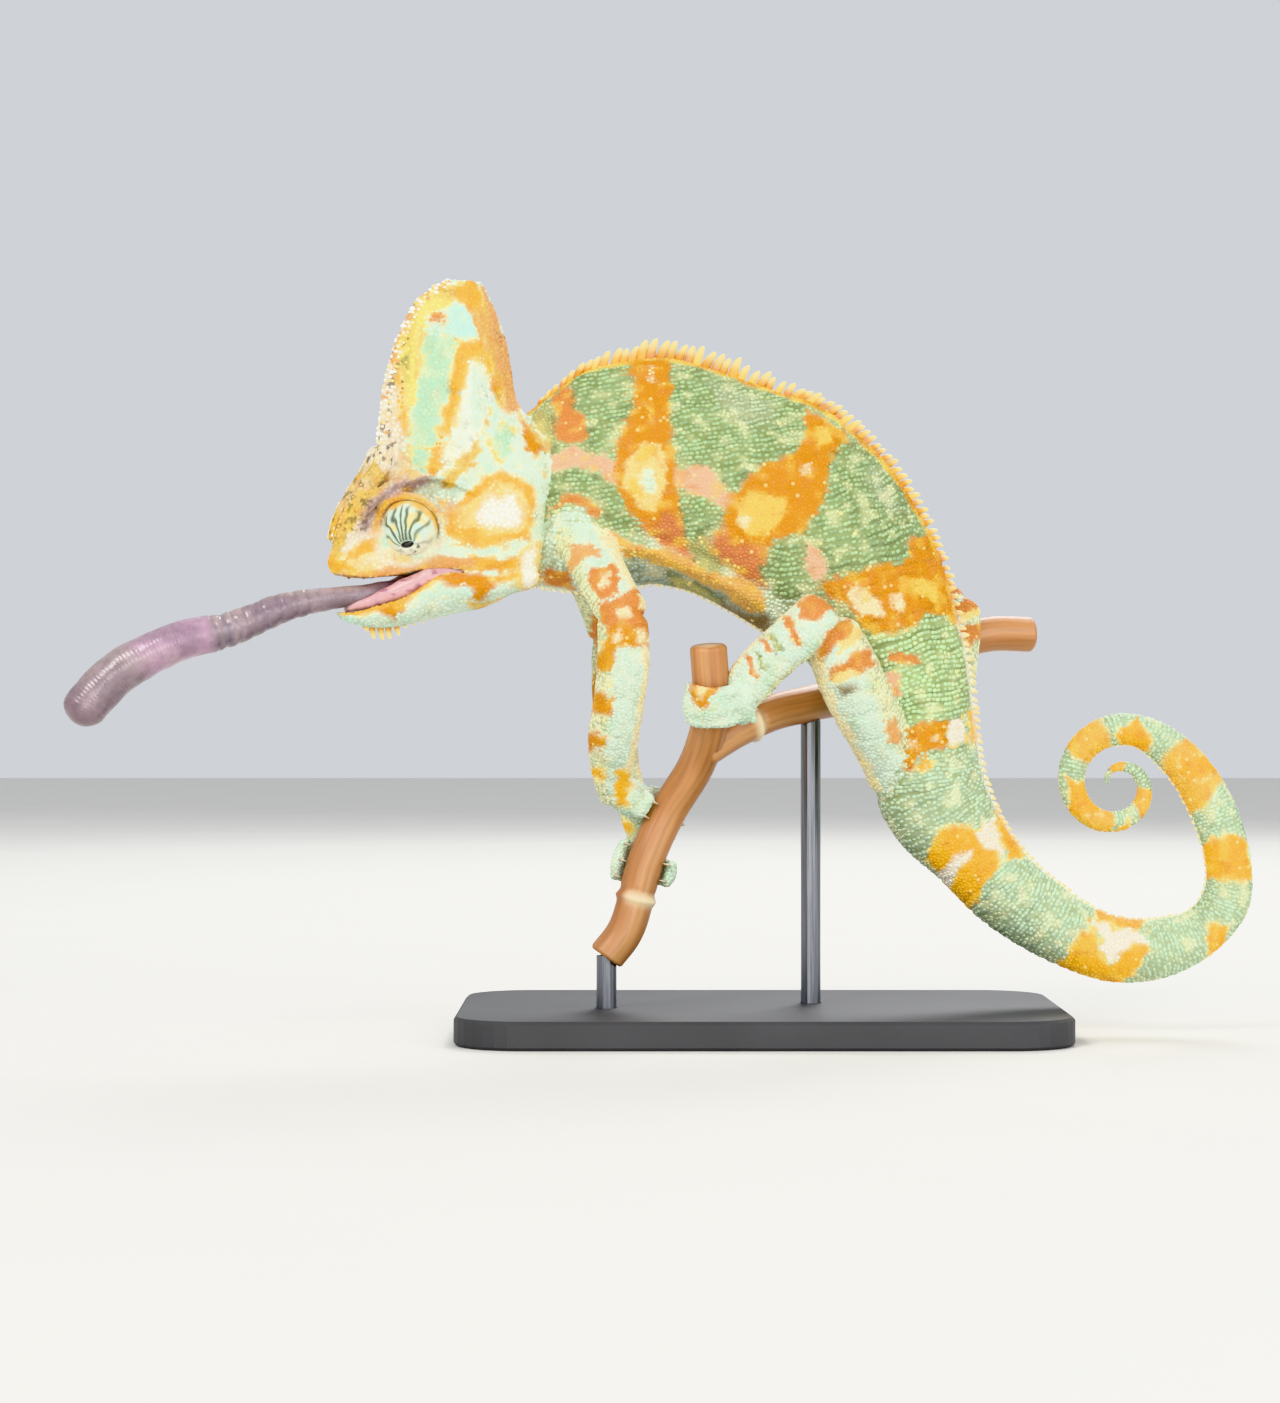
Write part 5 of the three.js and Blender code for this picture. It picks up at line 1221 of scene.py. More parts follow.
def trunk_ground(place):
    """The colour under the marks: green on the flanks, paler below and down the tail."""
    colour = ground(place, "base")
    lay(colour, "belly", smooth(-0.35, -0.95, place.height))
    tail = smooth(12, 17, place.station)
    lay(colour, "tail_green", tail)
    lay(colour, "green", smooth(-0.1, 0.6, noise(place.points, 7, 12)) * (0.4 - 0.3 * tail))
    bands = smooth(0.15, 0.55, np.sin(place.station * 2.1 + noise(place.points, 9, 4)))
    lay(colour, "orange_yellow", smooth(25, 27, place.station) * bands * 0.85)
    return colour


def back_band(place, colour):
    """The broken band of yellow and orange at the foot of the crest."""
    edge = 0.965 + 0.03 * noise(place.points, 3, 14) - 0.03 * smooth(4, 9, place.station)
    band = smooth(edge - 0.02, edge + 0.02, place.height) * smooth(21, 17, place.station)
    warm = ground(place, "yellow")
    lay(warm, "orange", smooth(-0.3, 0.3, noise(place.points, 4, 15)))
    lay(colour, warm, band * smooth(13, 10, place.station) * 0.85)
    lay(colour, "tail_cream", band * smooth(11, 13, place.station) * 0.6)


def grooves(place):
    """The wavy grooves between the rows of scales on the hips and tail, from 0 to 1; painted shade darkens
    them.
    """
    field, _ = row_field(place)
    lines = smooth(0.35, 0.95, np.cos(2 * math.pi * (field - 0.6) / 2.4))
    broken = smooth(-0.5, 0.1, noise(place.points, 4, 84))
    where = (0.4 + 0.6 * smooth(7, 10, place.station)) * smooth(23, 19, place.station)
    return lines * broken * where * (place.region == NUMBER["trunk"])


def limb_length(place):
    """How far down its limb each point is, in millimetres."""
    length = np.zeros(len(place.points))
    for name, rows in LIMBS.items():
        here = place.region == NUMBER[name]
        length[here] = place.share[here] * run_of(np.array(rows)[:, :3])[-1]
    return length


def limb_ground(place):
    """Pale mint limbs, cream down one edge and finely lined across the other."""
    colour = ground(place, "pale_mint")
    lay(colour, "mint", smooth(0.0, 0.7, noise(place.points, 5, 2)) * 0.6)
    arms = place.among("arm")
    facing = np.where(arms, np.abs(place.turn), math.pi - np.abs(place.turn))
    facing += 0.25 * noise(place.points, 2, 31)
    leg = place.region < FIRST_FOOT
    front = smooth(1.9, 2.4, facing) * leg
    run = limb_length(place)
    comb = smooth(0.3, 0.9, np.cos(2 * math.pi * run / 1.15 + 2.2 * noise(place.points, 2.5, 32)))
    fine = smooth(0.75, 1, np.cos(2 * math.pi * run / 1.3 + 3 * noise(place.points, 3, 33)))
    lay(colour, "cream", smooth(0.8, 0.45, facing) * leg * 0.85)
    lay(colour, "pale_yellow", front * 0.35)
    lay(colour, "dark", front * comb * 0.5)
    lay(colour, "grey_mint", fine * 0.3)
    return colour


def head_ground(place):
    """The head's colours under its marks: mint, warm on the snout and pale up the front of the casque."""
    ahead, _, height = place.head.T
    colour = ground(place, "pale_mint")
    lay(colour, "grey_mint", smooth(-0.2, 0.4, noise(place.points, 4, 8)) * 0.35)
    lay(colour, "cyan", smooth(0.0, 0.5, noise(place.points, 5, 17)) * 0.45)
    rear = smooth(0.25, 0.55, noise(place.points, 3.2, 18)) * smooth(24, 14, ahead)
    lay(colour, "orange_yellow", rear * 0.6)
    snout = smooth(44.5, 47, ahead + 0.12 * (height - 130))
    snout *= smooth(117, 120, height) * smooth(149, 145, height)
    warm = ground(place, "soft_yellow")
    lay(warm, "beige", smooth(-0.4, 0.3, noise(place.points, 3, 28)))
    lay(warm, "orange_yellow", smooth(134, 126, height + noise(place.points, 3, 29)) * 0.8)
    lay(colour, warm, snout)
    lay(colour, "pink_white", smooth(40, 43.5, ahead + 0.16 * (height - 146)) * smooth(143, 147, height))
    return colour


def head_specks(place, colour):
    """Small dark specks between the scales of the casque's front edge, the snout and the temple."""
    ahead, _, height = place.head.T
    front = 1.15 * smooth(38.5, 41.5, ahead + 0.14 * (height - 146)) * smooth(139, 143, height)
    snout = smooth(46, 50, ahead) * smooth(121, 125, height) * 0.8
    temple = smooth(0.2, 0.5, noise(place.points, 5, 72)) * smooth(122, 130, height) * smooth(36, 28, ahead)
    share = np.clip(np.maximum(front, np.maximum(snout, temple * 0.56)), 0, 1)
    lay(colour, "speck", smooth(0.2, 0.34, noise(place.points, 0.85, 71)) * share * 0.8)


def lining_of(place, normals):
    """How far each point belongs to the wet lining of the mouth, from 0 to 1."""
    ahead, left, height = place.head.T
    edge = np.interp(ahead, [5, 55], [13.2, 1.0])  # half the width of the lining
    inner = smooth(0, 1.2, edge - np.abs(left)) * smooth(56.5, 54.5, ahead) * smooth(4, 8, ahead)
    above = smooth(-0.35, -0.75, normals[:, 2]) * smooth(119, 117, height)
    below = smooth(0.15, 0.5, normals[:, 2])
    lined = np.where(place.region == NUMBER["head"], above, 0)
    return np.maximum(lined, np.where(place.region == NUMBER["jaw"], below, 0)) * inner


def eye_ring(place, colour):
    """A gold ring of folded skin round each eye, and a mauve arch outside its upper front."""
    ahead, left, _ = place.head.T
    for side in (1, -1):
        centre, gaze = eye_axis(side)
        offset = place.points - centre
        deep = (offset * gaze).sum(1)
        reach = np.linalg.norm(offset - deep[:, None] * gaze, axis=1) + 0.25 * noise(place.points, 1.8, 36)
        near = (place.region == NUMBER["head"]) & (deep > -4.5) & (np.abs(left) > 4) & (left * side > 0)
        front = ahead - EYE["ahead"]
        arch = smooth(-1.0, 2.5, offset[:, 2] + 0.25 * front)
        outer = np.exp(-((reach - EYE["radius"] - 3.3) / 1.7) ** 2) * near * arch
        lay(colour, "mauve", outer * 0.95)
        lay(colour, INK["mauve"] * 0.62, outer * smooth(0.1, 0.6, noise(place.points, 1.0, 37)) * 0.6)
        upper = smooth(-4, 3, offset[:, 2] + front * 0.4)
        warm = ground(place, "pink_white")
        lay(warm, "orange_yellow", upper)
        ring = np.exp(-((reach - EYE["radius"] - 0.9) / 0.75) ** 2) * near
        lay(colour, warm, ring * 0.9)
        lay(colour, "orange_brown", ring * smooth(0.2, 0.8, noise(place.points, 1.1, 35)) * 0.5 * upper)
        # Painted shade in the crease where the ring meets the turret.
        inner = np.exp(-((reach - EYE["radius"] - 0.1) / 0.3) ** 2) * near
        lay(colour, INK["olive"] * 0.6, inner * smooth(-0.3, 0.2, noise(place.points, 2.2, 38)) * 0.35)


def tracery(points, size, seed, width=0.1):
    """Thin wandering lines, such as the seams between groups of scales, from 0 to 1."""
    return smooth(width, width * 0.3, np.abs(noise(points, size, seed)))


def mottled(colour, points, strength):
    """Warm inks drift between yellow and brown, and cool ones between cream and olive."""
    warm = smooth(0.1, 0.35, colour[:, 0] - colour[:, 2]) * strength
    cool = smooth(-0.02, 0.1, colour[:, 1] - colour[:, 0]) * strength
    light = smooth(0.05, 0.7, noise(points, 2.3, 61))
    dark = smooth(0.1, 0.75, noise(points, 1.6, 62))
    seams = tracery(points, 1.7, 64) * smooth(-0.2, 0.3, noise(points, 5, 65))
    lay(colour, "yellow", 0.5 * warm * light)
    lay(colour, "orange_brown", 0.45 * warm * dark)
    lay(colour, "cream", 0.35 * cool * light)
    lay(colour, "olive_green", 0.3 * cool * dark)
    lay(colour, "orange_brown", 0.4 * warm * seams)
    lay(colour, "olive_green", 0.22 * cool * seams)


def colours_of(place):
    """The colour of each place, which the skin and the scales on it share."""
    region = place.region
    trunk = region == NUMBER["trunk"]
    limbs = region >= FIRST_LIMB
    face = np.isin(region, members("head", "jaw"))
    colour = trunk_ground(place)
    colour[limbs] = limb_ground(place)[limbs]
    colour[face] = head_ground(place)[face]
    paint(colour, place.flat, TRUNK_MARKS, trunk)
    band = colour.copy()
    back_band(place, band)
    colour[trunk] = band[trunk]
    paint(colour, place.flat, HEAD_MARKS, region == NUMBER["head"], warp=0.95, soft=0.35)
    paint(colour, place.flat, HEAD_MARKS[-1:], trunk)
    paint(colour, place.flat, JAW_MARKS, region == NUMBER["jaw"], warp=0.5, soft=0.4)
    comb = noise(np.column_stack([limb_length(place), 0 * place.share, 0 * place.share]), 0.8, 34)
    spiked = place.flat + 1.1 * comb[:, None] * np.array([1.0, 0.25])
    paint(colour, spiked, ARM_MARKS, np.isin(region, members("arm", "forefoot")))
    paint(colour, spiked, LEG_MARKS, np.isin(region, members("thigh", "shin", "hindfoot")))
    eye_ring(place, colour)
    mottled(colour, place.points, np.where(limbs, 0.5, 1.0))
    green = 0.3 + 0.7 * greenness(colour)
    # Painted shade in the grooves between the rows of scales, where the skin is green.
    lay(colour, "dark", grooves(place) * green * smooth(20, 8, place.station) * 0.5)
    dotted = colour.copy()
    head_specks(place, dotted)
    colour[face] = dotted[face]
    return colour


def greenness(colour):
    """How far each colour is the green of the flanks, from 0 to 1."""
    return smooth(0.0, 0.1, colour[:, 1] - colour[:, 0] - 0.02) * smooth(0.7, 0.57, colour[:, 0])


# ---------------------------------------------------------------- folds and the coat's regions

# The raised fold that runs down each flank, on the square view of the left side.
FLANK_FOLD = [(-40, 122.6), (-32, 121.8), (-24, 119.4), (-16, 116), (-8, 112), (0, 107.4), (6, 102)]


def line_distance(flat, line):
    """Distance to an open line, and how far along it the nearest place is."""
    nearest, share = np.full(len(flat), 1e9), np.zeros(len(flat))
    line = np.array(line, float)
    for i, (a, b) in enumerate(zip(line[:-1], line[1:])):
        edge = b - a
        s = np.clip((flat - a) @ edge / (edge @ edge), 0, 1)
        gap = np.linalg.norm(flat - a - s[:, None] * edge, axis=1)
        closer = gap < nearest
        nearest[closer] = gap[closer]
        share[closer] = (i + s[closer]) / (len(line) - 1)
    return nearest, share


def fold_depth(place):
    """How far the skin sinks in its folds, in millimetres, and rises where it is less than nought."""
    line = place.station + 0.22 * noise(place.points, 5, 42)
    pitch = np.interp(line, [0, 16, 24, LAST], [0.42, 0.4, 0.34, 0.3])
    rings = smooth(0.35, 1.0, np.cos(2 * math.pi * line / pitch))
    trunk = place.region == NUMBER["trunk"]
    depth = rings * smooth(15, 20, place.station) * 0.14 + 0.22 * grooves(place)
    depth += 0.3 * noise(place.points, 7, 44) * smooth(0.9, 0.6, np.abs(place.height))
    gap, share = line_distance(place.flat, FLANK_FOLD)
    reach = np.sin(math.pi * np.clip(share, 0.02, 0.98)) ** 0.5
    depth -= 1.1 * np.exp(-(gap / 1.7) ** 2) * reach
    depth += 0.5 * np.exp(-((gap - 3.4) / 1.3) ** 2) * reach
    depth = np.where(trunk, depth, 0)
    limbs = (place.region >= FIRST_LIMB) & (place.region < FIRST_FOOT)
    creases = np.cos(place.share * 46 + 2.6 * noise(place.points, 4, 43))
    depth = np.where(limbs, smooth(0.5, 1.0, creases) * 0.16 + 0.1 * noise(place.points, 3, 45), depth)
    return depth


def unwrap_of(place):
    """A place on a flat sheet for each point, with one tile for each length of the body."""
    turn = np.arctan2(place.points[:, 1], np.interp(place.height, [-1, 1], [-9, 9]))
    sheet = np.stack([turn / (2 * math.pi) + 0.5, place.station / LAST], axis=1)
    ahead, left, height = place.head.T
    face = place.among("head", "jaw")
    around = np.arctan2(left, ahead - 22)
    sheet[face] = np.stack([around / (2 * math.pi) + 0.5, (height - 100) / 90], axis=1)[face]
    limbs = place.region >= FIRST_LIMB
    sheet[limbs] = np.stack([place.turn / (2 * math.pi) + 0.5, place.share], axis=1)[limbs]
    feet = place.region >= FIRST_FOOT
    box = (place.points + np.array([60, 40, -30])) / 120
    sheet[feet] = np.stack([box[:, 1] + 0.2 * box[:, 0], box[:, 2] + 0.3 * box[:, 0]], axis=1)[feet]
    return sheet


place = Places(points_of(skin.data))
normals = normals_of(skin.data)
inward = COAT_DEPTH + fold_depth(place)
inward = np.where(place.among("head", "jaw"), HEAD_DEPTH, inward)
set_points(skin.data, place.points - normals * inward[:, None])

guard = skin.vertex_groups.new(name="keep")
for share, chosen in ((1.0, place.region == NUMBER["head"]), (0.6, place.region != NUMBER["head"])):
    guard.add(np.nonzero(chosen)[0].tolist(), share, "REPLACE")
triangles = sum(len(p.vertices) - 2 for p in skin.data.polygons)
thin = skin.modifiers.new("thin", "DECIMATE")
thin.ratio = min(1.0, SKIN_TRIANGLES / triangles)
thin.use_collapse_triangulate = True
evaluated(skin)
skin.vertex_groups.clear()
print("skin triangles", triangles, "->", len(skin.data.polygons))

place = Places(points_of(skin.data))
normals = normals_of(skin.data)
colour = colours_of(place)
lined = lining_of(place, normals)
lay(colour, "mouth", lined)
stain(skin.data, colour)
attribute(skin.data, "lined", "FLOAT", lined)
# How deep the painted shade lies on the skin between the scales: most in the rows of the green patches, none
# on the head.
gap_shade = greenness(colour) * (0.55 + 0.45 * smooth(-0.4, 0.3, noise(place.points, 2.2, 83)))
gap_shade[place.among("head", "jaw")] = 0
gap_shade[place.region >= FIRST_LIMB] *= 0.15
gap_shade *= 1 - 0.5 * smooth(14, 18, place.station)
attribute(skin.data, "gap_shade", "FLOAT", gap_shade)

corners = corners_of(skin.data)
sheet = unwrap_of(place)[corners].reshape(-1, 3, 2)
wrapped = np.ptp(sheet[:, :, 0], axis=1) > 0.5
sheet[wrapped, :, 0] += np.where(sheet[wrapped, :, 0] < 0.5, 1, 0)
TILES = 4  # in a row of the sheet


def tiled(sheet, region):
    """A place on the whole sheet, where each region of the body has a tile."""
    return (sheet * 0.9 + 0.05 + np.stack([region % TILES, region // TILES], axis=-1)) / TILES


tile = place.region[corners].reshape(-1, 3)[:, :1]
sheet = tiled(sheet, np.repeat(tile, 3, axis=1))
attribute(skin.data, "unwrap", "FLOAT2", sheet, "CORNER")

# The coat is laid in patches, so that no piece of it grows too large.
# Spacing of the scales, pitch of their rows, how firmly they keep to the rows, and their height.
PATCHES = {
    "coat_head": (0.98, 1.0, 0.0, 0.1),
    "coat_neck": (0.8, 1.2, 1.0, 0.24),
    "coat_flank_left": (0.8, 1.2, 1.0, 0.24),
    "coat_flank_right": (0.8, 1.2, 1.0, 0.24),
    "coat_hips": (0.8, 1.2, 1.0, 0.22),
    "coat_tail": (0.8, 1.1, 0.9, 0.18),
    "coat_tail_end": (0.74, 1.0, 0.8, 0.15),
    "coat_arms": (0.74, 1.0, 0.5, 0.09),
    "coat_legs": (0.76, 1.0, 0.5, 0.09),
}
corner = place.region[corners].reshape(-1, 3)[:, 0]
station = place.station[corners].reshape(-1, 3).mean(1)
aside = place.points[corners][:, 1].reshape(-1, 3).mean(1)
inner = lined[corners].reshape(-1, 3).max(1)
order = list(PATCHES)
rules = {
    "coat_head": np.isin(corner, members("head", "jaw")),
    "coat_arms": np.isin(corner, members("arm", "forefoot")),
    "coat_legs": corner != NUMBER["trunk"],
    "coat_neck": station < 3.4,
    "coat_flank_left": (station < 9.5) & (aside < 0),
    "coat_flank_right": station < 9.5,
    "coat_hips": station < 15,
    "coat_tail": station < 22,
}
patch = np.select(list(rules.values()), [order.index(name) for name in rules], order.index("coat_tail_end"))
patch[inner > 0.25] = -1  # no scales on the wet lining
attribute(skin.data, "patch", "INT", patch, "FACE")

# ---------------------------------------------------------------- trees for scales and spines


def plug(tree, socket, value):
    """Link another node's output to a node's socket, or set the socket's value."""
    if isinstance(value, bpy.types.NodeSocket):
        tree.links.new(value, socket)
    else:
        socket.default_value = value


class Tree:
    """A tree of geometry nodes, from its named inputs to its one output."""

    def __init__(self, name, inputs):
        self.tree = bpy.data.node_groups.new(name, "GeometryNodeTree")
        face = self.tree.interface
        face.new_socket("Geometry", in_out="OUTPUT", socket_type="NodeSocketGeometry")
        face.new_socket("Geometry", in_out="INPUT", socket_type="NodeSocketGeometry")
        for label, kind in inputs.items():
            face.new_socket(label, in_out="INPUT", socket_type="NodeSocket" + kind)
        self.start = self.tree.nodes.new("NodeGroupInput").outputs

    def add(self, kind, settings=None, **sockets):
        node = self.tree.nodes.new(kind)
        for key, value in (settings or {}).items():
            setattr(node, key, value)
        for label, value in sockets.items():
            socket = next(s for s in node.inputs if s.enabled and s.name.replace(" ", "_") == label)
            plug(self.tree, socket, value)
        return next(s for s in node.outputs if s.enabled)

    def named(self, name, kind="FLOAT"):
        return self.add("GeometryNodeInputNamedAttribute", {"data_type": kind}, Name=name)

    def on_roots(self):
        """The shape set on each root, standing along out and leaning along lean, as real faces."""
        roots, shape = list(self.start)[:2]
        info = self.tree.nodes.new("GeometryNodeObjectInfo")
        info.inputs["As Instance"].default_value = True
        self.tree.links.new(shape, info.inputs["Object"])
        upright = self.add("FunctionNodeAlignRotationToVector", {"axis": "Z"},
                           Vector=self.named("out", "FLOAT_VECTOR"))
        turned = self.add("FunctionNodeAlignRotationToVector", {"axis": "X", "pivot_axis": "Z"},
                          Rotation=upright, Vector=self.named("lean", "FLOAT_VECTOR"))
        points = self.add("GeometryNodeMeshToPoints", Mesh=roots)
        instances = self.add("GeometryNodeInstanceOnPoints", Points=points, Instance=info.outputs["Geometry"],
                             Rotation=turned, Scale=self.named("size", "FLOAT_VECTOR"))
        return self.add("GeometryNodeRealizeInstances", Geometry=instances)

    def finish(self, geometry, material):
        done = self.add("GeometryNodeSetMaterial", Geometry=geometry, Material=material)
        out = self.tree.nodes.new("NodeGroupOutput")
        self.tree.links.new(done, out.inputs[0])
        return self.tree


def grow(obj, tree, values):
    """The object's mesh after the tree has run on it with these inputs."""
    modifier = obj.modifiers.new("grow", "NODES")
    modifier.node_group = tree
    for item in tree.interface.items_tree:
        if item.in_out == "INPUT" and item.name in values:
            modifier[item.identifier] = values[item.name]
    return evaluated(obj)


def scale_shape(name, sides=6):
    """A low closed dome, one across and one high."""
    turn = turns(sides)
    points = [(math.cos(a), math.sin(a), -0.5) for a in turn]
    points += [(0.78 * math.cos(a + 0.1), 0.78 * math.sin(a + 0.1), 0.62) for a in turn]
    points.append((0, 0, 1))
    faces = [list(range(sides))[::-1]]
    faces += [[i, (i + 1) % sides, sides + (i + 1) % sides, sides + i] for i in range(sides)]
    faces += [[sides + i, sides + (i + 1) % sides, 2 * sides] for i in range(sides)]
    shape = mesh_object(name, np.array(points) / MM, faces)
    attribute(shape.data, "local", "FLOAT_VECTOR", np.array(points))
    return shape


BAKE_HALF = 0.0015  # half the width of a scale's patch on the sheet for baking


def scale_tree(material):
    """One scale on each root, with its own patch of the sheet for baking."""
    t = Tree("Scales on roots", {"Shape": "Object"})
    whole = t.on_roots()
    local = t.add("ShaderNodeVectorMath", {"operation": "SCALE"},
                  Vector=t.named("local", "FLOAT_VECTOR"), Scale=BAKE_HALF)
    spot = t.add("ShaderNodeVectorMath", {"operation": "ADD"}, Vector=t.named("sheet", "FLOAT_VECTOR"))
    t.tree.links.new(local, spot.node.inputs[1])
    mapped = t.add("GeometryNodeStoreNamedAttribute", {"data_type": "FLOAT2", "domain": "CORNER"},
                   Geometry=whole, Name="OFBake", Value=spot)
    return t.finish(mapped, material)


def spine_tree(material):
    """One shape set on each root."""
    t = Tree("Shapes on roots", {"Shape": "Object"})
    return t.finish(t.on_roots(), material)


# ---------------------------------------------------------------- materials


class Look:
    """A material of procedural nodes round one Principled BSDF."""

    def __init__(self, name, **constants):
        self.material = bpy.data.materials.new(name)
        self.material.use_nodes = True
        self.tree = self.material.node_tree
        self.shader = self.tree.nodes["Principled BSDF"]
        for label, value in constants.items():
            self.shader.inputs[label.replace("_", " ")].default_value = value

    def add(self, kind, settings=None, out=0, **sockets):
        node = self.tree.nodes.new(kind)
        for key, value in (settings or {}).items():
            setattr(node, key, value)
        for label, value in sockets.items():
            if label.startswith("in"):
                socket = node.inputs[int(label[2:])]
            else:
                socket = node.inputs[label.replace("_", " ")]
            plug(self.tree, socket, value)
        return node.outputs[out]

    def place(self):
        return self.add("ShaderNodeTexCoord", out="Object")

    def noise(self, size, detail=2.0):
        """Noise from 0 to 1 with features of a size in millimetres."""
        return self.add("ShaderNodeTexNoise", Vector=self.place(), Scale=1000.0 / size, Detail=detail)

    def ramp(self, value, stops):
        node = self.add("ShaderNodeValToRGB", Fac=value).node
        node.color_ramp.elements[0].position = stops[0][0]
        node.color_ramp.elements[1].position = stops[-1][0]
        for at, _ in stops[1:-1]:
            node.color_ramp.elements.new(at)
        for element, (_, shade) in zip(node.color_ramp.elements, stops):
            element.color = (*shade, 1) if len(np.shape(shade)) else (shade, shade, shade, 1)
        return node.outputs[0]

    def mix(self, share, a, b, kind="MIX"):
        return self.add("ShaderNodeMix", {"data_type": "RGBA", "blend_type": kind}, out=2,
                        in0=share, in6=a, in7=b)

    def feed(self, label, socket):
        self.tree.links.new(socket, self.shader.inputs[label])

    def grouped(self, tree, **values):
        """A shared group placed in this material with its own values."""
        node = self.tree.nodes.new("ShaderNodeGroup")
        node.node_tree = tree
        for label, value in values.items():
            plug(self.tree, node.inputs[label], value)
        return node.outputs

    def mottled(self, colour, size, dark, light, share):
        return self.grouped(MOTTLE, Place=self.place(), Colour=colour, Density=1000.0 / size,
                            Dark=dark, Light=light, Share=share)["Colour"]

    def grained(self, size, smoothest, roughest, distance, strength):
        """Grain of a size in millimetres, in the bump and the roughness."""
        made = self.grouped(GRAIN, Place=self.place(), Density=1000.0 / size,
                            Smoothest=smoothest, Roughest=roughest)
        self.bump(made["Height"], distance, strength)
        self.feed("Roughness", made["Roughness"])
        return made["Roughness"]

    def bump(self, height, distance, strength):
        bump = self.add("ShaderNodeBump", Height=height, Distance=distance * MM, Strength=strength)
        self.feed("Normal", bump)

    def marked(self, name, out="Fac"):
        """An attribute of the mesh."""
        return self.add("ShaderNodeAttribute", {"attribute_name": name}, out=out)

    def coloured(self, value, *stops):
        """Base colour that follows a value: at each stop, a place and a colour in 0-255."""
        self.feed("Base Color", self.ramp(value, [(at, srgb(*shade)) for at, shade in stops]))


def rgba(colour):
    return (*(float(c) for c in colour), 1.0)


def shader_group(name, inputs, outputs):
    """An empty shader node group, its input sockets by name and its output node."""
    tree = bpy.data.node_groups.new(name, "ShaderNodeTree")
    for way, sockets in (("INPUT", inputs), ("OUTPUT", outputs)):
        for label, kind in sockets.items():
            tree.interface.new_socket(label, in_out=way, socket_type="NodeSocket" + kind)
    return tree, tree.nodes.new("NodeGroupInput").outputs, tree.nodes.new("NodeGroupOutput").inputs


def wired(tree, kind, settings=None, **sockets):
    """A node in a group; sockets are given as inN, by number."""
    node = tree.nodes.new(kind)
    for key, value in (settings or {}).items():
        setattr(node, key, value)
    for label, value in sockets.items():
        plug(tree, node.inputs[int(label[2:])], value)
    return node


def mottle_group():
    """A colour, darker and lighter in clouds of a given size."""
    tree, given, made = shader_group(
        "Mottled colour",
        {
            "Place": "Vector", "Colour": "Color", "Density": "Float",
            "Dark": "Float", "Light": "Float", "Share": "Float",
        },
        {"Colour": "Color"},
    )
    cloud = wired(tree, "ShaderNodeTexNoise", in0=given["Place"], in2=given["Density"], in3=3.0)
    level = wired(tree, "ShaderNodeMapRange", in0=cloud.outputs[0], in1=0.3, in2=0.7,
                  in3=given["Dark"], in4=given["Light"])
    mixed = wired(tree, "ShaderNodeMix", {"data_type": "RGBA", "blend_type": "MULTIPLY"},
                  in0=given["Share"], in6=given["Colour"], in7=level.outputs[0])
    tree.links.new(mixed.outputs[2], made["Colour"])
    return tree


def grain_group():
    """A fine grain: its height for a bump, and how rough the surface is with it."""
    tree, given, made = shader_group(
        "Fine grain",
        {"Place": "Vector", "Density": "Float", "Smoothest": "Float", "Roughest": "Float"},
        {"Height": "Float", "Roughness": "Float"},
    )
    cloud = wired(tree, "ShaderNodeTexNoise", in0=given["Place"], in2=given["Density"], in3=2.5)
    level = wired(tree, "ShaderNodeMapRange", in0=cloud.outputs[0], in1=0.2, in2=0.8,
                  in3=given["Smoothest"], in4=given["Roughest"])
    tree.links.new(cloud.outputs[0], made["Height"])
    tree.links.new(level.outputs[0], made["Roughness"])
    return tree


MOTTLE = mottle_group()
GRAIN = grain_group()


def hide_look(name, coat):
    """Living skin, coloured by its markings, with painted shade between the scales; the coat also varies from
    scale to scale.
    """
    look = Look(name, Roughness=0.62, Specular_IOR_Level=0.35, Subsurface_Weight=0.05)
    look.shader.inputs["Subsurface Radius"].default_value = (0.0012, 0.0007, 0.0004)
    look.shader.inputs["Subsurface Scale"].default_value = 0.4
    marks = look.marked("markings", "Color")
    colour = look.mottled(marks, 1.6, 0.78, 1.16, 0.35)
    if coat:
        tint = look.marked("tint")
        shade = look.ramp(tint, [(0.0, 0.68), (0.14, 0.9), (0.6, 1.02), (1.0, 1.16)])
        colour = look.mix(1.0, colour, shade, "MULTIPLY")
        look.grained(0.25, 0.4, 0.58, 0.04, 0.4)
    else:
        # Painted shade: the skin between the scales is darkened, more deeply in the rows of the green
        # patches.
        gap_shade = look.marked("gap_shade")
        gap = look.mix(gap_shade, rgba((0.88, 0.84, 0.78)), rgba((0.6, 0.56, 0.38)))
        deep = look.mix(1.0, colour, gap, "MULTIPLY")
        rough = look.grained(0.35, 0.58, 0.66, 0.1, 0.6)
        wet = look.marked("lined")
        colour = look.mix(wet, deep, marks)
        moist = look.add("ShaderNodeMix", {"data_type": "FLOAT"}, in0=wet, in2=rough, in3=0.22)
        look.feed("Roughness", moist)
    look.feed("Base Color", colour)
    return look.material


def attribute_look(name, rough, **constants):
    """Horn or lid skin, coloured by its markings."""
    look = Look(name, Roughness=rough, **constants)
    marks = look.marked("markings", "Color")
    look.feed("Base Color", look.mottled(marks, 0.7, 0.86, 1.1, 0.8))
    look.grained(0.3, rough - 0.08, rough + 0.1, 0.06, 0.6)
    return look.material


SKIN_LOOK = hide_look("skin_between_scales", coat=False)
COAT_LOOK = hide_look("scales", coat=True)
SPINE_LOOK = attribute_look("horny_spines", 0.5, Subsurface_Weight=0.0)
LID_LOOK = attribute_look("eye_lids", 0.46)
skin.data.materials.clear()
skin.data.materials.append(SKIN_LOOK)


def pupil_look():
    look = Look("pupil", Roughness=0.04, Coat_Weight=1.0, Coat_Roughness=0.02)
    look.coloured(look.noise(0.6), (0.3, (18, 16, 14)), (0.7, (46, 36, 22)))
    return look.material


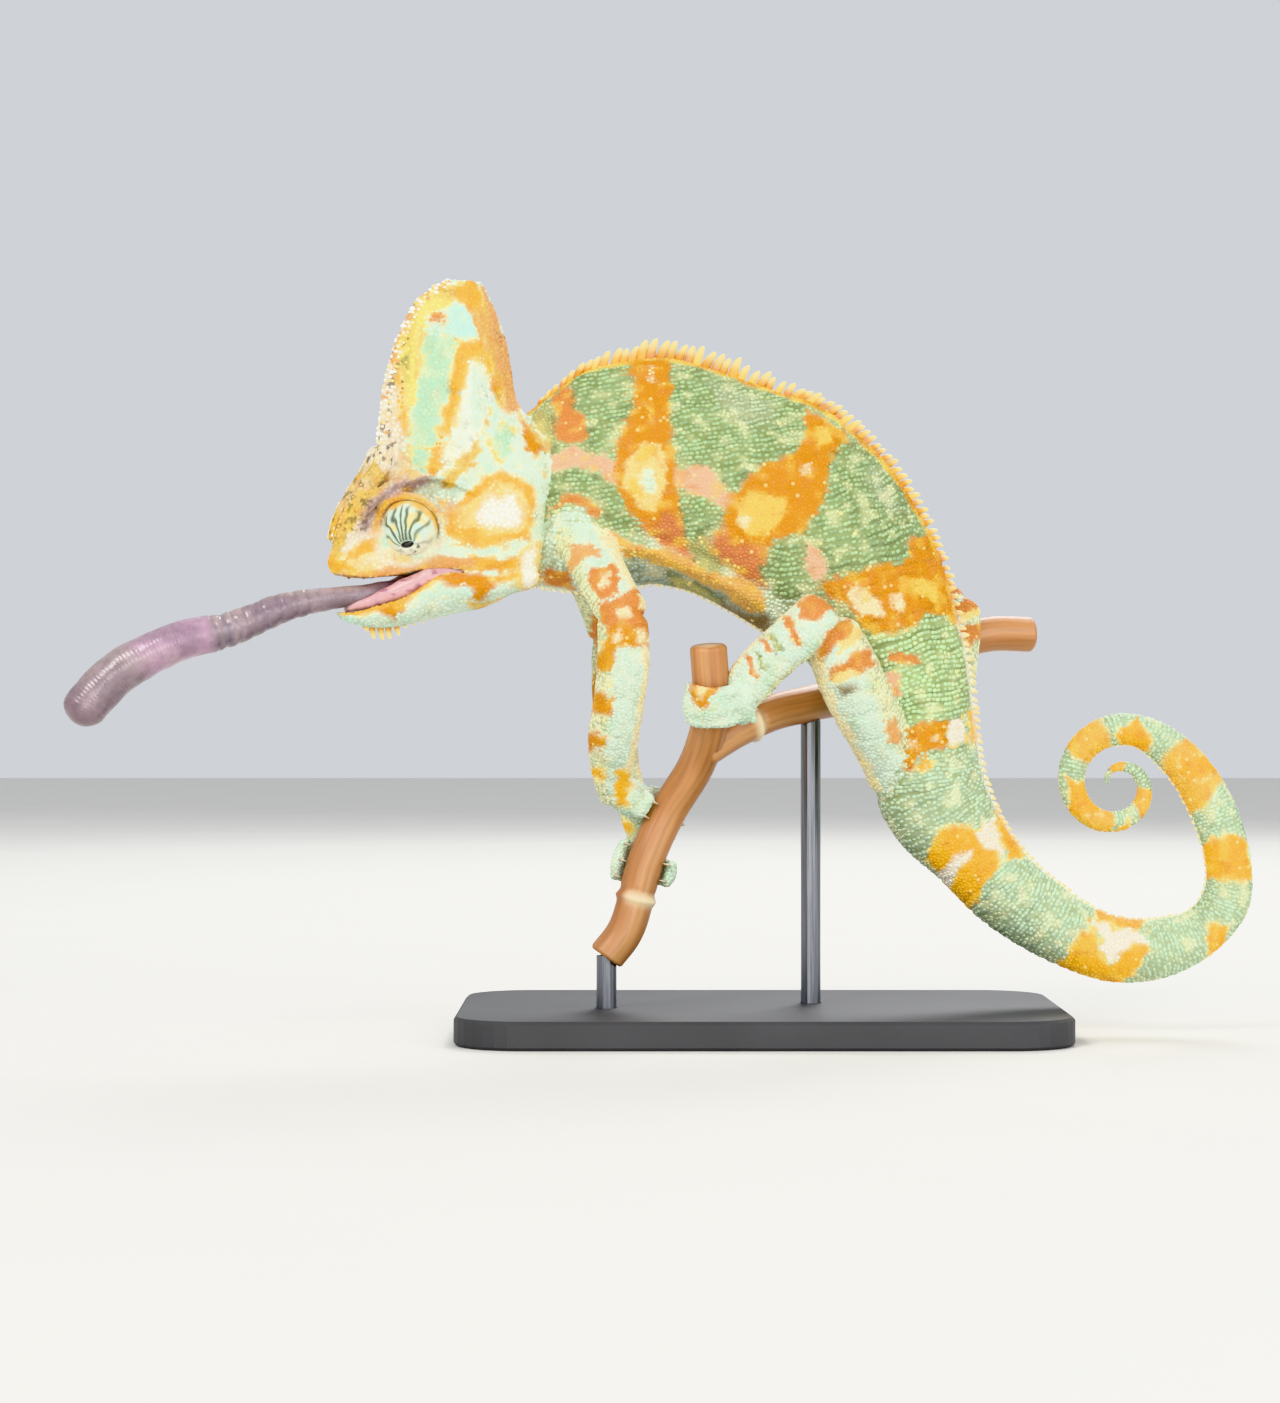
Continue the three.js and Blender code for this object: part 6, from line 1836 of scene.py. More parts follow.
def claw_look():
    look = Look("claw_horn", Roughness=0.35, Coat_Weight=0.2)
    look.coloured(look.noise(0.5, 3.0), (0.3, (160, 146, 118)), (0.7, (206, 196, 168)))
    look.grained(0.5, 0.28, 0.42, 0.04, 0.5)
    return look.material


def tongue_look():
    look = Look("tongue_flesh", Roughness=0.3, Subsurface_Weight=0.12, Coat_Weight=0.35, Coat_Roughness=0.15)
    look.shader.inputs["Subsurface Radius"].default_value = (0.002, 0.0008, 0.0006)
    marks = look.marked("markings", "Color")
    look.feed("Base Color", look.mottled(marks, 1.8, 0.8, 1.12, 0.8))
    look.grained(0.5, 0.26, 0.38, 0.12, 0.5)
    return look.material


def cane_look():
    look = Look("peeled_cane", Roughness=0.42, Coat_Weight=0.15, Coat_Roughness=0.3)
    sheet = look.add("ShaderNodeUVMap", {"uv_map": "length"})
    fine = look.add("ShaderNodeMapping", Vector=sheet, Scale=(1.0, 0.05, 1.0))
    streak = look.add("ShaderNodeTexNoise", Vector=fine, Scale=900.0, Detail=4.0)
    broad = look.add("ShaderNodeTexNoise", Vector=fine, Scale=180.0, Detail=3.0)
    tans = [(0.3, srgb(160, 104, 60)), (0.5, srgb(184, 130, 82)), (0.72, srgb(202, 154, 104))]
    colour = look.ramp(broad, tans)
    lines = look.ramp(streak, [(0.3, 0.72), (0.55, 1.0), (0.75, 1.08)])
    colour = look.mix(0.8, colour, lines, "MULTIPLY")
    marks = look.marked("scar")
    colour = look.mix(marks, colour, rgba(srgb(232, 214, 176)))
    look.feed("Base Color", colour)
    look.bump(streak, 0.08, 0.6)
    return look.material


def rod_look():
    look = Look("brushed_rod", Metallic=1.0, Roughness=0.34)
    drawn = look.add("ShaderNodeMapping", Vector=look.place(), Scale=(1.0, 1.0, 0.02))
    lines = look.add("ShaderNodeTexNoise", Vector=drawn, Scale=2600.0, Detail=3.0)
    look.coloured(lines, (0.3, (112, 114, 120)), (0.7, (150, 152, 158)))
    look.feed("Roughness", look.ramp(lines, [(0.3, 0.28), (0.7, 0.44)]))
    look.bump(lines, 0.02, 0.4)
    return look.material


def base_look():
    look = Look("painted_base", Roughness=0.55)
    look.coloured(look.noise(30.0), (0.3, (58, 58, 60)), (0.7, (66, 66, 68)))
    look.grained(0.35, 0.48, 0.66, 0.05, 0.5)
    return look.material


CAD_LOOKS = {"stand_base": base_look(), "stand_rod_front": rod_look(), "stand_rod_rear": rod_look()}
for node, material in CAD_LOOKS.items():
    for slot in bpy.data.objects[node].material_slots:
        slot.material = material

# ---------------------------------------------------------------- places for the scales


def places_tree():
    """Places strewn evenly over one patch of the skin."""
    t = Tree("Places on skin", {"Patch": "Int", "Spacing": "Float", "Seed": "Int"})
    skin_in, patch_in, spacing, seed = list(t.start)[:4]
    chosen = t.add("FunctionNodeCompare", {"data_type": "INT", "operation": "EQUAL"},
                   A=t.named("patch", "INT"), B=patch_in)
    strewn = t.tree.nodes.new("GeometryNodeDistributePointsOnFaces")
    strewn.distribute_method = "POISSON"
    for label, value in (("Mesh", skin_in), ("Selection", chosen), ("Distance Min", spacing), ("Seed", seed)):
        t.tree.links.new(value, strewn.inputs[label])
    strewn.inputs["Density Max"].default_value = 6.0e6
    spots = t.add("GeometryNodePointsToVertices", Points=strewn.outputs["Points"])
    return t.finish(spots, SKIN_LOOK)


PLACES = places_tree()
STREWN_SEED = 20  # and one more for each patch


def strewn_places(number, spacing):
    cloth = bpy.data.objects.new("strewn", skin.data.copy())
    bpy.context.scene.collection.objects.link(cloth)
    me = grow(cloth, PLACES, {"Patch": number, "Spacing": spacing * MM, "Seed": STREWN_SEED + number})
    points = points_of(me)
    bpy.data.objects.remove(cloth)
    bpy.data.meshes.remove(me)
    return points


skin_points = points_of(skin.data)
skin_normals = normals_of(skin.data)
skin_faces = corners.reshape(-1, 3)
SURFACE = BVHTree.FromPolygons(skin_points.tolist(), skin_faces.tolist())


def on_surface(points):
    """The nearest places of the skin and its smooth normals there."""
    spots, faces = np.empty((len(points), 3)), np.empty(len(points), dtype=np.int64)
    for i, point in enumerate(points):
        spot, _, faces[i], _ = SURFACE.find_nearest(point)
        spots[i] = spot
    rings = skin_faces[faces]
    gap = np.linalg.norm(skin_points[rings] - spots[:, None], axis=2) + 0.02
    weight = (1 / gap)[..., None]
    return spots, unit((skin_normals[rings] * weight).sum(1))


def spread_out(points, reach, push):
    """Points eased away from their close neighbours."""
    tree = tree_of(points)
    moved = points.copy()
    for i, p in enumerate(points):
        for _, j, gap in tree.find_n(p, 5):
            if 1e-6 < gap < reach:
                moved[i] += (p - points[j]) / gap * (reach - gap) * push
    return moved


def thinned(points, gaps):
    """Which points to keep so that none is closer than its gap to one kept before it."""
    tree = tree_of(points)
    keep = np.ones(len(points), bool)
    for i, p in enumerate(points):
        if keep[i]:
            for _, j, _ in tree.find_range(p, gaps[i]):
                if j > i:
                    keep[j] = False
    return keep


# ---------------------------------------------------------------- placing pieces in the frame


def placed(piece, slot, *nodes):
    """Set a finished piece in the frame and hide the parts of the model that it stands for."""
    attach(piece, "root")
    if nodes:
        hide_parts(*nodes)
    return piece


def drop(me, *names):
    for name in names:
        if name in me.attributes:
            me.attributes.remove(me.attributes[name])


def painted(name, points, faces, colours, material, slot, *nodes):
    piece = mesh_object(name, points, faces)
    if colours is not None:
        stain(piece.data, colours)
    piece.data.materials.append(material)
    return placed(piece, slot, *nodes)


# ---------------------------------------------------------------- the coat of scales

DOME = scale_shape("scale")
SCALES = scale_tree(COAT_LOOK)
chance = np.random.default_rng(5)
GREEN_GAP = 0.35  # how much further apart, in spacings, the long scales of the green patches stand


def scale_roots(number, spacing, pitch, hold, height):
    """Where the scales of a patch grow, and their way, size, colour and place on the sheet."""
    points, normals = on_surface(strewn_places(number, spacing))
    place = Places(points)
    colour = colours_of(place)
    green = greenness(colour) * hold
    field, way = row_field(place)
    way = unit(way - (way * normals).sum(1)[:, None] * normals)
    off = np.clip(np.round(field / pitch) * pitch - field, -0.62, 0.62)
    points = points + way * (off * green)[:, None]
    moved = spread_out(points, spacing, 0.3) - points
    points = points + moved - way * ((moved * way).sum(1) * green)[:, None]
    keep = thinned(points, spacing * (0.72 + GREEN_GAP * green))
    points, normals = on_surface(points[keep])
    place, colour, green, way = Places(points), colour[keep], green[keep], way[keep]
    count = len(points)
    swell = chance.uniform(0.9, 1.12, count)
    warm = smooth(0.05, 0.3, colour[:, 0] - colour[:, 2]) * (1 - green)
    knob = (chance.random(count) < 0.02) & (warm > 0.5) & (number > 0)
    round_size = spacing * 0.56 * swell * np.where(knob, 1.3, 1)
    long = green * spacing * (0.7 + 0.7 * GREEN_GAP) * swell + (1 - green) * round_size
    wide = green * pitch * 0.47 * swell + (1 - green) * round_size
    high = height * (0.62 + 0.38 * green) * np.where(knob, 1.5, 1)
    lay(colour, "pale_yellow", knob * 0.6)
    flat = 0.62 if number == 0 else 0.3
    tint = chance.random(count) * (1 - (1 - green) * flat) + (1 - green) * flat * 0.6
    return {
        "place": points, "out": normals, "lean": unit(np.cross(normals, way)),
        "size": np.stack([long, wide, high], axis=1) * MM, "markings": colour, "tint": tint,
        "sheet": np.column_stack([tiled(unwrap_of(place), place.region), np.zeros(count)]),
    }


for number, (name, cover) in enumerate(PATCHES.items()):
    roots = scale_roots(number, *cover)
    coat = mesh_object(name, roots["place"], [], shade=False)
    for label in ("out", "lean", "size", "sheet"):
        attribute(coat.data, label, "FLOAT_VECTOR", roots[label])
    attribute(coat.data, "tint", "FLOAT", roots["tint"])
    stain(coat.data, roots["markings"])
    me = grow(coat, SCALES, {"Shape": DOME})
    if number == 0:
        colour = colours_of(Places(points_of(me)))
        flat = np.column_stack([colour, np.ones(len(colour))]).ravel()
        me.attributes["markings"].data.foreach_set("color", flat)
    drop(me, "out", "lean", "size", "sheet", "local")
    placed(coat, "head_skin" if number == 0 else "skin")
    print(name, len(roots["tint"]), sum(len(p.vertices) - 2 for p in me.polygons))
bpy.data.objects.remove(DOME)

placed(
    skin, "skin",
    "head", "lower_jaw", "neck", "torso_front", "torso_rear", "hips", "tail_base", "tail_middle",
    "tail_bend", "tail_curl", "tail_coil", "tail_tip", *LIMBS, *FEET,
)

# ---------------------------------------------------------------- spines and beads

# Up a spine: share of its height, and of its width.
SPINE_PROFILE = [(-0.45, 1.05), (0.0, 1.0), (0.3, 0.94), (0.6, 0.8), (0.82, 0.62), (0.95, 0.38), (1.0, 0.12)]


def spine_shape(name, bend, sides=8):
    """A blunt spine like a bent finger, one high, one long and one thick at its root."""
    turn = turns(sides)
    rings = []
    for rise, width in SPINE_PROFILE:
        ring = np.stack([np.cos(turn) * width / 2, np.sin(turn) * width / 2, np.full(sides, rise)], axis=1)
        ring[:, 0] += bend * max(rise, 0) ** 1.8
        rings.append(ring)
    points, faces = loft(np.array(rings))
    shape = mesh_object(name, points / MM, faces)
    attribute(shape.data, "rise", "FLOAT", np.clip(points[:, 2], 0, 1))
    return shape


def grown_on_roots(name, shape, material, roots, slot, colours, tips=None):
    """One shape on each root: roots hold place, out, lean and size; tips colours their ends."""
    place, out, lean, size = (np.array(column, float) for column in zip(*roots))
    piece = mesh_object(name, place, [], shade=False)
    for label, values in (("out", unit(out)), ("lean", unit(lean)), ("size", size * MM)):
        attribute(piece.data, label, "FLOAT_VECTOR", values)
    stain(piece.data, colours)
    me = grow(piece, spine_tree(material), {"Shape": shape})
    if tips is not None:
        count = len(me.vertices)
        rise, base = np.empty(count), np.empty(count * 4)
        me.attributes["rise"].data.foreach_get("value", rise)
        me.attributes["markings"].data.foreach_get("color", base)
        base = base.reshape(-1, 4)
        share = smooth(0.1, 0.75, rise + 0.15 * noise(points_of(me), 1.2, 91))[:, None]
        base[:, :3] += (tips - base[:, :3]) * share
        me.attributes["markings"].data.foreach_set("color", base.ravel())
    drop(me, "out", "lean", "size", "rise")
    return placed(piece, slot)


def row_along(line, start, end, pitch):
    """Stations down a line of the trunk, a pitch apart."""
    t = np.arange(start, end, 0.02)
    run = run_of(line(t))
    return np.interp(np.arange(0, run[-1], pitch), run, t)


def back_line(t):
    return trunk_at(t)[0]


def belly_line(t):
    return trunk_at(t)[1]


# The station and the height of the crest there.
CREST_HEIGHT = [
    (0.9, 1.4), (1.8, 3), (2.6, 4.2), (3.6, 4.6), (5.2, 4.5), (6.2, 3.5), (8, 2.7), (10, 2.2), (12, 1.8),
    (17, 1.3), (22, 0.9), (30, 0.5),
]
BELLY_SPINE_HEIGHT = 0.9
draw = np.random.default_rng(7)


def row_of_spines(line, other, start, end, pitch, height_at, rake=0.0):
    """Spines down a line of the trunk, each with its root sunk in the skin."""
    roots = []
    for t in row_along(line, start, end, pitch):
        t += draw.uniform(-0.03, 0.03)
        root, out = line(t)[0], unit(line(t) - other(t))[0]
        lean = unit(line(t + 0.05) - line(t))[0]
        out = unit(out + lean * (rake + draw.uniform(-0.12, 0.12)))
        height = height_at(t) * draw.uniform(0.8, 1.12)
        roots.append((root - out * 0.3, out, lean, (0.85 + height * 0.34, 0.7 + height * 0.22, height)))
    return roots


def crest_height(t):
    return np.interp(t, *zip(*CREST_HEIGHT))


SPINE = spine_shape("spine", 0.42)
crest = row_of_spines(back_line, belly_line, 0.9, 6.4, 2.35, crest_height, 0.12)
crest += row_of_spines(back_line, belly_line, 6.5, 14, 1.95, crest_height, 0.5)
crest += row_of_spines(back_line, belly_line, 14.05, 30, 1.8, crest_height, 0.5)
shades = np.array([INK["orange"], INK["orange_brown"], INK["orange_yellow"], INK["yellow"]])
shades = shades[draw.choice(4, len(crest), p=[0.4, 0.15, 0.25, 0.2])]
under = Places(np.array([root for root, *_ in crest]) - np.array([0, 3.0, 0]))
tail_share = smooth(11, 13, under.station)[:, None]
lay(shades, colours_of(under) * 0.5 + INK["tail_cream"] * 0.5, tail_share)
grown_on_roots("crest_spines", SPINE, SPINE_LOOK, crest, "skin", shades, INK["pale_yellow"])
ventral = row_of_spines(belly_line, back_line, 0.3, 7.5, 1.7, lambda t: BELLY_SPINE_HEIGHT)
creams = np.tile(INK["cream"], (len(ventral), 1))
grown_on_roots("belly_spines", SPINE, SPINE_LOOK, ventral, "skin", creams)

# Under the chin: ahead, and how long each spine is.
CHIN = [
    (48.2, 2.0), (46.2, 3.2), (44.2, 3.7), (42.1, 3.4), (40, 2.6), (38.2, 1.2), (36, 0.9), (33.6, 0.8),
    (31, 0.7), (28, 0.6),
]
gular = []
for ahead, height in CHIN:
    under = np.interp(ahead, *np.array([(row[0], row[2]) for row in JAW[::-1]]).T)
    root = head_point(ahead, draw.uniform(-0.3, 0.3), under + 0.6)
    down = np.array([0, 0, -1.0]) - FORWARD * draw.uniform(-0.1, 0.3)
    gular.append((root, down, -FORWARD, (0.8 + height * 0.26, 0.7 + height * 0.2, height)))
grown_on_roots("chin_spines", SPINE, SPINE_LOOK, gular, "head_skin",
               np.tile(INK["orange"], (len(gular), 1)), INK["pale_yellow"])
bpy.data.objects.remove(SPINE)


def bead_shape(name):
    points, faces = blob((0, 0, 0), (1, 1, 1), rings=6, sides=9)
    return mesh_object(name, points / MM, faces)


BEAD = bead_shape("bead")
edge = curve([(row[0], row[1]) for row in SKULL[2:]], 300)
run = run_of(edge)
beads = []
for along in np.arange(0.4, run[-1], 1.3):
    ahead, height = (np.interp(along, run, edge[:, k]) for k in (0, 1))
    for row, left in enumerate((0, 1.3, -1.3, 2.6, -2.6)):
        wander = draw.uniform(-0.35, 0.35, 3)
        size = draw.uniform(0.3, 0.6) * (1.15 if row == 0 else 0.85)
        back = 0.6 + 0.16 * left * left - 0.3 * wander[0]
        spot = head_point(ahead - back, left + wander[1], height + wander[2])
        beads.append((spot, FORWARD + np.array([0, 0, 0.3]), (0, 0, 1), (size, size * 1.3, size * 0.7)))
for along in np.arange(0, 24, 1.0):
    for side in (1, -1):
        row = spline(CANTHUS, along / 24 * (len(CANTHUS) - 1))[0]
        wander = draw.uniform(-0.25, 0.25, 3)
        size = draw.uniform(0.35, 0.6) * (0.55 if side > 0 else 1)
        out = unit(FORWARD + LEFT * side * 0.6)
        spot = head_point(row[0] + wander[0], side * row[1], row[2] + 0.4 + wander[2]) + out * (row[3] - 0.15)
        beads.append((spot, out, (0, 0, 1), (size, size * 1.2, size * 0.7)))
# Each bead sits half sunk in the skin under its place.
bead_spots, bead_ways = on_surface(np.array([spot for spot, *_ in beads]))
beads = [(spot, out, *rest) for spot, out, (_, _, *rest) in zip(bead_spots, bead_ways, beads)]
bead_inks = np.array([INK["white"], INK["pink_white"], INK["peach"], INK["pale_yellow"]])
bead_inks = bead_inks[draw.choice(4, len(beads), p=[0.3, 0.4, 0.15, 0.15])]
_, bead_left, bead_height = head_coordinates(np.array([spot for spot, *_ in beads]))
bead_inks[(bead_left > 0.5) & (bead_height < 146)] = INK["soft_yellow"] * 0.6 + INK["pale_yellow"] * 0.4
grown_on_roots("casque_beads", BEAD, SPINE_LOOK, beads, "head_skin", bead_inks)
bpy.data.objects.remove(BEAD)

# ---------------------------------------------------------------- eyes

# From the turret's rim to its pupil: share of its radius, and of its bulge.
EYE_SHAPE = [
    (1, 0), (0.93, 0.34), (0.8, 0.6), (0.62, 0.8), (0.44, 0.92), (0.32, 0.98), (0.24, 1.01), (0.17, 1.0),
    (0.1, 0.95),
]
# Folds that run out from the pupil: degrees from the rear of the turret over its top, and strength.
EYE_FOLDS = [
    (-2, 0.75), (31, 1), (60, 0.9), (84, 1), (106, 0.95), (131, 1), (160, 0.75),
    (200, 0.4), (262, 0.25), (318, 0.3),
]
PUPIL_SHIFT = (-0.9, -1.5)  # how far the pupil sits from the turret's middle: across, up
PUPIL_RADII = (1.35, 0.8, 0.7)
SLIT_TILT = math.radians(-14)
GRAIN_PITCH = 0.7  # from one ring of small scales to the next


def eye_turret(side):
    """The cone of fused lids: small scales in rings, and dark folds running out from the pupil."""
    centre, gaze = eye_axis(side)
    across = unit(np.cross(gaze, [0, 0, 1.0])) * side
    up = unit(np.cross(gaze, across)) * -side
    if up[2] < 0:
        up = -up
    profile = curve(EYE_SHAPE, 110)
    profile = np.vstack([[(0.97, -0.38), (0.985, -0.2)], profile])
    around = 220
    turn = turns(around)[None]
    reach, rise = profile[:, :1] * EYE["radius"], profile[:, 1:] * EYE["bulge"]
    share = profile[:, :1] + 0 * turn
    # The rings draw together to a slit that sits a little below the middle and to the front.
    toward = smooth(1.0, 0.15, share)
    flat_x = reach * np.cos(turn) * (1 + 0.5 * smooth(0.4, 0.1, share))
    flat_y = reach * np.sin(turn) * (1 - 0.35 * smooth(0.4, 0.1, share))
    cosine, sine = math.cos(SLIT_TILT), math.sin(SLIT_TILT)
    x = flat_x * cosine - flat_y * sine * toward + PUPIL_SHIFT[0] * toward
    y = flat_y + flat_x * sine * toward + PUPIL_SHIFT[1] * toward
    spot = np.stack([x, y, rise + 0 * turn], axis=-1).reshape(-1, 3)
    wobble = (0.2 * noise(spot, 2.2, 3 + side)).reshape(-1, around)
    folds = np.zeros_like(share)
    for degrees, strength in EYE_FOLDS:
        off = (turn + wobble - math.radians(degrees) + math.pi) % (2 * math.pi) - math.pi
        width = 0.3 + 0.34 * share
        folds = np.maximum(folds, strength * np.exp(-(off * share * EYE["radius"] / width) ** 2))
    folds *= smooth(0.14, 0.24, share) * smooth(0.99, 0.86, share)
    run = run_of(np.hstack([reach, rise]))[:, None]
    cells = np.round(np.maximum(8, reach * 2 * math.pi / 0.8))
    row = np.floor(run / GRAIN_PITCH)
    grain = np.sqrt(np.abs(np.sin(math.pi * run / GRAIN_PITCH) * np.sin(cells * turn / 2 + row * 1.3)))
    swell = (0.09 * grain - 0.34 * folds) * smooth(-0.1, 0.15, rise / EYE["bulge"])
    swell[-3:] = 0
    outward = np.stack([np.cos(turn) * share, np.sin(turn) * share, 1 - 0.6 * share], axis=-1)
    local = np.stack([x, y, rise + 0 * turn], axis=-1) + unit(outward) * swell[..., None]
    grid_points, faces = loft(centre + local @ np.array([across, up, gaze]))
    share, folds, grain = share.ravel(), folds.ravel(), grain.ravel()
    upper = smooth(-0.5, 0.3, np.sin(turn) + np.zeros_like(x)).ravel()
    colour = np.tile(INK["pale_mint"], (len(share), 1))
    lay(colour, "cyan", smooth(0.0, 0.5, noise(spot, 2.4, 8)) * 0.35)
    lay(colour, "pale_yellow", smooth(0.0, 0.5, noise(spot, 2.0, 9)) * 0.8)
    lay(colour, "pink_white", (1 - upper) * 0.75)
    rim = smooth(0.88, 0.99, share + 0.05 * noise(spot, 1.6, 10))
    lay(colour, "orange_yellow", rim * (0.25 + 0.65 * upper))
    dots = smooth(0.35, 0.5, noise(spot, 0.9, 12)) * (1 - upper) * smooth(0.75, 0.5, share)
    lay(colour, INK["dark"] * 0.55, np.clip(np.maximum(folds, 0.75 * dots) * 1.1, 0, 1) * 0.92)
    lay(colour, srgb(40, 34, 26), smooth(0.2, 0.14, share))
    # Painted shade in the hollows between the small scales of the turret.
    colour *= (1 - 0.16 * (1 - grain))[:, None]
    colour = np.vstack([colour, colour[:1], INK["dark"][None]])
    name = "eye_left" if side > 0 else "eye_right"
    painted(name.replace("eye", "eye_turret"), grid_points, faces, colour, LID_LOOK, "eye", name)
    slit = unit(across + up * math.tan(SLIT_TILT))
    middle = centre + across * PUPIL_SHIFT[0] + up * PUPIL_SHIFT[1] + gaze * (EYE["bulge"] * 0.9)
    ball, ball_faces = blob(middle, PUPIL_RADII, [slit, np.cross(gaze, slit), gaze], 16, 28)
    painted(name.replace("eye", "pupil"), ball, ball_faces, None, PUPIL_LOOK, "eye")


PUPIL_LOOK = pupil_look()
for side in (1, -1):
    eye_turret(side)

# ---------------------------------------------------------------- claws

CLAW_RADII = [0.5, 0.34, 0.08]
claw_points, claw_faces = joined([tube(claw, CLAW_RADII, sides=10, pitch=0.3) for claw in CLAWS])
painted("claws", claw_points, claw_faces, None, claw_look(), "skin")

# ---------------------------------------------------------------- tongue

# Down the tongue: x, y, z, radius.
TONGUE = [
    (*head_point(30, 0, 111.2), 1.7),
    (-90.5, -13.6, 110.4, 2.4), (-98.5, -16.2, 109, 2.7), (-106.5, -18.8, 108, 3),
    (-117.5, -22, 105.5, 3.8), (-129.5, -25, 100.5, 4.5), (-141, -28, 97.6, 5),
    (-151, -30, 93, 5.3), (-157.5, -31, 88.5, 5.5), (-163, -32, 82.5, 5.5), (-166.2, -32.5, 77.6, 5.2),
]
# Deep grooves round it: x, width, depth.
TONGUE_GROOVES = [(-133.6, 0.5, 0.3), (-130.9, 0.9, 0.55), (-128.4, 0.45, 0.45), (-121.6, 0.5, 0.3)]
TONGUE_TIP = 4.6  # the length of the round end
TONGUE_LOOK = tongue_look()


def tongue():
    """The shot tongue: a wrinkled shaft that swells to a smooth, blunt pad."""
    rows = np.array(TONGUE, float)
    samples, sides = 520, 48
    line = curve(rows, samples)
    centre, radius = line[:, :3], line[:, 3]
    along = unit(np.gradient(centre, axis=0))
    thick = unit(np.cross(along, [0, 1.0, 0]))
    wide = unit(np.cross(thick, along))
    run = run_of(centre)
    turn = turns(sides)
    spread = wide[:, None] * np.cos(turn)[None, :, None] + thick[:, None] * np.sin(turn)[None, :, None]
    spot = (centre[:, None] + spread * radius[:, None, None]).reshape(-1, 3)
    warp = noise(spot, 5.0, 51).reshape(samples, sides)
    x = centre[:, :1]
    # Faint rings of wrinkles on the shaft, deeper grooves, then a smooth stretch and the pad.
    phase = 2.2 * np.sin(run[:, None] * 0.23) + 1.3 * warp
    rings = (0.5 + 0.5 * np.cos(2 * math.pi * run[:, None] / 3.4 + phase)) ** 3
    rings *= smooth(-129, -125, x) * smooth(-104, -114, x)
    along = x + 0.9 * warp
    deep = sum(share * np.exp(-((along - at) / width) ** 2) for at, width, share in TONGUE_GROOVES)
    fine = 0.5 + 0.5 * np.cos(2 * math.pi * run[:, None] / 0.9 + 1.5 * warp)
    depth = -0.2 * rings - 0.6 * deep - 0.04 * fine
    depth -= 0.16 * noise(spot, 2.6, 52).reshape(samples, sides)
    left_to_go = (run[-1] - run) / TONGUE_TIP
    close = np.where(left_to_go < 1, np.sqrt(np.clip(1 - (1 - left_to_go) ** 2, 0.004, 1)), 1.0)
    reach = (radius[:, None] + depth - 0.15) * close[:, None]
    grid_points, faces = loft(centre[:, None] + spread * reach[..., None])
    colour = np.tile(srgb(134, 116, 122), (samples * sides, 1))
    above = (np.sin(turn)[None] * thick[:, 2:]).ravel()
    x = (x + 0 * turn).ravel()
    # Painted light and shade: lighter on the upper side of the tongue, darker on its under side.
    lay(colour, srgb(170, 150, 146), 0.6 * smooth(0.1, 0.9, above))
    lay(colour, srgb(112, 94, 106), 0.6 * smooth(-0.1, -0.9, above))
    lay(colour, srgb(172, 138, 160), smooth(-154, -148, x) * smooth(-133, -136, x) * 0.8)
    # Painted shade where the tongue runs into the mouth.
    lay(colour, srgb(136, 100, 118), smooth(-98, -90, x) * 0.8)
    lay(colour, srgb(176, 156, 156), 0.4 * smooth(0.0, 0.6, noise(spot, 5, 53)))
    lay(colour, srgb(118, 98, 112), 0.45 * smooth(0.1, 0.7, noise(spot, 7, 54)))
    # Painted shade in the rings of wrinkles and in the deep grooves.
    lay(colour, srgb(118, 98, 112), 0.45 * rings)
    lay(colour, srgb(84, 80, 104), 0.7 * np.clip(deep, 0, 1))
    lay(colour, srgb(116, 92, 102), 0.75 * smooth(-160, -166, x))
    colour = np.vstack([colour, colour[:1], colour[-1:]])
    return painted("tongue", grid_points, faces, colour, TONGUE_LOOK, "tongue", "tongue_shaft", "tongue_pad")


tongue()

# The moist folds beside the tongue and the floor of the mouth: ahead, left, height, radius.
MOUTH_FOLD = [
    (21, 9.4, 114.2, 1.3), (26, 9.6, 114.6, 1.9), (31, 9, 114, 2.4), (37, 7.8, 111.7, 2.5),
    (43, 5.8, 109.2, 2.1), (48, 3.7, 107.1, 1.4), (52.4, 1.5, 105.7, 0.8),
]
MOUTH_FLOOR = [
    (16, 0, 112.4, 4.2), (26, 0, 111.4, 4.6), (36, 0, 108.6, 3.8), (44, 0, 106.4, 2.4), (50, 0, 104.9, 1.1),
]


def mouth_lining():
    """Two soft folds inside the rim of the jaw and the floor between them."""
    forms = []
    for side in (1, -1):
        rows = np.array(MOUTH_FOLD)
        spine = head_point(rows[:, 0], side * rows[:, 1], rows[:, 2])
        forms.append(tube(spine, rows[:, 3], 0.86, wide=(0, 0, 1), sides=40, pitch=0.3))
    rows = np.array(MOUTH_FLOOR)
    spine = head_point(rows[:, 0], rows[:, 1], rows[:, 2])
    forms.append(tube(spine, rows[:, 3] * 1.6, 0.5, wide=LEFT, sides=40, pitch=0.4))
    points, faces = joined(forms)
    points = points + 0.22 * noise(points, 2.2, 95)[:, None] * np.array([0, -0.4, 1.0])
    colour = np.tile(srgb(206, 162, 164), (len(points), 1))
    lay(colour, srgb(236, 200, 202), 0.7 * smooth(0.1, 0.6, noise(points, 2.6, 96)))
    vein = smooth(0.25, 0.6, noise(points * np.array([1, 1, 2.4]), 2.0, 97))
    lay(colour, srgb(150, 92, 112), 0.7 * vein)
    return painted("mouth_lining", points, faces, colour, TONGUE_LOOK, "tongue")


mouth_lining()

# ---------------------------------------------------------------- canes


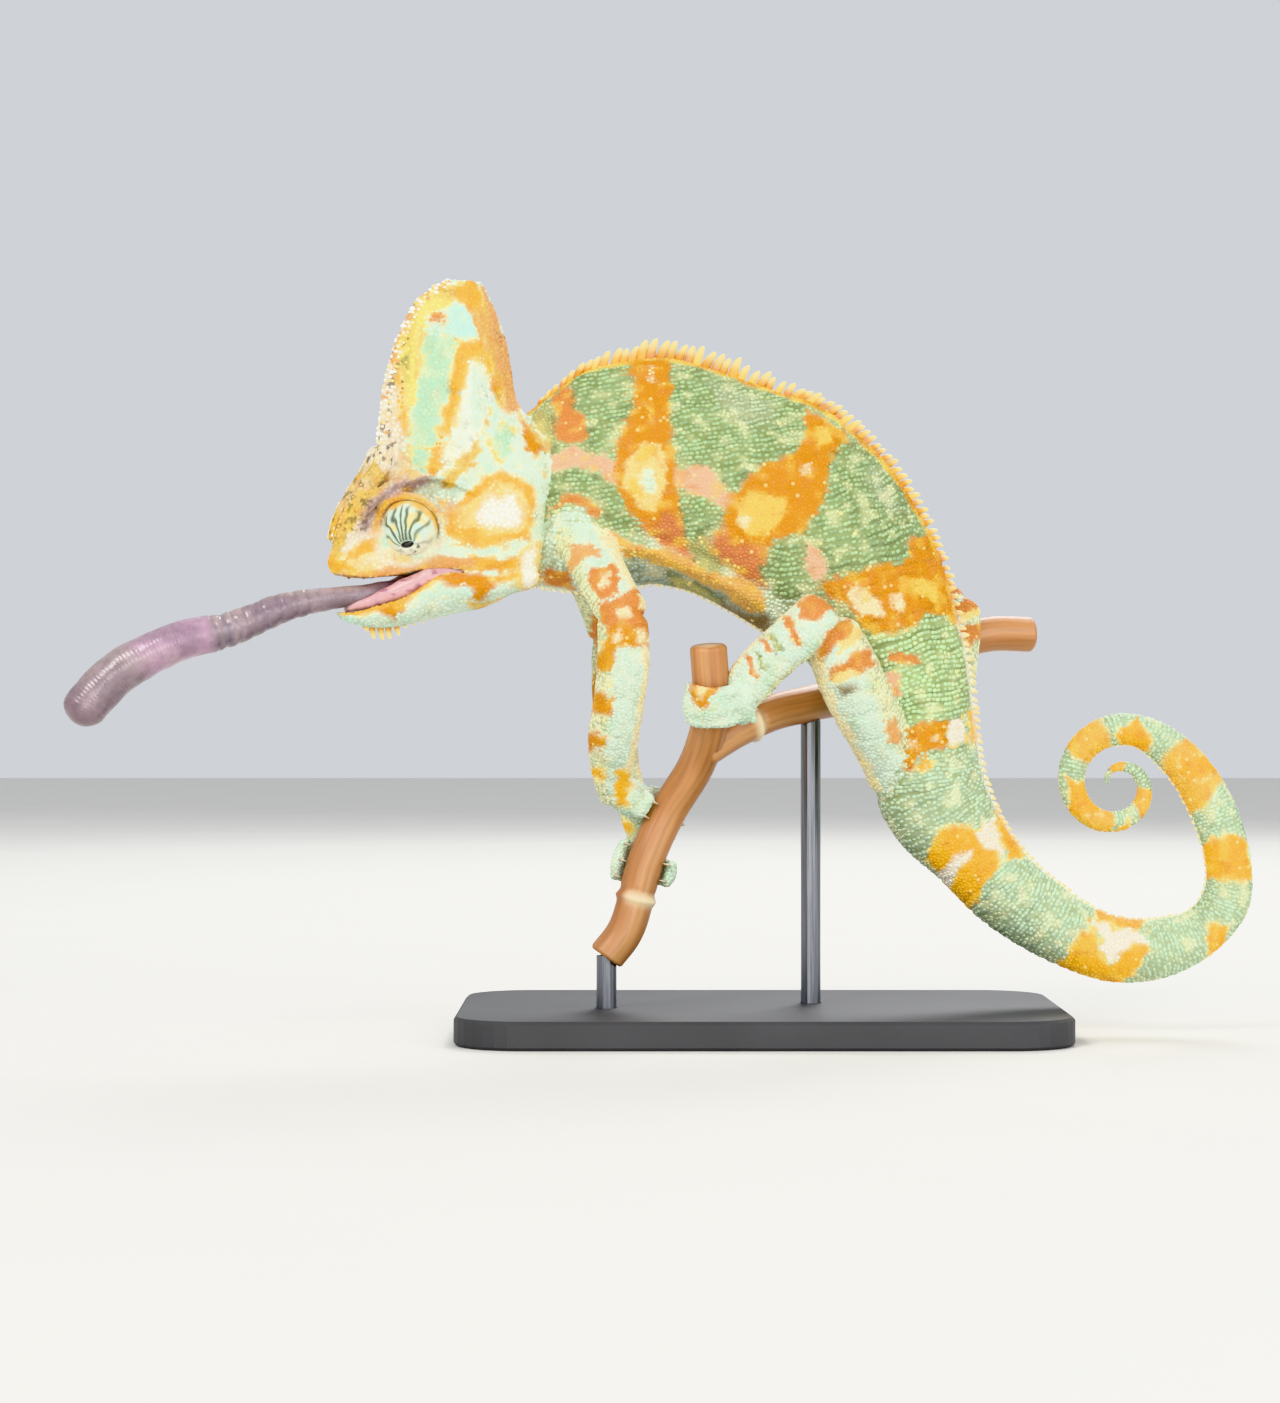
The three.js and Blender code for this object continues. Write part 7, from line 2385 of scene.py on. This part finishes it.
def cane(name, rows, knot, seed):
    """A cut length of cane with one node, and a fine grain that runs along it."""
    samples, sides = 260, 64
    line = curve(rows, samples)
    run = run_of(line)
    along = unit(np.gradient(line, axis=0))
    a = unit(np.cross(along, [0.0, 1.0, 0.2]))
    b = np.cross(along, a)
    turn = turns(sides)
    knot_at = knot * run[-1]
    ring = 0.62 * np.exp(-((run - knot_at) / 0.9) ** 2) - 0.18 * np.exp(-((run - knot_at - 1.9) / 0.7) ** 2)
    spread = a[:, None] * np.cos(turn)[None, :, None] + b[:, None] * np.sin(turn)[None, :, None]
    spot = (line[:, None] + spread * 4.5).reshape(-1, 3)
    rough = 0.06 * noise(spot, 9, seed).reshape(samples, sides)
    grain = 0.035 * np.cos(turn * 23 + 2 * np.cos(turn * 5))[None]
    radius = CANE_RADIUS - 0.06 + ring[:, None] + rough + grain
    bevel = np.minimum(run, run[-1] - run)
    radius -= 0.5 * smooth(0.6, 0.0, bevel)[:, None]
    points = line[:, None] + spread * radius[..., None]
    grid_points, faces = loft(points)
    piece = mesh_object(name, grid_points, faces)
    sheet = np.stack(np.broadcast_arrays(turn[None] * CANE_RADIUS, run[:, None]), axis=-1)
    sheet = np.vstack([sheet.reshape(-1, 2) * MM, [(0, 0)], [(0, run[-1] * MM)]])
    uv = sheet[corners_of(piece.data)].ravel()
    piece.data.uv_layers.new(name="length").data.foreach_set("uv", uv)
    scar = np.exp(-((run[:, None] - knot_at) / 1.5) ** 2) * smooth(0.2, 0.8, np.cos(turn - 2.0))[None]
    attribute(piece.data, "scar", "FLOAT", np.concatenate([scar.ravel(), [0.6, 0.6]]))
    piece.data.materials.append(CANE_LOOK)
    return placed(piece, "cane", "perch_" + name)


CANE_LOOK = cane_look()
cane("cane_rear", CANE_REAR, 0.15, 61)
cane("cane_front", CANE_FRONT, 0.19, 62)

# ---------------------------------------------------------------- floor, light and camera


def plain_look(name, colour, rough):
    look = Look(name, Roughness=rough)
    look.feed("Base Color", look.ramp(look.noise(60.0), [(0.3, colour * 0.97), (0.7, colour)]))
    return look.material


floor_points = np.array([(-3000, -3000, 0), (3000, -3000, 0), (3000, 3000, 0), (-3000, 3000, 0)], float)
floor = mesh_object("floor", floor_points, [[0, 1, 2, 3]], shade=False)
floor.data.materials.append(plain_look("pale_floor", srgb(226, 224, 218), 0.8))

world = bpy.data.worlds.new("studio")
world.use_nodes = True
world.node_tree.nodes["Background"].inputs["Color"].default_value = (0.92, 0.95, 1.0, 1)
world.node_tree.nodes["Background"].inputs["Strength"].default_value = 0.72
bpy.context.scene.world = world


def area_light(name, place, target, size, power, colour=(1, 1, 1)):
    light = bpy.data.lights.new(name, "AREA")
    light.shape = "SQUARE"
    light.size = size
    light.energy = power
    light.color = colour
    lamp = bpy.data.objects.new(name, light)
    bpy.context.scene.collection.objects.link(lamp)
    lamp.location = place
    lamp.rotation_euler = (Vector(target) - Vector(place)).to_track_quat("-Z", "Y").to_euler()


area_light("key", (-0.75, -1.0, 1.15), (-0.02, 0, 0.1), 0.55, 14, (1.0, 0.98, 0.95))
area_light("fill", (0.95, -0.9, 0.5), (0, 0, 0.09), 0.8, 8, (0.96, 0.98, 1.0))
area_light("front", (-0.05, -1.3, 0.02), (0, 0, 0.08), 0.7, 9, (1.0, 0.99, 0.97))
area_light("rim", (0.25, 0.9, 0.9), (0, 0, 0.1), 0.5, 10)

camera = bpy.data.cameras.new("camera")
camera.sensor_fit = "HORIZONTAL"
camera.sensor_width = 36
camera.lens = LENS
camera.clip_start = 0.05
eye = bpy.data.objects.new("camera", camera)
bpy.context.scene.collection.objects.link(eye)
eye.location = EYE_POINT * MM
eye.rotation_euler = (math.pi / 2, 0, 0)
bpy.context.scene.camera = eye
bpy.context.scene.view_settings.view_transform = "Khronos PBR Neutral"
